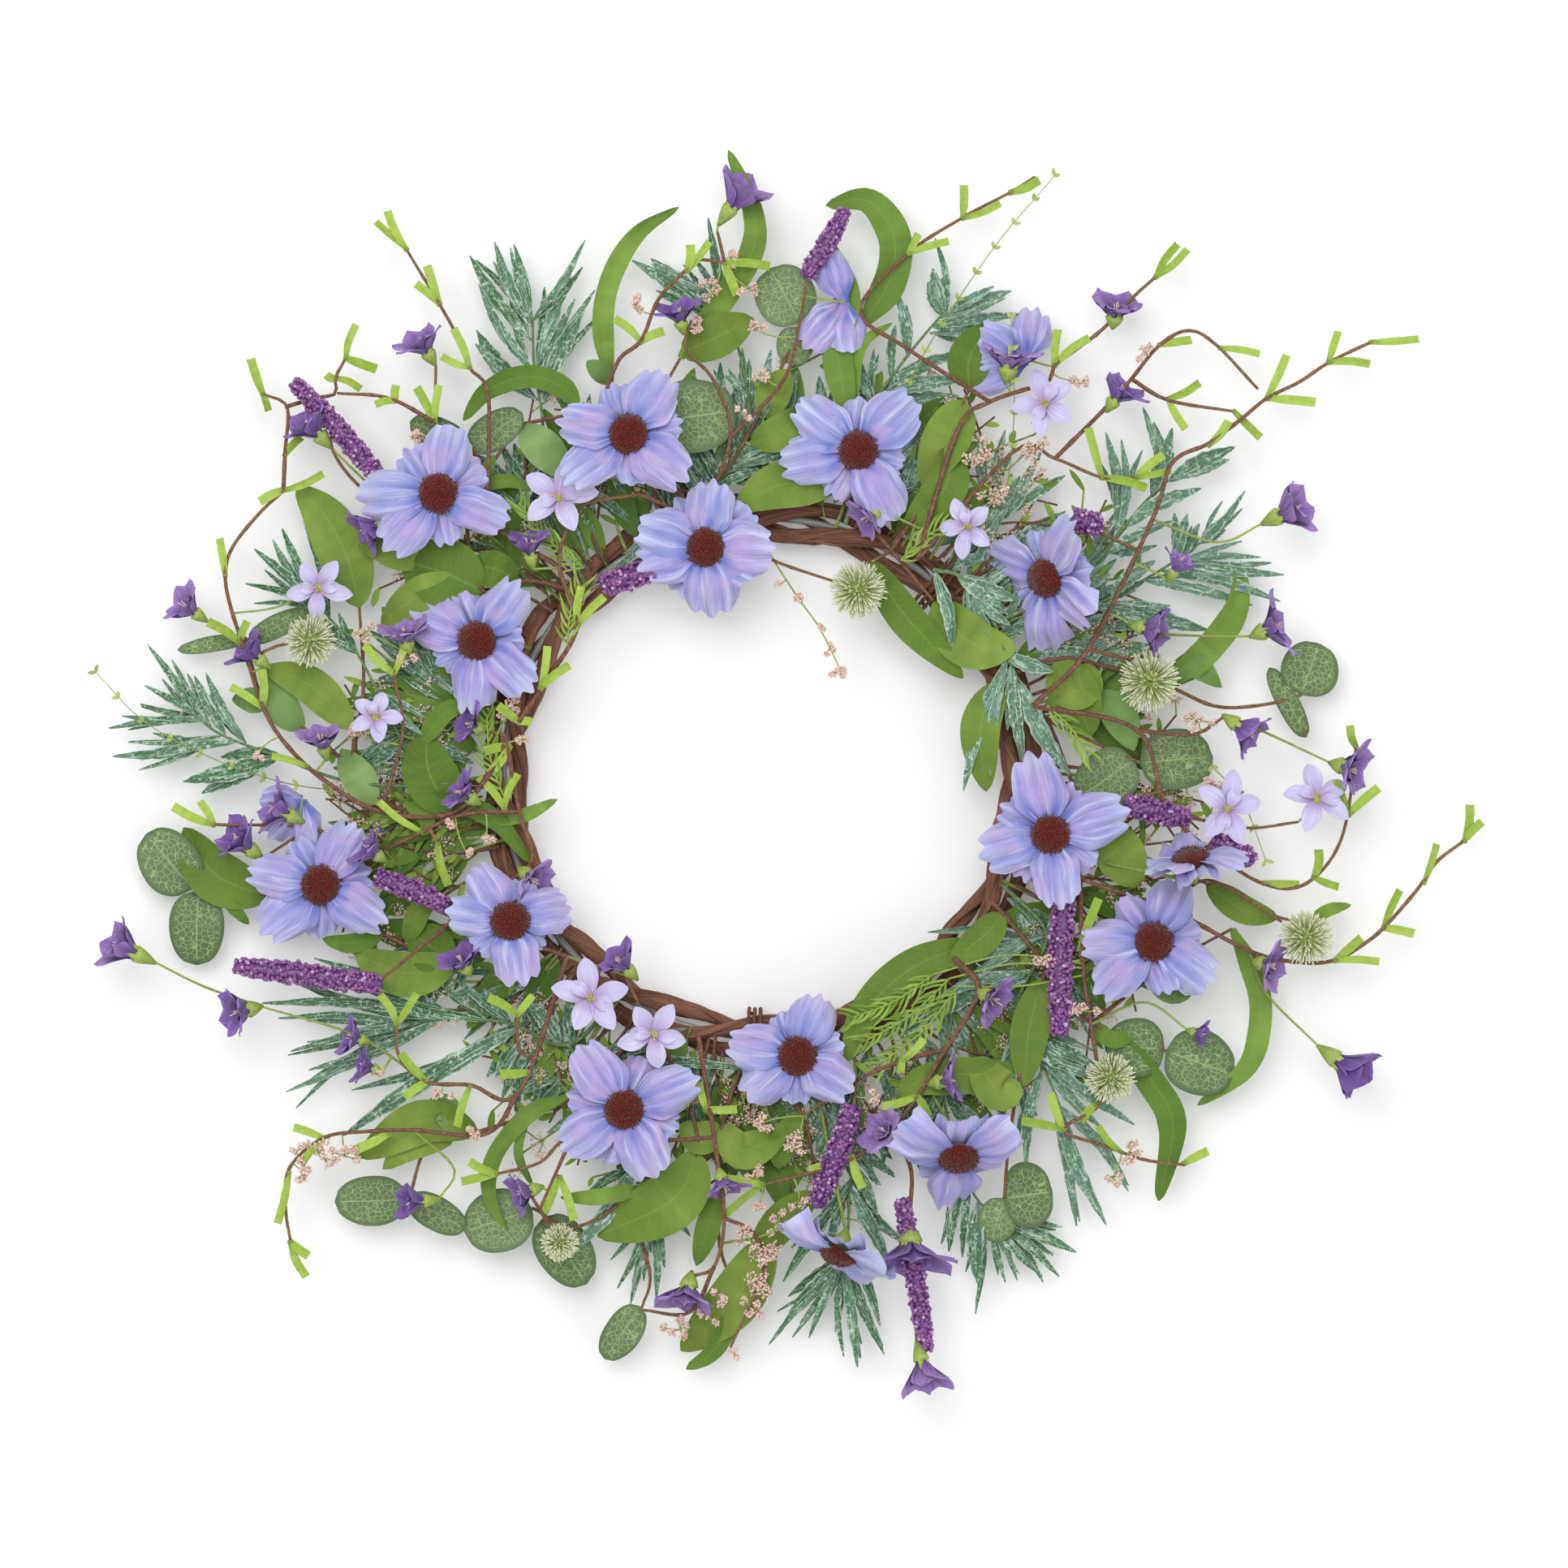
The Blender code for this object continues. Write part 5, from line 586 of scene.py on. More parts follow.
def mat_euca():
    n = Nodes("eucalyptus_leaf", rough=0.62, spec=0.3)
    across, along, num = n.split(n.par)[0], n.split(n.par)[1], n.split(n.par)[2]
    cell = n.voronoi(n.obj, 400.0, "DISTANCE_TO_EDGE")
    cell2 = n.voronoi(n.obj, 1100.0, "DISTANCE_TO_EDGE")
    web = n.math("MAXIMUM", n.ramp(cell, 0.075, 0.01, 0.0, 1.0), n.ramp(cell2, 0.07, 0.0, 0.0, 0.45))
    # along holds how far from the rim: 0 at the rim, 1 inside
    inner = n.ramp(along, 0.10, 0.22, 0.0, 1.0)
    web = n.math("MULTIPLY", web, inner)
    rib = n.math("MULTIPLY", n.ramp(n.math("ABSOLUTE", across), 0.035, 0.012, 0.0, 0.8), inner)
    web = n.math("MAXIMUM", web, rib)
    c = n.blend(n.math("MULTIPLY", web, 0.66), n.tone, tuple(lin((180, 200, 136))))
    c = n.blend(n.ramp(along, 0.05, 0.0, 0.0, 0.45), c, tuple(lin((66, 84, 56))))
    return n.finish(c, web, 0.3, 0.0003)


def mat_violet():
    n = Nodes("violet_cloth", rough=0.8, spec=0.2, sheen=0.2)
    streak = n.noise(n.vmul(n.par, (4.0, 1.0, 9.0)), 1.0, 3.0, 0.6)
    c = n.blend(n.ramp(streak, 0.50, 0.72, 0.0, 0.6), n.tone, tuple(lin((84, 56, 136))))
    c = n.blend(n.ramp(streak, 0.46, 0.28, 0.0, 0.45), c, tuple(lin((176, 138, 214))))
    return n.finish(c, streak, 0.3, 0.0004)


def mat_lilac():
    n = Nodes("lilac_cloth", rough=0.85, spec=0.15, sheen=0.2)
    streak = n.noise(n.vmul(n.par, (5.0, 1.0, 9.0)), 1.0, 3.0, 0.6)
    c = n.blend(n.ramp(streak, 0.50, 0.72, 0.0, 0.5), n.tone, tuple(lin((190, 172, 214))))
    c = n.blend(n.ramp(streak, 0.46, 0.30, 0.0, 0.5), c, tuple(lin((240, 234, 248))))
    return n.finish(c, streak, 0.3, 0.0004)


def mat_plain(name, grain, amount, dark, light, rough=0.6, spec=0.4, bump=0.3):
    """A coloured plastic or stalk with mottling between a darker and a lighter shade."""
    n = Nodes(name, rough=rough, spec=spec)
    a = n.noise(n.obj, grain, 3.0, 0.6)
    c = n.blend(n.ramp(a, 0.50, 0.70, 0.0, amount), n.tone, tuple(lin(light)))
    c = n.blend(n.ramp(a, 0.48, 0.30, 0.0, amount), c, tuple(lin(dark)))
    return n.finish(c, a, bump, 0.0003)


def mat_bark():
    n = Nodes("vine_bark", rough=0.85, spec=0.25)
    # par: x round the vine, y along it in metres
    v = n.vmul(n.par, (2.2, 14.0, 5.0))
    fib = n.noise(v, 3.0, 5.0, 0.65)
    blot = n.noise(n.obj, 120.0, 3.0, 0.6)
    c = n.blend(n.ramp(fib, 0.48, 0.66, 0.0, 0.75), n.tone, tuple(lin((165, 124, 98))))
    c = n.blend(n.ramp(fib, 0.46, 0.30, 0.0, 0.8), c, tuple(lin((52, 30, 22))))
    c = n.blend(n.ramp(blot, 0.52, 0.68, 0.0, 0.4), c, tuple(lin((138, 96, 74))))
    return n.finish(c, fib, 0.8, 0.0006)


M = {
    "petal": mat_petal(), "flock": mat_flock(), "frost": mat_frost(), "leaf": mat_leaf(), "euca": mat_euca(),
    "violet": mat_violet(), "lilac": mat_lilac(), "bark": mat_bark(),
    "stalk": mat_plain("green_stalk", 700.0, 0.5, (70, 92, 36), (168, 186, 96), 0.6),
    "twig": mat_plain("brown_twig", 600.0, 0.55, (62, 38, 28), (158, 120, 96), 0.75),
    "lime": mat_plain("lime_tip", 420.0, 0.35, (118, 148, 46), (184, 206, 104), 0.6, 0.25),
    "bead": mat_plain("spike_beads", 900.0, 0.25, (96, 50, 112), (196, 150, 200), 0.38, 0.6, 0.05),
    "bud": mat_plain("pink_buds", 1100.0, 0.6, (206, 160, 142), (250, 232, 220), 0.7, 0.3, 0.5),
    "thistle": mat_plain("thistle_hair", 900.0, 0.3, (150, 172, 84), (240, 242, 214), 0.7, 0.25, 0.1),
    "wire": mat_plain("galvanised", 900.0, 0.4, (96, 96, 94), (190, 190, 186), 0.4, 0.5, 0.1),
}

# -------------------------------------------------------------- small shapes
def tube(sp, path, r, tone, sides=6, mat=0, num=0.0, lobes=0.0):
    path = np.asarray(path, float)
    r = np.broadcast_to(np.asarray(r, float), (len(path),)).copy()
    t, s, n = frames(path)
    path = np.vstack([path[:1] - t[:1] * r[0] * 0.4, path, path[-1:] + t[-1:] * r[-1] * 0.4])
    s = np.vstack([s[:1], s, s[-1:]])
    n = np.vstack([n[:1], n, n[-1:]])
    r = np.r_[r[0] * 0.05, r, r[-1] * 0.05]
    a = np.arange(sides) * math.tau / sides
    rr = r[:, None] * (1 + lobes * np.sin(a * 2 + num)[None])
    pts = path[:, None] + rr[..., None] * (np.cos(a)[None, :, None] * s[:, None] + np.sin(a)[None, :, None] * n[:, None])
    if np.ndim(tone) == 2:
        tone = np.vstack([tone[:1], tone, tone[-1:]])[:, None].repeat(sides, 1)
    along = np.r_[0, np.cumsum(np.linalg.norm(np.diff(path, axis=0), axis=1))]
    par = np.stack([np.broadcast_to(a[None], rr.shape), np.broadcast_to(along[:, None], rr.shape),
                    np.full(rr.shape, num)], -1)
    sp.grid(pts, tone, par, wrap=True, mat=mat)


def sheet(sp, spine, half, cols, roll=0.0, fold=0.0, curl=0.0, tone=(0, 0, 0), mat=0, num=0.0, wave=None,
          up=UP, par=None):
    """A thin blade along a spine.  half is the half width at each row."""
    spine = np.asarray(spine, float)
    t, s, n = frames(spine, up)
    roll = np.broadcast_to(np.asarray(roll, float), (len(spine),))[:, None]
    s, n = s * np.cos(roll) + n * np.sin(roll), n * np.cos(roll) - s * np.sin(roll)
    a = np.linspace(-1, 1, cols)
    w = np.asarray(half, float)[:, None]
    side = w * a[None]
    rise = w * (fold * np.abs(a)[None] + curl * (a ** 2)[None])
    if wave is not None:
        rise = rise + wave
    pts = spine[:, None] + side[..., None] * s[:, None] + rise[..., None] * n[:, None]
    along = np.r_[0, np.cumsum(np.linalg.norm(np.diff(spine, axis=0), axis=1))]
    if par is None:
        par = np.stack([np.broadcast_to(a[None], side.shape), np.broadcast_to(along[:, None], side.shape),
                        np.full(side.shape, num)], -1)
    sp.grid(pts, tone, par, mat=mat)
    return pts


def beads(sp, centres, radii, tones, mat=0, rows=4, around=5):
    """Small round beads, as squat grids."""
    centres = np.asarray(centres, float)
    lat = np.linspace(-math.pi / 2 * 0.96, math.pi / 2 * 0.96, rows)
    lon = np.arange(around) * math.tau / around
    ball = np.stack([np.cos(lat)[:, None] * np.cos(lon)[None], np.cos(lat)[:, None] * np.sin(lon)[None],
                     np.broadcast_to(np.sin(lat)[:, None], (rows, around))], -1)
    pts = centres[:, None, None] + np.asarray(radii)[:, None, None, None] * ball[None]
    sp.many(pts, np.asarray(tones)[:, None, None], None, mat)


def quills(sp, a, b, r0, r1, tone0, tone1, mat=0, around=3, mid=None):
    """Many thin straight hairs from points a to points b."""
    a, b = np.asarray(a, float), np.asarray(b, float)
    t = unit(b - a)
    s = unit(np.cross(t, np.array([0.31, 0.22, 0.92])))
    n = np.cross(t, s)
    ang = np.arange(around) * math.tau / around
    rows = []
    stops = [(0.0, r0), (1.0, r1)] if mid is None else [(0.0, r0), mid, (1.0, r1)]
    for f, r in stops:
        p = a * (1 - f) + b * f
        rows.append(p[:, None] + r * (np.cos(ang)[None, :, None] * s[:, None] + np.sin(ang)[None, :, None] * n[:, None]))
    rows.append((b + t * r1 * 1.2)[:, None] + 0.1 * r1 * (np.cos(ang)[None, :, None] * s[:, None]
                                                        + np.sin(ang)[None, :, None] * n[:, None]))
    pts = np.stack(rows, 1)
    f = np.array([q[0] for q in stops] + [1.0])[None, :, None, None]
    sp.many(pts, np.asarray(tone0) * (1 - f) + np.asarray(tone1) * f, None, mat)


def basis(axis, spin=0.0):
    """Columns x, y, axis of a frame whose z is axis."""
    z = unit(axis)
    ref = np.array([0.0, 1.0, 0.0]) if abs(z[1]) < 0.9 else np.array([1.0, 0.0, 0.0])
    x = unit(np.cross(ref, z))
    y = np.cross(z, x)
    return np.stack([x * math.cos(spin) + y * math.sin(spin), y * math.cos(spin) - x * math.sin(spin), z], 1)

# -------------------------------------------------------------- plant parts
BROWN, OLIVE, FROSTED = lin((112, 76, 60)), lin((128, 150, 66)), lin((92, 122, 84))


def node_points(name):
    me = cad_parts[name].data
    co = np.empty(len(me.vertices) * 3)
    me.vertices.foreach_get("co", co)
    return co.reshape(-1, 3)


def track(axis):
    return np.array(Vector([float(q) for q in axis]).to_track_quat("Z", "Y").to_matrix())


# fine sprigs too thin for the CAD, by pick
FINE = {
    "wildflower_twig_top_left": [
        ("G", 0.6, [(925, 650), (962, 705), (985, 740), (1010, 775), (1035, 825)]), ("K", 985, 740, 22),
        ("K", 1010, 772, 17), ("K", 1036, 824, 22), ("K", 958, 722, 15), ("K", 1022, 800, 12),
        ("N", 720, 700, 640, 620), ("N", 700, 800, 715, 720)],
    "wildflower_twig_top_right": [
        ("G", 0.4, [(1120, 470), (1160, 400), (1228, 300), (1300, 215)]), ("G", 0.4, [(1240, 600), (1250, 500), (1246, 390)]),
        ("N", 1110, 690, 1180, 640)],
    "wildflower_twig_left": [
        ("G", 0.4, [(400, 972), (340, 962), (255, 932), (175, 888), (116, 828)]), ("N", 620, 980, 600, 880)],
    "wildflower_twig_right": [
        ("G", 0.4, [(1480, 930), (1530, 985), (1560, 1060)]), ("N", 1290, 870, 1340, 930)],
    "wildflower_twig_lower_right": [
        ("N", 1170, 1205, 1060, 1285), ("N", 1180, 1215, 1085, 1310), ("N", 1150, 1200, 1045, 1255)],
}

HEADS = {}
for cid, u, v, reach, turn, toward, tilt, petals in COSMOS:
    T, W = math.radians(tilt), math.radians(toward)
    axis = np.array([math.sin(T) * math.cos(W), math.sin(T) * math.sin(W), math.cos(T)])
    p = xy(u, v)
    c = np.array([p[0], p[1], float(lift(p[0], p[1])) + 0.0075])
    if "cosmos_centre_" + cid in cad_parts:
        h0 = CUP * DOME_R + 0.52 * PETAL_T + GAP
        c[2] += node_points("cosmos_centre_" + cid)[:, 2].min() - (c[2] + h0 * math.cos(T) - DOME_R * math.sin(T))
    else:
        n = 3 * petals
        a = math.tau * np.arange(n) / n + math.radians(turn)
        r = reach * STEP * np.array([(0.64, 1.0, 0.97)[i % 3] for i in range(n)])
        rim = c + np.stack([r * np.cos(a), r * np.sin(a), CUP * r], 1) @ track(axis).T
        c[2] += node_points("cosmos_head_" + cid)[:, 2].max() - rim[:, 2].max()
    if cid == "06":
        T = math.radians(42)
        axis = np.array([math.sin(T) * math.cos(W), math.sin(T) * math.sin(W), math.cos(T)])
    HEADS[cid] = (c, axis, reach * STEP)


def under(path, drop=0.0032, own=None):
    """The path, kept below any cosmos head it passes."""
    path = np.array(path, float)
    for key, (c, axis, R) in HEADS.items():
        if axis[2] < 0.5 or key == own:
            continue
        dd = np.hypot(path[:, 0] - c[0], path[:, 1] - c[1])
        cap = c[2] - drop - 0.002 * np.clip(1 - dd / R, 0, 1) + np.maximum(0, dd - 0.9 * R) * 0.8
        path[:, 2] = np.where(dd < 1.3 * R, np.minimum(path[:, 2], np.maximum(cap, 0.012)), path[:, 2])
    return path


class Pick:
    """One pick: its stalk lines in the row frame, and the soups its pieces gather in."""

    def __init__(self, name, look, items):
        self.name, self.look = name, look
        self.rng = np.random.default_rng(sum(ord(c) * (i + 7) for i, c in enumerate(name)))
        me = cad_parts[name].data
        co = np.empty(len(me.vertices) * 3)
        me.vertices.foreach_get("co", co)
        co = co.reshape(-1, 3)
        self.dz = float(np.median(co[:, 2] - lift(co[:, 0], co[:, 1])))
        self.stems, self.leaves, self.blooms, self.trim = Soup(), Soup(), Soup(), Soup()
        self.grey = 0.70 if "right" in name else 0.15
        self.lines = []
        for it in items:
            if it[0] in "WG":
                self.stem(it)
        for it in items:
            getattr(self, "do_" + it[0], lambda *a: None)(*it[1:])
        self.fill(items)
        for it in FINE.get(name, []):
            if it[0] == "G":
                self.stem(it)
                if it[1] <= 0.45:
                    self.scales(self.lines[-1])
            else:
                getattr(self, "do_" + it[0])(*it[1:])

    def at(self, u, v, up=0.0):
        p = xy(u, v)
        return np.array([p[0], p[1], float(lift(p[0], p[1])) + self.dz + up])

    def stem(self, it):
        kind, r, pts = it[0], it[1] / 1000.0, it[2]
        raw = np.array([self.at(*q) for q in pts])
        if self.lines:
            away, p = self.near(raw[0])
            if away > 0.0003:
                raw = np.vstack([p, raw]) if away > 0.002 else np.vstack([p, raw[1:]])
        n = max(6, int(path_len(raw) / 0.0032))
        path = spline(raw, n)
        w = np.sin(np.linspace(0, 1, n) * path_len(raw) / 0.013 + self.rng.uniform(0, 6)) * 0.0005 * np.sin(
            np.linspace(0, math.pi, n))
        path[:, 2] += w
        path = under(path)
        t = np.linspace(0, 1, n)
        if self.look == "frosted" or (self.look == "frost"):
            tone = np.broadcast_to(FROSTED, (n, 3))
            mat, rr = 0, r * 0.70 * (1.0 - 0.5 * t)
        elif kind == "G" or it[1] < 1.0:
            tone = mix(lin((120, 132, 66)), lin((156, 176, 84)), t + self.rng.uniform(-0.2, 0.2))
            mat, rr = 0, np.full(n, min(r, 0.0011)) * 0.72 * (1.0 - 0.25 * t)
        else:
            tone = mix(BROWN, mix(BROWN, lin((134, 110, 66)), 0.6), t ** 2)
            mat, rr = 1, (0.00045 + r * 0.36) * (1.0 - 0.35 * t)
            # knuckles along the twig
            rr = rr * (1 + 0.22 * np.exp(-((np.linspace(0, path_len(raw), n) % 0.021 - 0.010) / 0.0016) ** 2))
        tube(self.stems, path, rr, tone, 7, mat, self.rng.uniform(0, 9))
        self.lines.append(path)

    def near(self, q):
        best, where = 1e9, None
        for line in self.lines:
            a, d = line[:-1], np.diff(line, axis=0)
            t = np.clip(((q - a) * d).sum(1) / np.maximum((d * d).sum(1), 1e-12), 0, 1)
            p = a + d * t[:, None]
            e = np.hypot(p[:, 0] - q[0], p[:, 1] - q[1])
            i = int(e.argmin())
            if e[i] < best:
                best, where = float(e[i]), p[i]
        return best, where

    def wire(self, a, b, r=0.0006, tone=None, mat=0, sag=0.0):
        """A short stalk from a to b, gently bowed."""
        if np.linalg.norm(b - a) < 0.0012:
            return
        side = np.cross(UP, unit(b - a)) * self.rng.uniform(-0.10, 0.10) * np.linalg.norm(b - a)
        mid = (a + b) / 2 + side + UP * sag
        n = max(4, int(np.linalg.norm(b - a) / 0.004))
        tone = lin((146, 166, 80)) if tone is None else tone
        tube(self.stems, under(spline([a, mid, b], n)), r * 0.85, tone, 5, mat, self.rng.uniform(0, 9))

    def foot(self, u, v, r=0.0006, tone=None, mat=0, up=0.0):
        q = self.at(u, v, up)
        away, p = self.near(q)
        if away > 0.0012:
            self.wire(p, q, r, tone, mat)
        return q

    # frosted leaflet
    def do_F(self, bu, bv, tu, tv, w):
        g = self.rng
        a, b = self.foot(bu, bv, 0.0008, FROSTED), self.at(tu, tv)
        self.leaflet(a, b, w * 0.86)
        for s in (-1, 1):
            if g.uniform() < 0.62:
                t = g.uniform(math.radians(7), math.radians(20)) * s
                q = (b - a) * g.uniform(0.62, 0.95)
                q = np.array([q[0] * math.cos(t) - q[1] * math.sin(t), q[0] * math.sin(t) + q[1] * math.cos(t), q[2]])
                o = a + (b - a) * g.uniform(-0.04, 0.12) - UP * g.uniform(0.001, 0.005)
                self.leaflet(o, o + q, w * g.uniform(0.5, 0.75))

    def leaflet(self, a, b, w):
        g = self.rng
        L = np.linalg.norm(b - a)
        n = 15
        t = np.linspace(0, 1, n)
        bend = np.cross(UP, unit(b - a)) * g.uniform(-0.06, 0.06) * L
        rise = g.uniform(-0.0005, 0.0045)
        path = under(spline([a, (a + b) / 2 + bend + UP * rise, b + UP * g.uniform(-0.002, 0.003)], n))
        half = 0.5 * w * STEP * np.clip(np.sin(np.pi * np.clip(t, 0.0, 1.0) ** 0.86), 0, 1) ** 0.85
        half = half * (1 + 0.13 * np.sin(t * 34 + g.uniform(0, 6)) * smoothstep(0.1, 0.3, t)) * 1.10 + 0.00030
        tone = mix(lin((56, 100, 58)), lin((94, 130, 108)), float(np.clip(g.normal(self.grey, 0.22), 0, 1)))
        tone = np.broadcast_to(tone, (n, 7, 3)) * (1 + 0.10 * g.standard_normal((n, 1, 1)))
        sheet(self.leaves, path, half, 7, roll=g.uniform(-0.55, 0.55), fold=g.uniform(0.25, 0.55), curl=-0.15,
              tone=tone, mat=0, num=g.uniform(0, 50))

    def broad(self, w, pts, shape, tone, cols=9, fold=0.14, curl=0.10, arch=0.004, mat=0, roll=0.22, wavy=0.0006):
        g = self.rng
        base = self.foot(*pts[0], 0.0008, lin((140, 162, 74)))
        raw = np.array([base] + [self.at(*q) for q in pts[1:]])
        L = path_len(raw)
        n = max(14, int(L / 0.0026))
        path = spline(raw, n)
        t = np.linspace(0, 1, n)
        path[:, 2] += arch * np.sin(np.pi * t) * g.uniform(0.5, 1.3) + g.uniform(-0.003, 0.003) * t ** 2
        path = under(path)
        half = 0.5 * w * STEP * shape(t) * 1.04 + 0.0003
        phase = g.uniform(0, 6, 3)
        a = np.linspace(-1, 1, cols)[None]
        wave = wavy * (np.sin(t * L / 0.006 + phase[0])[:, None] * np.clip(a, 0, 1) ** 2
                       + np.sin(t * L / 0.0072 + phase[1])[:, None] * np.clip(-a, 0, 1) ** 2)
        shade = 1 + 0.10 * np.sin(t * 5 + phase[2])[:, None, None] + 0.05 * g.standard_normal((n, 1, 1))
        tt = np.broadcast_to(tone, (n, cols, 3)) * shade
        r0 = g.uniform(-roll, roll)
        sheet(self.leaves, path, half, cols, roll=r0 + g.uniform(-0.5, 0.5) * (t - 0.4), fold=fold, curl=curl, tone=tt,
              mat=mat, num=g.uniform(0, 50), wave=wave)

    def do_B(self, w, pts):
        tone = mix(lin((90, 116, 42)), lin((130, 152, 66)), self.rng.uniform(0, 1))
        self.broad(w, pts, lambda t: np.clip(np.sin(np.pi * np.clip(t, 0, 1) ** 0.88), 0, 1) ** 0.66, tone)

    def do_A(self, w, pts):
        tone = mix(lin((92, 124, 46)), lin((124, 152, 66)), self.rng.uniform(0, 1))
        self.broad(w, pts, lambda t: smoothstep(-0.12, 0.25, t) * np.sqrt(np.clip((1 - t) / 0.42, 0, 1)), tone,
                   cols=7, fold=0.22, curl=0.06, roll=0.35)

    def do_Q(self, w, pts):
        tone = mix(lin((106, 138, 78)), lin((138, 164, 104)), self.rng.uniform(0, 1))
        self.broad(w, pts, lambda t: np.clip(np.sin(np.pi * np.clip(t, 0, 1) ** 0.9), 0, 1) ** 0.8, tone, roll=0.3)

    # eucalyptus disc
    def do_E(self, bu, bv, tu, tv, w):
        g = self.rng
        a, b = self.foot(bu, bv, 0.0009, lin((134, 104, 74)), 1), self.at(tu, tv)
        n, cols = 20, 15
        t = np.linspace(0, 1, n)
        L = np.linalg.norm(b - a)
        path = under(spline([a, (a + b) / 2 + UP * g.uniform(0.0005, 0.0030), b + UP * g.uniform(-0.003, 0.002)], n))
        x = 2 * t - 1
        half = 0.5 * w * STEP * np.sqrt(np.clip(1 - np.abs(x) ** 2.15, 0, 1)) * (1 - 0.07 * x) + 0.0004
        rim = np.minimum((1 - np.abs(np.linspace(-1, 1, cols)))[None] * (half / half.max())[:, None],
                         (np.minimum(t, 1 - t) * 2)[:, None])
        s = np.broadcast_to(np.linspace(-1, 1, cols)[None], (n, cols)) * (half / half.max())[:, None]
        par = np.stack([s, rim, np.full((n, cols), g.uniform(0, 50))], -1)
        tone = mix(lin((84, 106, 70)), lin((106, 126, 88)), g.uniform(0, 1))
        tt = np.broadcast_to(tone, (n, cols, 3)) * (1 + 0.07 * np.sin(t * 4 + g.uniform(0, 6)))[:, None, None]
        q = np.linspace(-1, 1, cols)[None]
        wave = 0.0007 * np.sin(t * 9 + g.uniform(0, 6))[:, None] * q ** 2
        sheet(self.leaves, path, half, cols, roll=g.uniform(-0.22, 0.22), fold=0.05, curl=g.uniform(-0.08, 0.16),
              tone=tt, mat=1, wave=wave, par=par)

    # lime twig tips
    def do_L(self, nu, nv, tips):
        g = self.rng
        q = self.foot(nu, nv, 0.0009, lin((140, 112, 70)), 1)
        for k, tip in enumerate(tips):
            b = self.at(*tip, g.uniform(-0.001, 0.003))
            d = unit(b - q)
            b = b + d * 0.0012
            n = 8
            t = np.linspace(0, 1, n)
            side = np.cross(UP, d)
            path = spline([q - d * 0.001, (q + b) / 2 + side * g.uniform(-0.0012, 0.0012) + UP * 0.0008, b], n)
            half = 0.0019 * (0.62 + 0.38 * smoothstep(0.0, 0.5, t)) * g.uniform(0.88, 1.12)
            tone = mix(lin((140, 168, 58)), lin((168, 194, 84)), g.uniform(0, 1))
            tt = mix(lin((128, 158, 60)), tone, smoothstep(0, 0.35, t)[:, None].repeat(5, 1))
            roll = g.uniform(-0.5, 0.5)
            p = sheet(self.trim, path, half, 5, roll=roll, fold=0.18, tone=tt, mat=0)
            # a slight thickness: the underside, painted darker as shade, and the square cut end
            self.trim.grid(p[:, ::-1] - UP * 0.00045, tt * 0.8, mat=0)
            self.trim.grid(np.stack([p[-1], p[-1] - UP * 0.00045], 0), tt[-1:].repeat(2, 0), mat=0)
        beads(self.trim, [q], [0.0011], [lin((140, 150, 66))])

    # violet bellflower
    def do_P(self, cu, cv, bu, bv, size):
        g = self.rng
        foot = self.foot(bu, bv, 0.0007)
        mouth = self.at(cu, cv, 0.0015)
        d = unit(mouth - foot)
        S = size * STEP
        tip_len = np.linalg.norm(mouth - foot) + S * 0.26
        d = unit(d + UP * g.uniform(0.10, 0.34))
        F = basis(d, g.uniform(0, 6))
        S = S * 1.38
        pale = g.uniform(0, 1)
        base_tone = mix(lin((92, 64, 138)), lin((126, 92, 166)), pale)
        tip_tone = mix(lin((128, 94, 172)), lin((174, 144, 206)), pale)
        rows, cols = 14, 9
        t = np.linspace(0, 1, rows) ** 0.8
        a = np.linspace(-1, 1, cols)
        for layer, (count, reach, flare, wide) in enumerate(((6, 1.02, 0.47, 0.25), (4, 0.88, 0.22, 0.20))):
            for k in range(count):
                ang = math.tau * (k + 0.5 * layer) / count + g.uniform(-0.14, 0.14)
                L = tip_len * reach * g.uniform(0.92, 1.05)
                z = L * (0.22 + 0.78 * t) - S * 0.05 * smoothstep(0.7, 1.0, t)
                r = 0.0008 + S * flare * (0.22 * t + 0.78 * t ** 1.5) * g.uniform(0.70, 1.15)
                w = S * wide * (0.22 + 0.78 * smoothstep(0.10, 0.74, t)) * np.sqrt(
                    np.clip(1 - np.clip((t - 0.66) / 0.345, 0, 1) ** 2.4, 0.01, 1)) * g.uniform(0.85, 1.1)
                x = r[:, None] - (a ** 2)[None] * w[:, None] * (0.55 - 0.25 * t[:, None])
                y = w[:, None] * a[None]
                zz = z[:, None] - (a ** 2)[None] * S * 0.05 * t[:, None] + 0.0004 * np.sin(a * 5 + k)[None] * t[:, None]
                loc = np.stack([x * math.cos(ang) - y * math.sin(ang), x * math.sin(ang) + y * math.cos(ang), zz], -1)
                pts = foot + loc @ F.T
                tone = mix(base_tone * 0.80, tip_tone, (smoothstep(0.25, 0.95, t))[:, None].repeat(cols, 1))
                # painted shade: the inner ring of petals is darkened, the outer ring a little brightened. Each petal is
                # also darker along its middle than at its edges.
                tone = tone * (0.80 + 0.24 * np.abs(a)[None, :, None] ** 2) * (0.78 if layer else 1.05)
                par = np.stack([np.broadcast_to(a[None], (rows, cols)), np.broadcast_to(t[:, None] * 1.5, (rows, cols)),
                                np.full((rows, cols), g.uniform(0, 40))], -1)
                self.blooms.grid(pts, tone, par, mat=0)
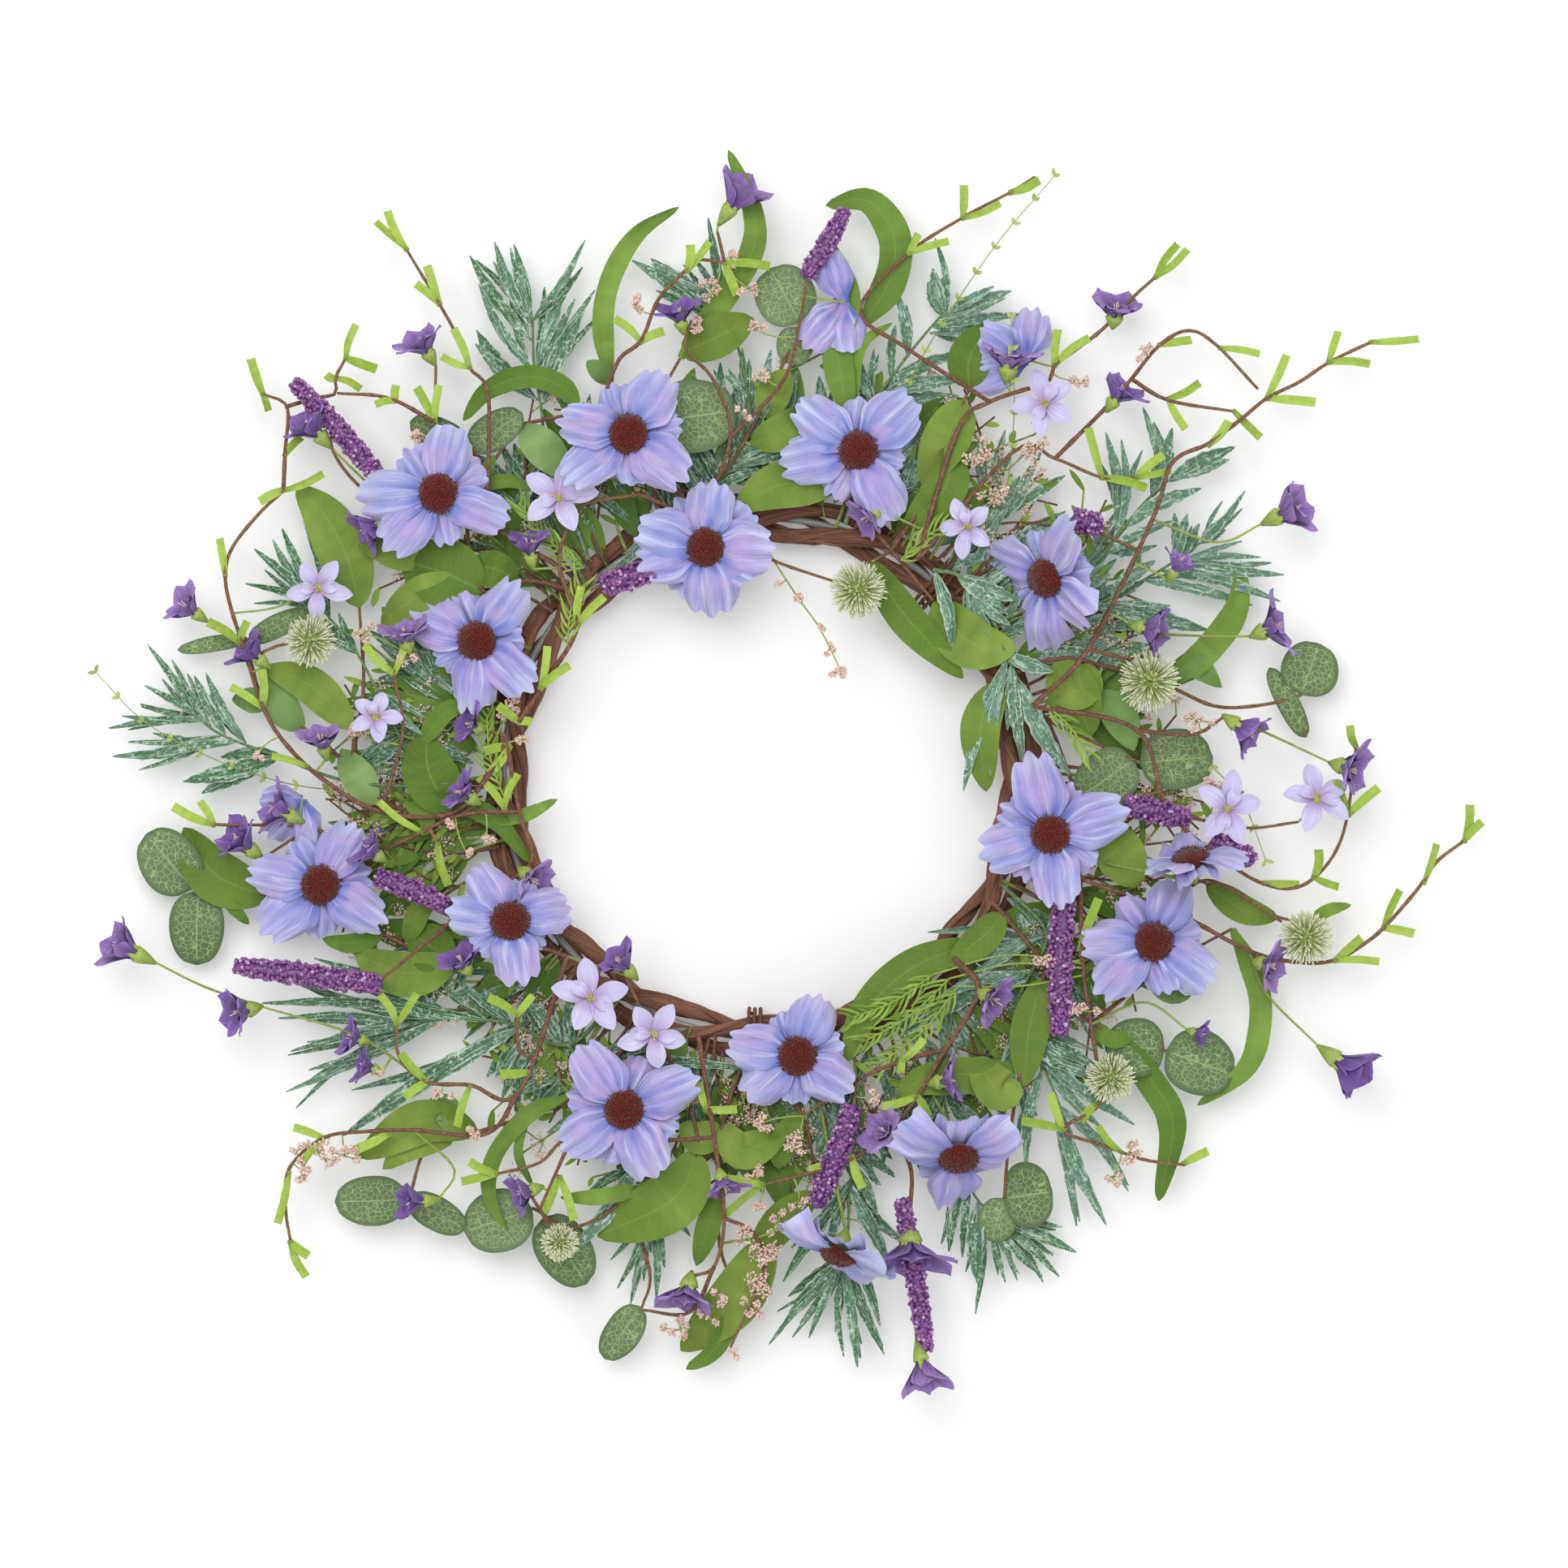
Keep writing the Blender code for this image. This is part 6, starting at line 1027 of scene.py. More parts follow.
        # green calyx: a cone with pointed sepals
        n = 7
        tc = np.linspace(0, 1, n)
        rad = 0.0007 + S * 0.120 * np.sin(tc * 1.35) ** 1.1
        path = foot + d * (tip_len * 0.40) * tc[:, None] - d * 0.001
        tube(self.blooms, path, rad, mix(lin((126, 150, 62)), lin((166, 184, 92)), tc), 9, 1, 0.0)
        for k in range(5):
            ang = math.tau * k / 5 + 0.3
            rows2 = 7
            ts = np.linspace(0, 1, rows2)
            z = tip_len * (0.28 + 0.36 * ts)
            r = S * (0.09 + 0.10 * ts ** 1.4)
            w = S * 0.052 * (1 - ts) ** 0.8 + 0.00012
            y = w[:, None] * np.linspace(-1, 1, 3)[None]
            x = r[:, None] + 0 * y
            loc = np.stack([x * math.cos(ang) - y * math.sin(ang), x * math.sin(ang) + y * math.cos(ang),
                            z[:, None] + 0 * y], -1)
            self.blooms.grid(foot + loc @ F.T, lin((168, 194, 88)), mat=1)
        # stamens
        m = 5
        st = np.repeat((foot + d * tip_len * 0.45)[None], m, 0)
        en = foot + d * tip_len * 0.78 + g.normal(0, 0.0008, (m, 3))
        quills(self.blooms, st, en, 0.0003, 0.00035, lin((170, 150, 190)), lin((226, 208, 170)), mat=0)

    # lilac star
    def do_V(self, cu, cv, turn, size, tilt=0):
        g = self.rng
        c = self.foot(cu, cv)
        S = size * STEP
        if tilt >= 40:
            d = unit([math.cos(math.radians(turn)) * 0.5, math.sin(math.radians(turn)) * 0.5 + 0.4, 0.55])
            d = unit(np.array([0.0, 0.85, 0.5])) if turn == 0 else d
        else:
            d = unit([math.cos(math.radians(turn)) * math.sin(math.radians(tilt)),
                      math.sin(math.radians(turn)) * math.sin(math.radians(tilt)), math.cos(math.radians(tilt))])
        F = basis(d, math.radians(turn))
        base = c + d * 0.0042
        rows, cols = 13, 7
        t = np.linspace(0, 1, rows)
        a = np.linspace(-1, 1, cols)
        for layer, (count, reach) in enumerate(((5, 0.60), (2, 0.36))):
            for k in range(count):
                ang = math.tau * (k + 0.5 * layer) / count + g.uniform(-0.16, 0.16)
                L = S * reach * g.uniform(0.88, 1.08)
                x = 0.0012 + L * t
                zz = L * (0.42 * t - 0.38 * t ** 2.4) + 0.0010 * layer + L * 0.03 * np.sin(5 * t + k)
                w = S * (0.175 - 0.05 * layer) * np.clip(np.sin(np.pi * (t ** 1.15 * 0.92 + 0.07)) ** 0.7, 0, 1)
                y = w[:, None] * a[None]
                z2 = zz[:, None] + w[:, None] * 0.30 * (a ** 2)[None]
                X = x[:, None] + 0 * y
                loc = np.stack([X * math.cos(ang) - y * math.sin(ang), X * math.sin(ang) + y * math.cos(ang), z2], -1)
                tone = mix(lin((176, 154, 200)), lin((198, 194, 226)), smoothstep(0.0, 0.6, t)[:, None].repeat(cols, 1))
                par = np.stack([np.broadcast_to(a[None], (rows, cols)), np.broadcast_to(t[:, None], (rows, cols)),
                                np.full((rows, cols), g.uniform(0, 40))], -1)
                self.blooms.grid(base + loc @ F.T, tone, par, mat=2)
        tube(self.blooms, np.array([c - d * 0.001, c + d * 0.002, base + d * 0.0010]), [0.0009, 0.0015, 0.0020],
             lin((160, 186, 84)), 8, 1)
        m = 9
        st = np.repeat((base + d * 0.0005)[None], m, 0)
        en = st + d * 0.0032 + g.normal(0, 0.0012, (m, 3))
        quills(self.blooms, st, en, 0.00025, 0.0004, lin((196, 150, 180)), lin((224, 196, 140)), mat=2)

    # beaded spike
    def do_S(self, u0, v0, u1, v1, dia):
        g = self.rng
        a, b = self.foot(u0, v0, 0.0009, lin((120, 96, 70)), 1), self.at(u1, v1)
        L = np.linalg.norm(b - a)
        n = 12
        path = spline([a, (a + b) / 2 + UP * 0.001 + np.cross(UP, unit(b - a)) * g.uniform(-0.03, 0.03) * L, b], n)
        R = dia * STEP * 0.5
        core = R * 0.86 * (0.45 + 0.40 * np.sin(np.pi * np.clip(np.linspace(0, 1, n) * 0.9 + 0.08, 0, 1)) ** 0.6)
        tube(self.trim, path, core, lin((104, 62, 122)), 9, 1)
        count = int(L * R * 2 * math.pi / (0.00176 ** 2) * 1.02)
        t = np.clip((np.arange(count) + 0.5) / count + g.normal(0, 0.0006 / L, count), 0, 1)
        ang = np.arange(count) * 2.39996 + g.uniform(-0.7, 0.7, count)
        # lumps: clusters of beads bulge from the stalk
        lump = 0.5 + 0.5 * np.sin(t * L / 0.0062 * math.tau + 1.6 * np.sin(ang * 1.0 + 1)) * np.cos(ang * 2 + t * L / 0.004)
        prof = (0.55 + 0.45 * np.sin(np.pi * np.clip(t * 0.9 + 0.08, 0, 1)) ** 0.6)
        rad = R * 1.02 * prof * (0.76 + 0.26 * lump) * g.uniform(0.92, 1.10, count)
        tt, s, nn = frames(path)
        i = np.clip((t * (n - 1)), 0, n - 1.001)
        k = i.astype(int)
        f = (i - k)[:, None]
        c = path[k] * (1 - f) + path[k + 1] * f
        pos = c + rad[:, None] * (np.cos(ang)[:, None] * s[k] + np.sin(ang)[:, None] * nn[k])
        tones = mix(lin((116, 66, 132)), lin((162, 108, 166)), g.uniform(0, 1, count))
        # painted highlight: about one bead in ten gets a pale tone
        light = g.uniform(0, 1, count) < 0.10
        tones[light] = lin((206, 168, 208))
        beads(self.trim, pos, g.uniform(0.00084, 0.00104, count), tones, 1, 5, 6)

    # thistle
    def do_T(self, cu, cv, dia):
        g = self.rng
        c = self.foot(cu, cv, 0.0009, lin((130, 104, 72)), 1) + UP * 0.004
        R = dia * STEP * 0.5
        lat = np.linspace(-1.5, 1.5, 9)
        lon = np.arange(12) * math.tau / 12
        core = R * 0.42
        ball = np.stack([np.cos(lat)[:, None] * np.cos(lon)[None], np.cos(lat)[:, None] * np.sin(lon)[None],
                         np.broadcast_to(np.sin(lat)[:, None], (9, 12))], -1)
        self.trim.grid(c + core * ball, lin((156, 176, 84)), wrap=True, mat=3)
        m = 330
        i = np.arange(m) + 0.5
        ph = np.arccos(1 - 2 * i / m)
        th = math.pi * (1 + 5 ** 0.5) * i
        d = np.stack([np.cos(th) * np.sin(ph), np.sin(th) * np.sin(ph), np.cos(ph)], -1)
        d = unit(d + g.normal(0, 0.07, d.shape))
        ln = R * g.uniform(0.86, 1.06, m)[:, None]
        quills(self.trim, c + d * core * 0.9, c + d * ln, 0.00044, 0.00036, lin((166, 184, 96)), lin((236, 238, 206)),
               mat=3, mid=(0.72, 0.00034))

    # pink buds
    def do_K(self, cu, cv, size):
        g = self.rng
        q = self.at(cu, cv, g.uniform(0.0, 0.002))
        away, p = self.near(q)
        if away > 0.0012:
            self.wire(p, q, 0.00045, lin((158, 176, 96)))
        R = size * STEP * 0.5
        R = R * 1.15
        heads = max(3, int(size / 5))
        for k in range(heads):
            off = g.normal(0, 0.42, 3) * R * np.array([1, 1, 0.7])
            c = q + off
            m = 22
            d = unit(g.normal(0, 1, (m, 3)))
            rr = g.uniform(0.45, 1.0, m)[:, None] * max(R * 0.40, 0.0014)
            tones = mix(lin((222, 186, 172)), lin((244, 224, 210)), g.uniform(0, 1, m))
            beads(self.trim, c + d * rr, g.uniform(0.00045, 0.00080, m), tones, 2)
            self.wire(q - UP * 0.001, c, 0.0004, lin((158, 176, 96)))

    # a cosmos head mostly hidden: only its outer petals show
    def do_C(self, cu, cv, size, turn):
        g = self.rng
        c = self.foot(cu, cv) - UP * 0.004
        F = basis(unit([0.15, 0.1, 0.95]))
        for k, deg in enumerate({372: (98, 150, 60), 1040: (104, -14, 150), 1266: (78, 28, -48)}.get(cu, (0, 120, 240))):
            petal(self.blooms, c, F, math.radians(deg), size * STEP * (1.25 - 0.1 * k), size * STEP * 0.42, 0.0004 * k, g,
                  g.uniform(0, 60), 3, 0.2, lobes=3, sag=0.12)

    # needle sprig
    def do_N(self, u0, v0, u1, v1):
        g = self.rng
        a, b = self.foot(u0, v0, 0.0006), self.at(u1, v1)
        L = np.linalg.norm(b - a)
        n = 12
        path = under(spline([a, (a + b) / 2 + np.cross(UP, unit(b - a)) * L * 0.06, b], n))
        tube(self.stems, path, 0.0005, lin((140, 164, 66)), 5, 0)
        m = int(L / 0.0016)
        for k in range(m):
            t = (k + 0.5) / m
            i = min(int(t * (n - 1)), n - 2)
            p = path[i] + (path[i + 1] - path[i]) * (t * (n - 1) - i)
            d = unit(path[i + 1] - path[i])
            s = np.cross(UP, d) * (1 if k % 2 else -1)
            q = p + (d * g.uniform(0.7, 1.0) + s * g.uniform(0.25, 0.6) + UP * g.uniform(-0.1, 0.3)) * g.uniform(0.008, 0.013)
            mid = (p + q) / 2 + s * 0.0008
            sheet(self.leaves, spline([p, mid, q], 5), 0.0006 * np.array([0.7, 1, 1, 0.8, 0.15]), 3, roll=g.uniform(-0.6, 0.6),
                  fold=0.3, tone=mix(lin((116, 148, 52)), lin((164, 190, 88)), g.uniform(0, 1)), mat=0, num=g.uniform(0, 9))

    # a pair of leaf scales at each joint of a pale thin sprig
    def scales(self, path, every=0.012):
        g = self.rng
        n = int(path_len(path) / every)
        pp = spline(path, max(n, 3))
        for k in range(1, len(pp)):
            d = unit(pp[k] - pp[k - 1])
            for sgn in (-1, 1):
                s = np.cross(UP, d) * sgn
                q = pp[k] + d * 0.0022 + s * g.uniform(0.0014, 0.0030)
                sheet(self.leaves, spline([pp[k], q], 4), 0.0009 * np.array([0.5, 1, 0.9, 0.2]), 3, fold=0.2,
                      tone=lin((176, 192, 118)), mat=0)

    def fill(self, items):
        """The small stuff between the listed parts: side leaves, bud sprigs and short twigs near the ring."""
        g = self.rng
        spots = []
        for it in items:
            if it[0] in "FLPVSTEKC":
                spots.append((it[1], it[2]))
            else:
                spots += [tuple(q) for q in it[2]] if it[0] in "WGABQ" else []
        spots = [xy(*q) for q in spots]
        count = {"frost": 19, "leaf": 16, "wild": 21}[self.look]
        for k in range(count):
            p = spots[int(g.integers(len(spots)))] - np.array([RX, RY])
            ang = math.atan2(p[1], p[0]) + g.uniform(-0.13, 0.13)
            kind = g.uniform()
            if self.look == "wild":
                # short twig from the ring outwards
                r0, ln = RING_R + g.uniform(0.001, 0.012), g.uniform(0.040, 0.075)
                bend = g.uniform(-0.35, 0.35)
                pts = []
                for t in np.linspace(0, 1, 5):
                    rr, th = r0 + ln * t, ang + bend * t * t
                    x, y = RX + rr * math.cos(th), RY + rr * math.sin(th)
                    pts.append([x, y, float(lift(x, y)) - 0.0045 + g.uniform(-0.0015, 0.0015)])
                path = under(spline(pts, 14))
                brown = kind < 0.62
                tone = lin((112, 80, 60)) if brown else lin((138, 152, 82))
                tube(self.stems, path, np.linspace(0.00085, 0.00050, 14), tone, 5, 1 if brown else 0, g.uniform(0, 9))
                for j in range(3, 14, 2 if kind > 0.5 else 3):
                    dd = unit(path[j] - path[j - 1])
                    s = np.cross(UP, dd) * (1 if j % 2 else -1)
                    q = path[j] + (dd * 0.8 + s * g.uniform(0.5, 1.0) + UP * 0.2) * g.uniform(0.005, 0.010)
                    if g.uniform() < 0.45:
                        tube(self.stems, np.array([path[j], (path[j] + q) / 2, q]), 0.00035, lin((156, 172, 98)), 4, 0)
                        m = 26
                        e = g.normal(0, 1, (m, 3)) * np.array([0.0016, 0.0016, 0.0010])
                        beads(self.trim, q + e, g.uniform(0.00040, 0.00072, m),
                              mix(lin((222, 186, 172)), lin((244, 224, 210)), g.uniform(0, 1, m)), 2)
                    else:
                        ln2 = g.uniform(0.7, 1.3)
                        q = path[j] + (q - path[j]) * ln2
                        sheet(self.leaves, spline([path[j], (path[j] + q) / 2 + UP * 0.0006, q], 6),
                              g.uniform(0.0010, 0.0019) * np.array([0.4, 0.8, 1, 1, 0.8, 0.15]), 5, roll=g.uniform(-0.5, 0.5),
                              fold=0.3, tone=mix(lin((104, 136, 48)), lin((158, 184, 80)), g.uniform(0, 1)), mat=0,
                              num=g.uniform(0, 9))
            else:
                r0 = RING_R + g.uniform(0.004, 0.042)
                ln = g.uniform(0.026, 0.042)
                th = ang + g.uniform(-0.6, 0.6)
                a = np.array([RX + r0 * math.cos(ang), RY + r0 * math.sin(ang)])
                bq = a + ln * np.array([math.cos(th), math.sin(th)])
                a = np.array([*a, float(lift(*a)) - 0.0060 + g.uniform(-0.002, 0.002)])
                bq = np.array([*bq, float(lift(*bq)) - 0.0055 + g.uniform(-0.003, 0.003)])
                if self.look == "frost":
                    for s in range(3):
                        t = g.uniform(-0.42, 0.42)
                        q = (bq - a) * g.uniform(0.7, 1.05)
                        q = np.array([q[0] * math.cos(t) - q[1] * math.sin(t), q[0] * math.sin(t) + q[1] * math.cos(t), q[2]])
                        self.leaflet(a + q * 0.1 * s, a + q * (1 + 0.1 * s), g.uniform(9, 15))
                else:
                    n = 15
                    side = np.cross(UP, unit(bq - a)) * g.uniform(-0.12, 0.12) * ln
                    path = under(spline([a, (a + bq) / 2 + side + UP * 0.0015, bq], n))
                    t = np.linspace(0, 1, n)
                    half = g.uniform(0.0036, 0.0066) * np.clip(np.sin(np.pi * t ** 0.9), 0, 1) ** 0.75 + 0.0003
                    tone = mix(lin((78, 106, 42)), lin((120, 148, 66)), g.uniform(0, 1))
                    sheet(self.leaves, path, half, 7, roll=g.uniform(-0.4, 0.4), fold=0.2, curl=0.05, tone=tone, mat=0,
                          num=g.uniform(0, 50))
                    tube(self.stems, np.array([a - (bq - a) * 0.15, a]), 0.0005, lin((122, 140, 66)), 4, 0)

    def build(self):
        name = self.name
        out = []
        leaf_mats = [M["frost"]] if self.look == "frost" else [M["leaf"], M["euca"]]
        stalk = [M["stalk"], M["twig"]]
        for soup, tail, mats in ((self.stems, "stalks", stalk), (self.leaves, "leaves", leaf_mats),
                                 (self.blooms, "blooms", [M["violet"], M["stalk"], M["lilac"], M["petal"]]),
                                 (self.trim, "trim", [M["lime"], M["bead"], M["bud"], M["thistle"]])):
            ob = soup.build(name + "_" + tail, mats)
            if ob is None:
                continue
            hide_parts(name)
            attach(ob, "root")
            out.append(ob)
        return out


# ----------------------------------------------------------- cosmos flowers
def petal(sp, base, F, ang, L, W, z0, g, num, mat=0, rise=0.27, lobes=3, sag=0.0, shaded_low=False):
    """One pleated cosmos petal with a ragged, lobed end."""
    rows, cols = 21, 17
    t = np.linspace(0, 1, rows)[:, None]
    a = np.linspace(-1, 1, cols)[None]
    ph = g.uniform(0, 6, 6)
    # outline: the end is scalloped
    scallop = 0.075 * (np.abs(np.sin((a + 0.03 * ph[0]) * math.pi * lobes / 2 + ph[1] * 0.3)) - 0.6)
    scallop = scallop + 0.022 * np.sin(a * 8 + ph[2])
    reach = L * (1 - 0.22 * np.abs(a) ** 3.0 + 1.25 * scallop * (1 - 0.4 * a ** 2))
    x = reach * t
    grow = 0.24 + 0.76 * smoothstep(0.0, 0.58, t)
    shut = 1 - 0.05 * smoothstep(0.85, 1.0, t)
    w = W * grow * shut * (1 + 0.05 * np.sin(t * 7 + ph[3]))
    y = w * a + 0.03 * L * math.sin(ph[4]) * t ** 2
    pleat = (0.00075 * np.sin(a * math.pi * 3.4 + ph[5]) + 0.00035 * np.sin(a * math.pi * 8 + ph[2])) * smoothstep(
        0.05, 0.55, t)
    ruffle = L * 0.085 * np.sin(a * 2.6 + ph[0]) * t ** 2.2 + L * 0.035 * np.sin(a * 5.5 + ph[1]) * t ** 3
    cup = w * (0.16 * a ** 2) * (1 - 1.1 * t)
    curl = -L * 0.16 * smoothstep(0.62, 1.05, t) * (0.6 + 0.5 * np.sin(ph[3])) - w * 0.30 * smoothstep(0.55, 1.0,
                                                                                                 np.abs(a)) * t ** 1.5
    z = z0 + rise * x * (1 - 0.25 * t) + pleat + ruffle + cup + curl - sag * L * t ** 2
    loc = np.stack([x * math.cos(ang) - y * math.sin(ang), x * math.sin(ang) + y * math.cos(ang), z], -1)
    base_c, mid_c, tip_c, pink = lin((90, 104, 186)), lin((154, 162, 216)), lin((196, 204, 234)), lin((184, 162, 210))
    mid_c = mix(mid_c, lin((168, 158, 212)), g.uniform(0, 1))
    tip_c = mix(tip_c, lin((196, 184, 222)), g.uniform(0, 0.8))
    tone = mix(base_c, mid_c, smoothstep(0.12, 0.52, t + 0.07 * np.sin(a * 9 + ph[3]) - 0.05 * np.abs(a)))
    tone = mix(tone, tip_c, 0.75 * smoothstep(0.62, 1.0, t + 0.06 * np.sin(a * 8 + ph[2])))
    tone = mix(tone, pink, 0.45 * np.exp(-((t - 0.62) / 0.2) ** 2) * (0.5 + 0.5 * np.sin(a * 2 + ph[4])))
    # painted light and shade: the tone follows the pleats, lighter on their ridges and darker in their furrows
    tone = tone * (1 + 0.08 * np.sin(a * math.pi * 3.4 + ph[5]) * smoothstep(0.05, 0.4, t))[..., None]
    # painted shade: each petal darkens along its side edges towards the foot, where neighbouring petals overlap
    tone = tone * (1 - 0.16 * np.abs(a) ** 3 * (1 - t))[..., None]
    # painted shade: the lower petals, which sit under the upper ones, are darkened and turned bluer
    if shaded_low:
        tone = tone * np.array([0.86, 0.88, 0.94])
    par = np.stack([np.broadcast_to(a * 0.5, (rows, cols)), np.broadcast_to(t, (rows, cols)),
                    np.full((rows, cols), num)], -1)
    sp.grid(base + loc @ F.T, tone, par, mat=mat)


def head(sp, c, axis, reach, turn, petals, g, mat=0, rise=0.27):
    F = basis(axis)
    full = {9: 1.24, 8: 0.90}.get(petals, 0.80)
    for k in range(petals):
        low = k % 2 == 1
        ang = turn + math.tau * (k + 0.5) / petals + g.uniform(-0.13, 0.13)
        L = reach * ({9: 0.95, 8: 0.82}.get(petals, 0.76) if low else 1.10) * g.uniform(0.90, 1.05)
        W = reach * math.tan(math.pi / petals) * full * (0.78 if low else 0.96) * g.uniform(0.88, 1.10)
        petal(sp, c, F, ang, L, W, (-0.0016 if low else 0.0012) + 0.0002 * k, g, g.uniform(0, 60), mat,
              rise + g.uniform(-0.05, 0.03), lobes=int(g.integers(3, 5)), sag=g.uniform(-0.03, 0.12), shaded_low=low)


def dome(sp, c, axis, r, h, g):
    """A flocked centre: a knobbly dome thick with short bristles."""
    F = basis(axis)
    rows, cols = 14, 36
    lat = np.linspace(0.0, math.pi / 2 * 0.985, rows)
    lon = np.arange(cols) * math.tau / cols
    bump = 1 + 0.035 * np.sin(lon[None] * 9 + lat[:, None] * 13) + 0.03 * g.standard_normal((rows, cols))
    ball = np.stack([r * np.cos(lat)[:, None] * np.cos(lon)[None] * bump, r * np.cos(lat)[:, None] * np.sin(lon)[None] * bump,
                     h * np.sin(lat)[:, None] * bump], -1)
    skirt = ball[:1] * np.array([0.86, 0.86, 0.0]) - np.array([0, 0, 0.0012])
    ball = np.concatenate([skirt, ball], 0)
    sp.grid(c + ball @ F.T, lin((92, 26, 24)), wrap=True, mat=0)
    m = 520
    i = np.arange(m) + 0.5
    ph = np.arccos(1 - i / m)
    th = math.pi * (1 + 5 ** 0.5) * i
    d = np.stack([np.cos(th) * np.sin(ph), np.sin(th) * np.sin(ph), np.cos(ph)], -1)
    d = d + g.normal(0, 0.05, d.shape)
    p = d * np.array([r, r, h]) * 0.97
    nrm = unit(d / np.array([r, r, h]))
    q = p + nrm * g.uniform(0.00045, 0.0010, m)[:, None] + g.normal(0, 0.00015, (m, 3))
    tones = g.uniform(0, 1, m)[:, None]
    k = np.where(tones < 0.30, lin((150, 70, 44))[None], np.where(tones < 0.65, lin((104, 32, 28))[None], lin((66, 16, 16))[None]))
    quills(sp, c + p @ F.T, c + q @ F.T, 0.00026, 0.00018, lin((74, 20, 20)), k[:, None, None], mat=0)


# ------------------------------------------------------------ build: sprays


def basis(axis, spin=0.0):
    F = track(axis)
    c, s = math.cos(spin), math.sin(spin)
    return F @ np.array([[c, -s, 0.0], [s, c, 0.0], [0.0, 0.0, 1.0]])


for name, look, items in PICKS:
    Pick(name, look, items).build()


# ------------------------------------------------------------ build: cosmos
for cid, u, v, reach, turn, toward, tilt, petals in COSMOS:
    g = np.random.default_rng(900 + int(cid))
    hname, cname = "cosmos_head_" + cid, "cosmos_centre_" + cid
    c, axis, _ = HEADS[cid]
    petals_soup, middle = Soup(), Soup()
    head(petals_soup, c, axis, reach * STEP, math.radians(turn), petals, g)
    # calyx and stalk
    F = track(axis)
    tc = np.linspace(0, 1, 7)
    rad = 0.0011 + 0.0044 * np.sin(tc * 1.5) ** 1.2
    tube(petals_soup, c + axis * (-0.0085 + 0.0078 * tc)[:, None], rad,
         mix(lin((120, 144, 62)), lin((150, 174, 84)), tc), 12, 1)
    for k in range(8):
        a = math.tau * k / 8 + 0.2
        t = np.linspace(0, 1, 7)
        rr = 0.0040 + 0.0070 * t
        zz = -0.0022 + 0.0024 * t
        w = 0.0017 * (1 - t) ** 0.7 + 0.0001
        y = w[:, None] * np.linspace(-1, 1, 3)[None]
        X = rr[:, None] + 0 * y
        loc = np.stack([X * math.cos(a) - y * math.sin(a), X * math.sin(a) + y * math.cos(a), zz[:, None] + 0 * y], -1)
        petals_soup.grid(c + loc @ F.T, lin((142, 168, 78)), mat=1)
    foot = c - axis * 0.0078
    d = np.array([foot[0] - RX, foot[1] - RY])
    rho = np.linalg.norm(d)
    ring_at = np.array([RX, RY]) + d / rho * RING_R
    end = np.array([ring_at[0], ring_at[1], 0.0170])
    if np.linalg.norm(end - foot) > 0.004:
        side = np.cross(UP, unit(end - foot)) * 0.0012
        run = spline([foot, (foot + end) / 2 + side - UP * 0.004, end], max(6, int(np.linalg.norm(end - foot) / 0.004)))
        tube(petals_soup, under(run, own=cid),
             0.00085, lin((122, 142, 66)), 7, 1)
    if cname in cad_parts:
        dome(middle, c + axis * (CUP * DOME_R + 0.4 * PETAL_T), axis, DOME_R, DOME_H, g)
        ob = middle.build("cosmos_middle_" + cid, [M["flock"]])
        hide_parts(cname)
        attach(ob, "root")
    else:
        inner = Soup()
        dome(inner, c + axis * 0.0022, axis, DOME_R * 0.93, DOME_H, g)
        ob = inner.build("cosmos_middle_" + cid, [M["flock"]])
        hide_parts(hname)
        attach(ob, "root")
    ob = petals_soup.build("cosmos_petals_" + cid, [M["petal"], M["stalk"]])
    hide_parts(hname)
    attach(ob, "root")


# -------------------------------------------------------------- build: ring
def ring_pts(theta, phase, off):
    theta, phase, off = np.broadcast_arrays(theta, phase, off)
    rho = RING_R + off * np.cos(phase)
    return np.stack([RX + rho * np.cos(theta), RY + rho * np.sin(theta), BUNDLE_Z + off * np.sin(phase)], -1)


def closed_tube(sp, path, r, tone, sides, mat, num):
    """A tube along a closed path; the last point is the first again."""
    n = len(path)
    t = unit(np.roll(path, -1, 0) - np.roll(path, 1, 0))
    s = unit(np.cross(UP, t))
    nn = np.cross(t, s)
    a = np.arange(sides) * math.tau / sides
    r = np.broadcast_to(r, (n, sides))
    pts = path[:, None] + r[..., None] * (np.cos(a)[None, :, None] * s[:, None] + np.sin(a)[None, :, None] * nn[:, None])
    pts[..., 2] = np.maximum(pts[..., 2], 0.0)
    along = np.arange(n) * (math.tau * RING_R / n)
    par = np.stack([np.broadcast_to(a[None], (n, sides)), np.broadcast_to(along[:, None], (n, sides)),
                    np.full((n, sides), num)], -1)
    pts = np.concatenate([pts, pts[:1]], 0)
    par = np.concatenate([par, par[-1:]], 0)
    tone = np.concatenate([tone, tone[:1]], 0)
    sp.grid(pts, tone, par, wrap=True, mat=mat)


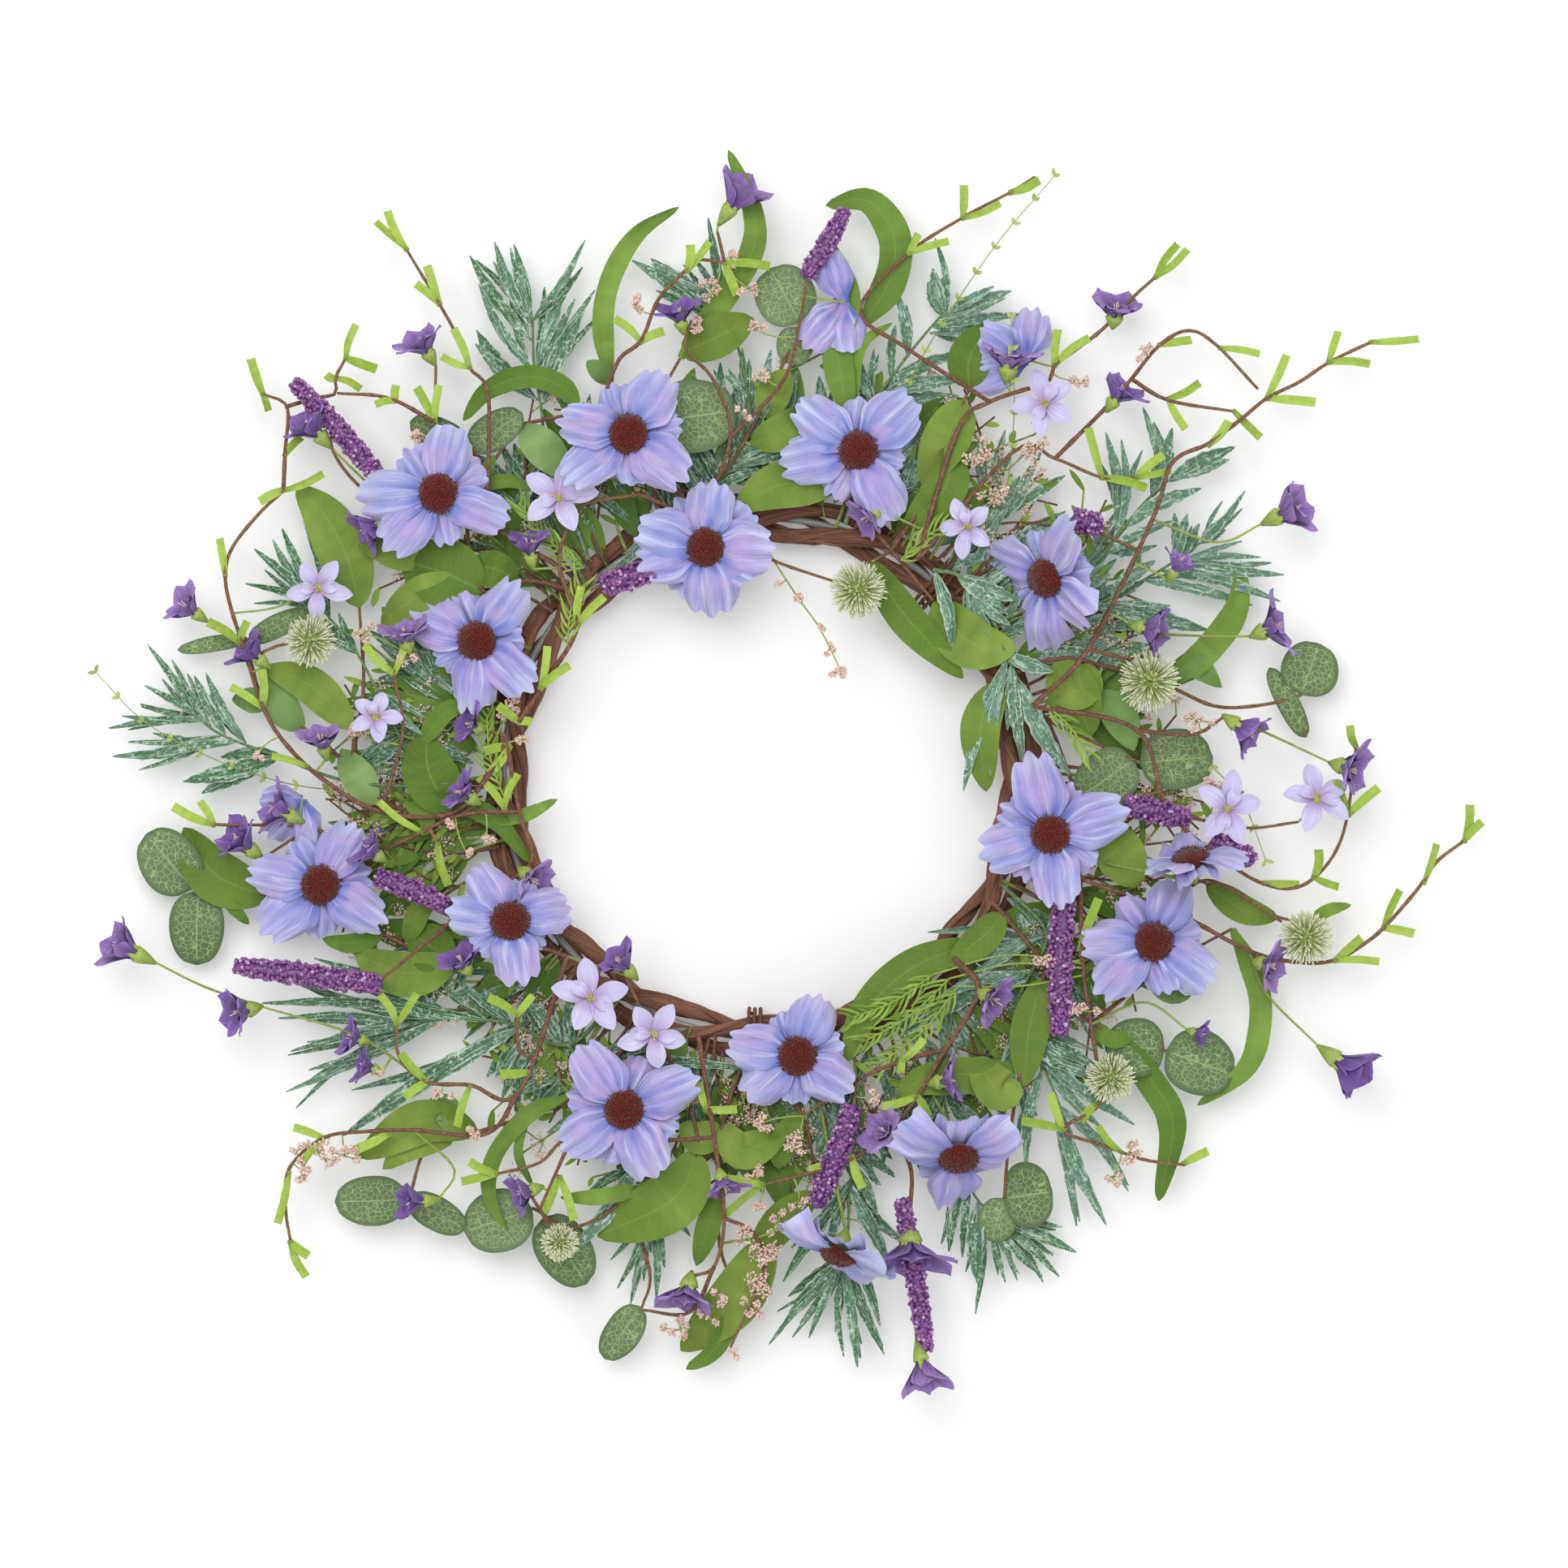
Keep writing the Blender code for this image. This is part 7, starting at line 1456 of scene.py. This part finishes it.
for k, letter in enumerate("abc"):
    g = np.random.default_rng(50 + k)
    sp = Soup()
    n = 420
    th = math.tau * np.arange(n) / n
    ph = -math.pi / 2 + VINE_TURNS * (th + math.pi / 2) + k * math.tau / 3
    wob = sum(0.00040 * np.sin(m * th + g.uniform(0, 6)) for m in (7, 13, 22, 31))
    core = ring_pts(th, ph, VINE_LAY + 0.4 * wob)
    a = np.arange(10) * math.tau / 10
    r = 0.0030 + 0.0004 * np.sin(5 * th + k)[:, None] + 0.00022 * np.sin(3 * a[None] + 17 * th[:, None])
    knot = sum(0.0007 * np.exp(-((((th - q + math.pi) % math.tau) - math.pi) / 0.022) ** 2) for q in g.uniform(0, math.tau, 9))
    r = r + knot[:, None]
    tone = mix(lin((104, 70, 56)), lin((132, 92, 74)), 0.5 + 0.5 * np.sin(3 * th + k))
    closed_tube(sp, core, r, tone[:, None].repeat(10, 1), 10, 0, 3.0 * k)
    # thinner tendrils wound round the vine
    for j in range(4):
        m = (6 + 2 * j) * (1 if j % 2 else -1)
        q = m * th + g.uniform(0, math.tau)
        off = 0.0029 + 0.0003 * np.sin(9 * th + j)
        t = unit(np.roll(core, -1, 0) - np.roll(core, 1, 0))
        s = unit(np.cross(UP, t))
        nn = np.cross(t, s)
        path = core + off[:, None] * (np.cos(q)[:, None] * s + np.sin(q)[:, None] * nn)
        rr = (0.0012 + 0.0003 * np.sin(11 * th + j))[:, None] * np.ones((1, 6))
        shade = mix(lin((92, 58, 46)), lin((150, 108, 86)), g.uniform(0.0, 1.0) * 0.6 + 0.4 * (0.5 + 0.5 * np.sin(7 * th + j)))
        closed_tube(sp, path, rr, shade[:, None].repeat(6, 1), 6, 0, 3.0 * k + j + 1)
    ob = sp.build("vine_twist_" + letter, [M["bark"]])
    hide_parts("vine_strand_" + letter)
    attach(ob, "root")

# hoop wire
sp = Soup()
n = 240
th = math.tau * np.arange(n) / n
closed_tube(sp, ring_pts(th, 0.0, 0.0), 0.0015 * np.ones((n, 10)), np.broadcast_to(lin((150, 150, 146)), (n, 10, 3)), 10, 0, 0)
ob = sp.build("hoop_of_wire", [M["wire"]])
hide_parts("wire_hoop")
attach(ob, "root")

# bindings
for name, deg in (("binding_wrap_upper", 48.0), ("binding_wrap_lower", 268.0)):
    sp = Soup()
    rad = VINE_LAY + VINE_R + 0.0008 + GAP
    arc = np.radians(np.linspace(-36, 216, 40))
    pts = []
    for row in range(3):
        th = math.radians(deg) + (row - 1) * 0.0028 / RING_R
        pts.append(ring_pts(th, arc if row % 2 == 0 else arc[::-1], rad))
    path = spline(np.vstack(pts), 180)
    tube(sp, path, 0.0008 * (1 + 0.12 * np.sin(np.arange(180) * 0.9)), lin((108, 74, 58)), 8, 0, 4.0)
    ob = sp.build(name + "_wire", [M["bark"]])
    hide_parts(name)
    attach(ob, "root")

# ----------------------------------------------------------- stage and light
floor_mat = bpy.data.materials.new("paper_white")
floor_mat.use_nodes = True
b = floor_mat.node_tree.nodes["Principled BSDF"]
b.inputs["Base Color"].default_value = (0.80, 0.80, 0.80, 1)
b.inputs["Emission Color"].default_value = (1.0, 1.0, 1.0, 1.0)
b.inputs["Emission Strength"].default_value = 0.175
b.inputs["Roughness"].default_value = 0.95
b.inputs["Specular IOR Level"].default_value = 0.1
me = bpy.data.meshes.new("studio_floor")
s = 14.0
me.from_pydata([(-s, -s, 0), (s, -s, 0), (s, s, 0), (-s, s, 0)], [], [(0, 1, 2, 3)])
floor = bpy.data.objects.new("studio_floor", me)
me.materials.append(floor_mat)
bpy.context.scene.collection.objects.link(floor)

scene = bpy.context.scene
scene.view_settings.view_transform = "Standard"
scene.view_settings.look = "None"
scene.view_settings.exposure = 0.0
scene.view_settings.gamma = 1.0
world = scene.world or bpy.data.worlds.new("studio")
scene.world = world
world.use_nodes = True
bg = world.node_tree.nodes["Background"]
bg.inputs["Color"].default_value = (1.0, 1.0, 1.0, 1.0)
bg.inputs["Strength"].default_value = 0.60


def area(name, where, size, power, aim=(0, 0, 0)):
    lamp = bpy.data.lights.new(name, "AREA")
    lamp.shape = "SQUARE"
    lamp.size = size
    lamp.energy = power
    lamp.color = (1.0, 1.0, 1.0)
    ob = bpy.data.objects.new(name, lamp)
    ob.location = where
    ob.rotation_euler = (Vector(aim) - Vector(where)).to_track_quat("-Z", "Y").to_euler()
    scene.collection.objects.link(ob)
    return ob


area("key_soft", (-0.45, 0.75, 2.5), 1.9, 42.0)
area("fill_soft", (1.3, -0.6, 2.0), 1.6, 8.0)

cam_data = bpy.data.cameras.new("overhead")
cam_data.type = "PERSP"
cam_data.sensor_width = 36.0
D = 3.0
cam_data.lens = 36.0 * (D - 0.03) / (1932 * STEP)
cam_data.clip_end = 60.0
cam_data.dof.use_dof = False
camera = bpy.data.objects.new("overhead", cam_data)
camera.location = ((966 - GRID_MID[0]) * STEP, (GRID_MID[1] - 966) * STEP, D)
camera.rotation_euler = (0.0, 0.0, 0.0)
scene.collection.objects.link(camera)
scene.camera = camera
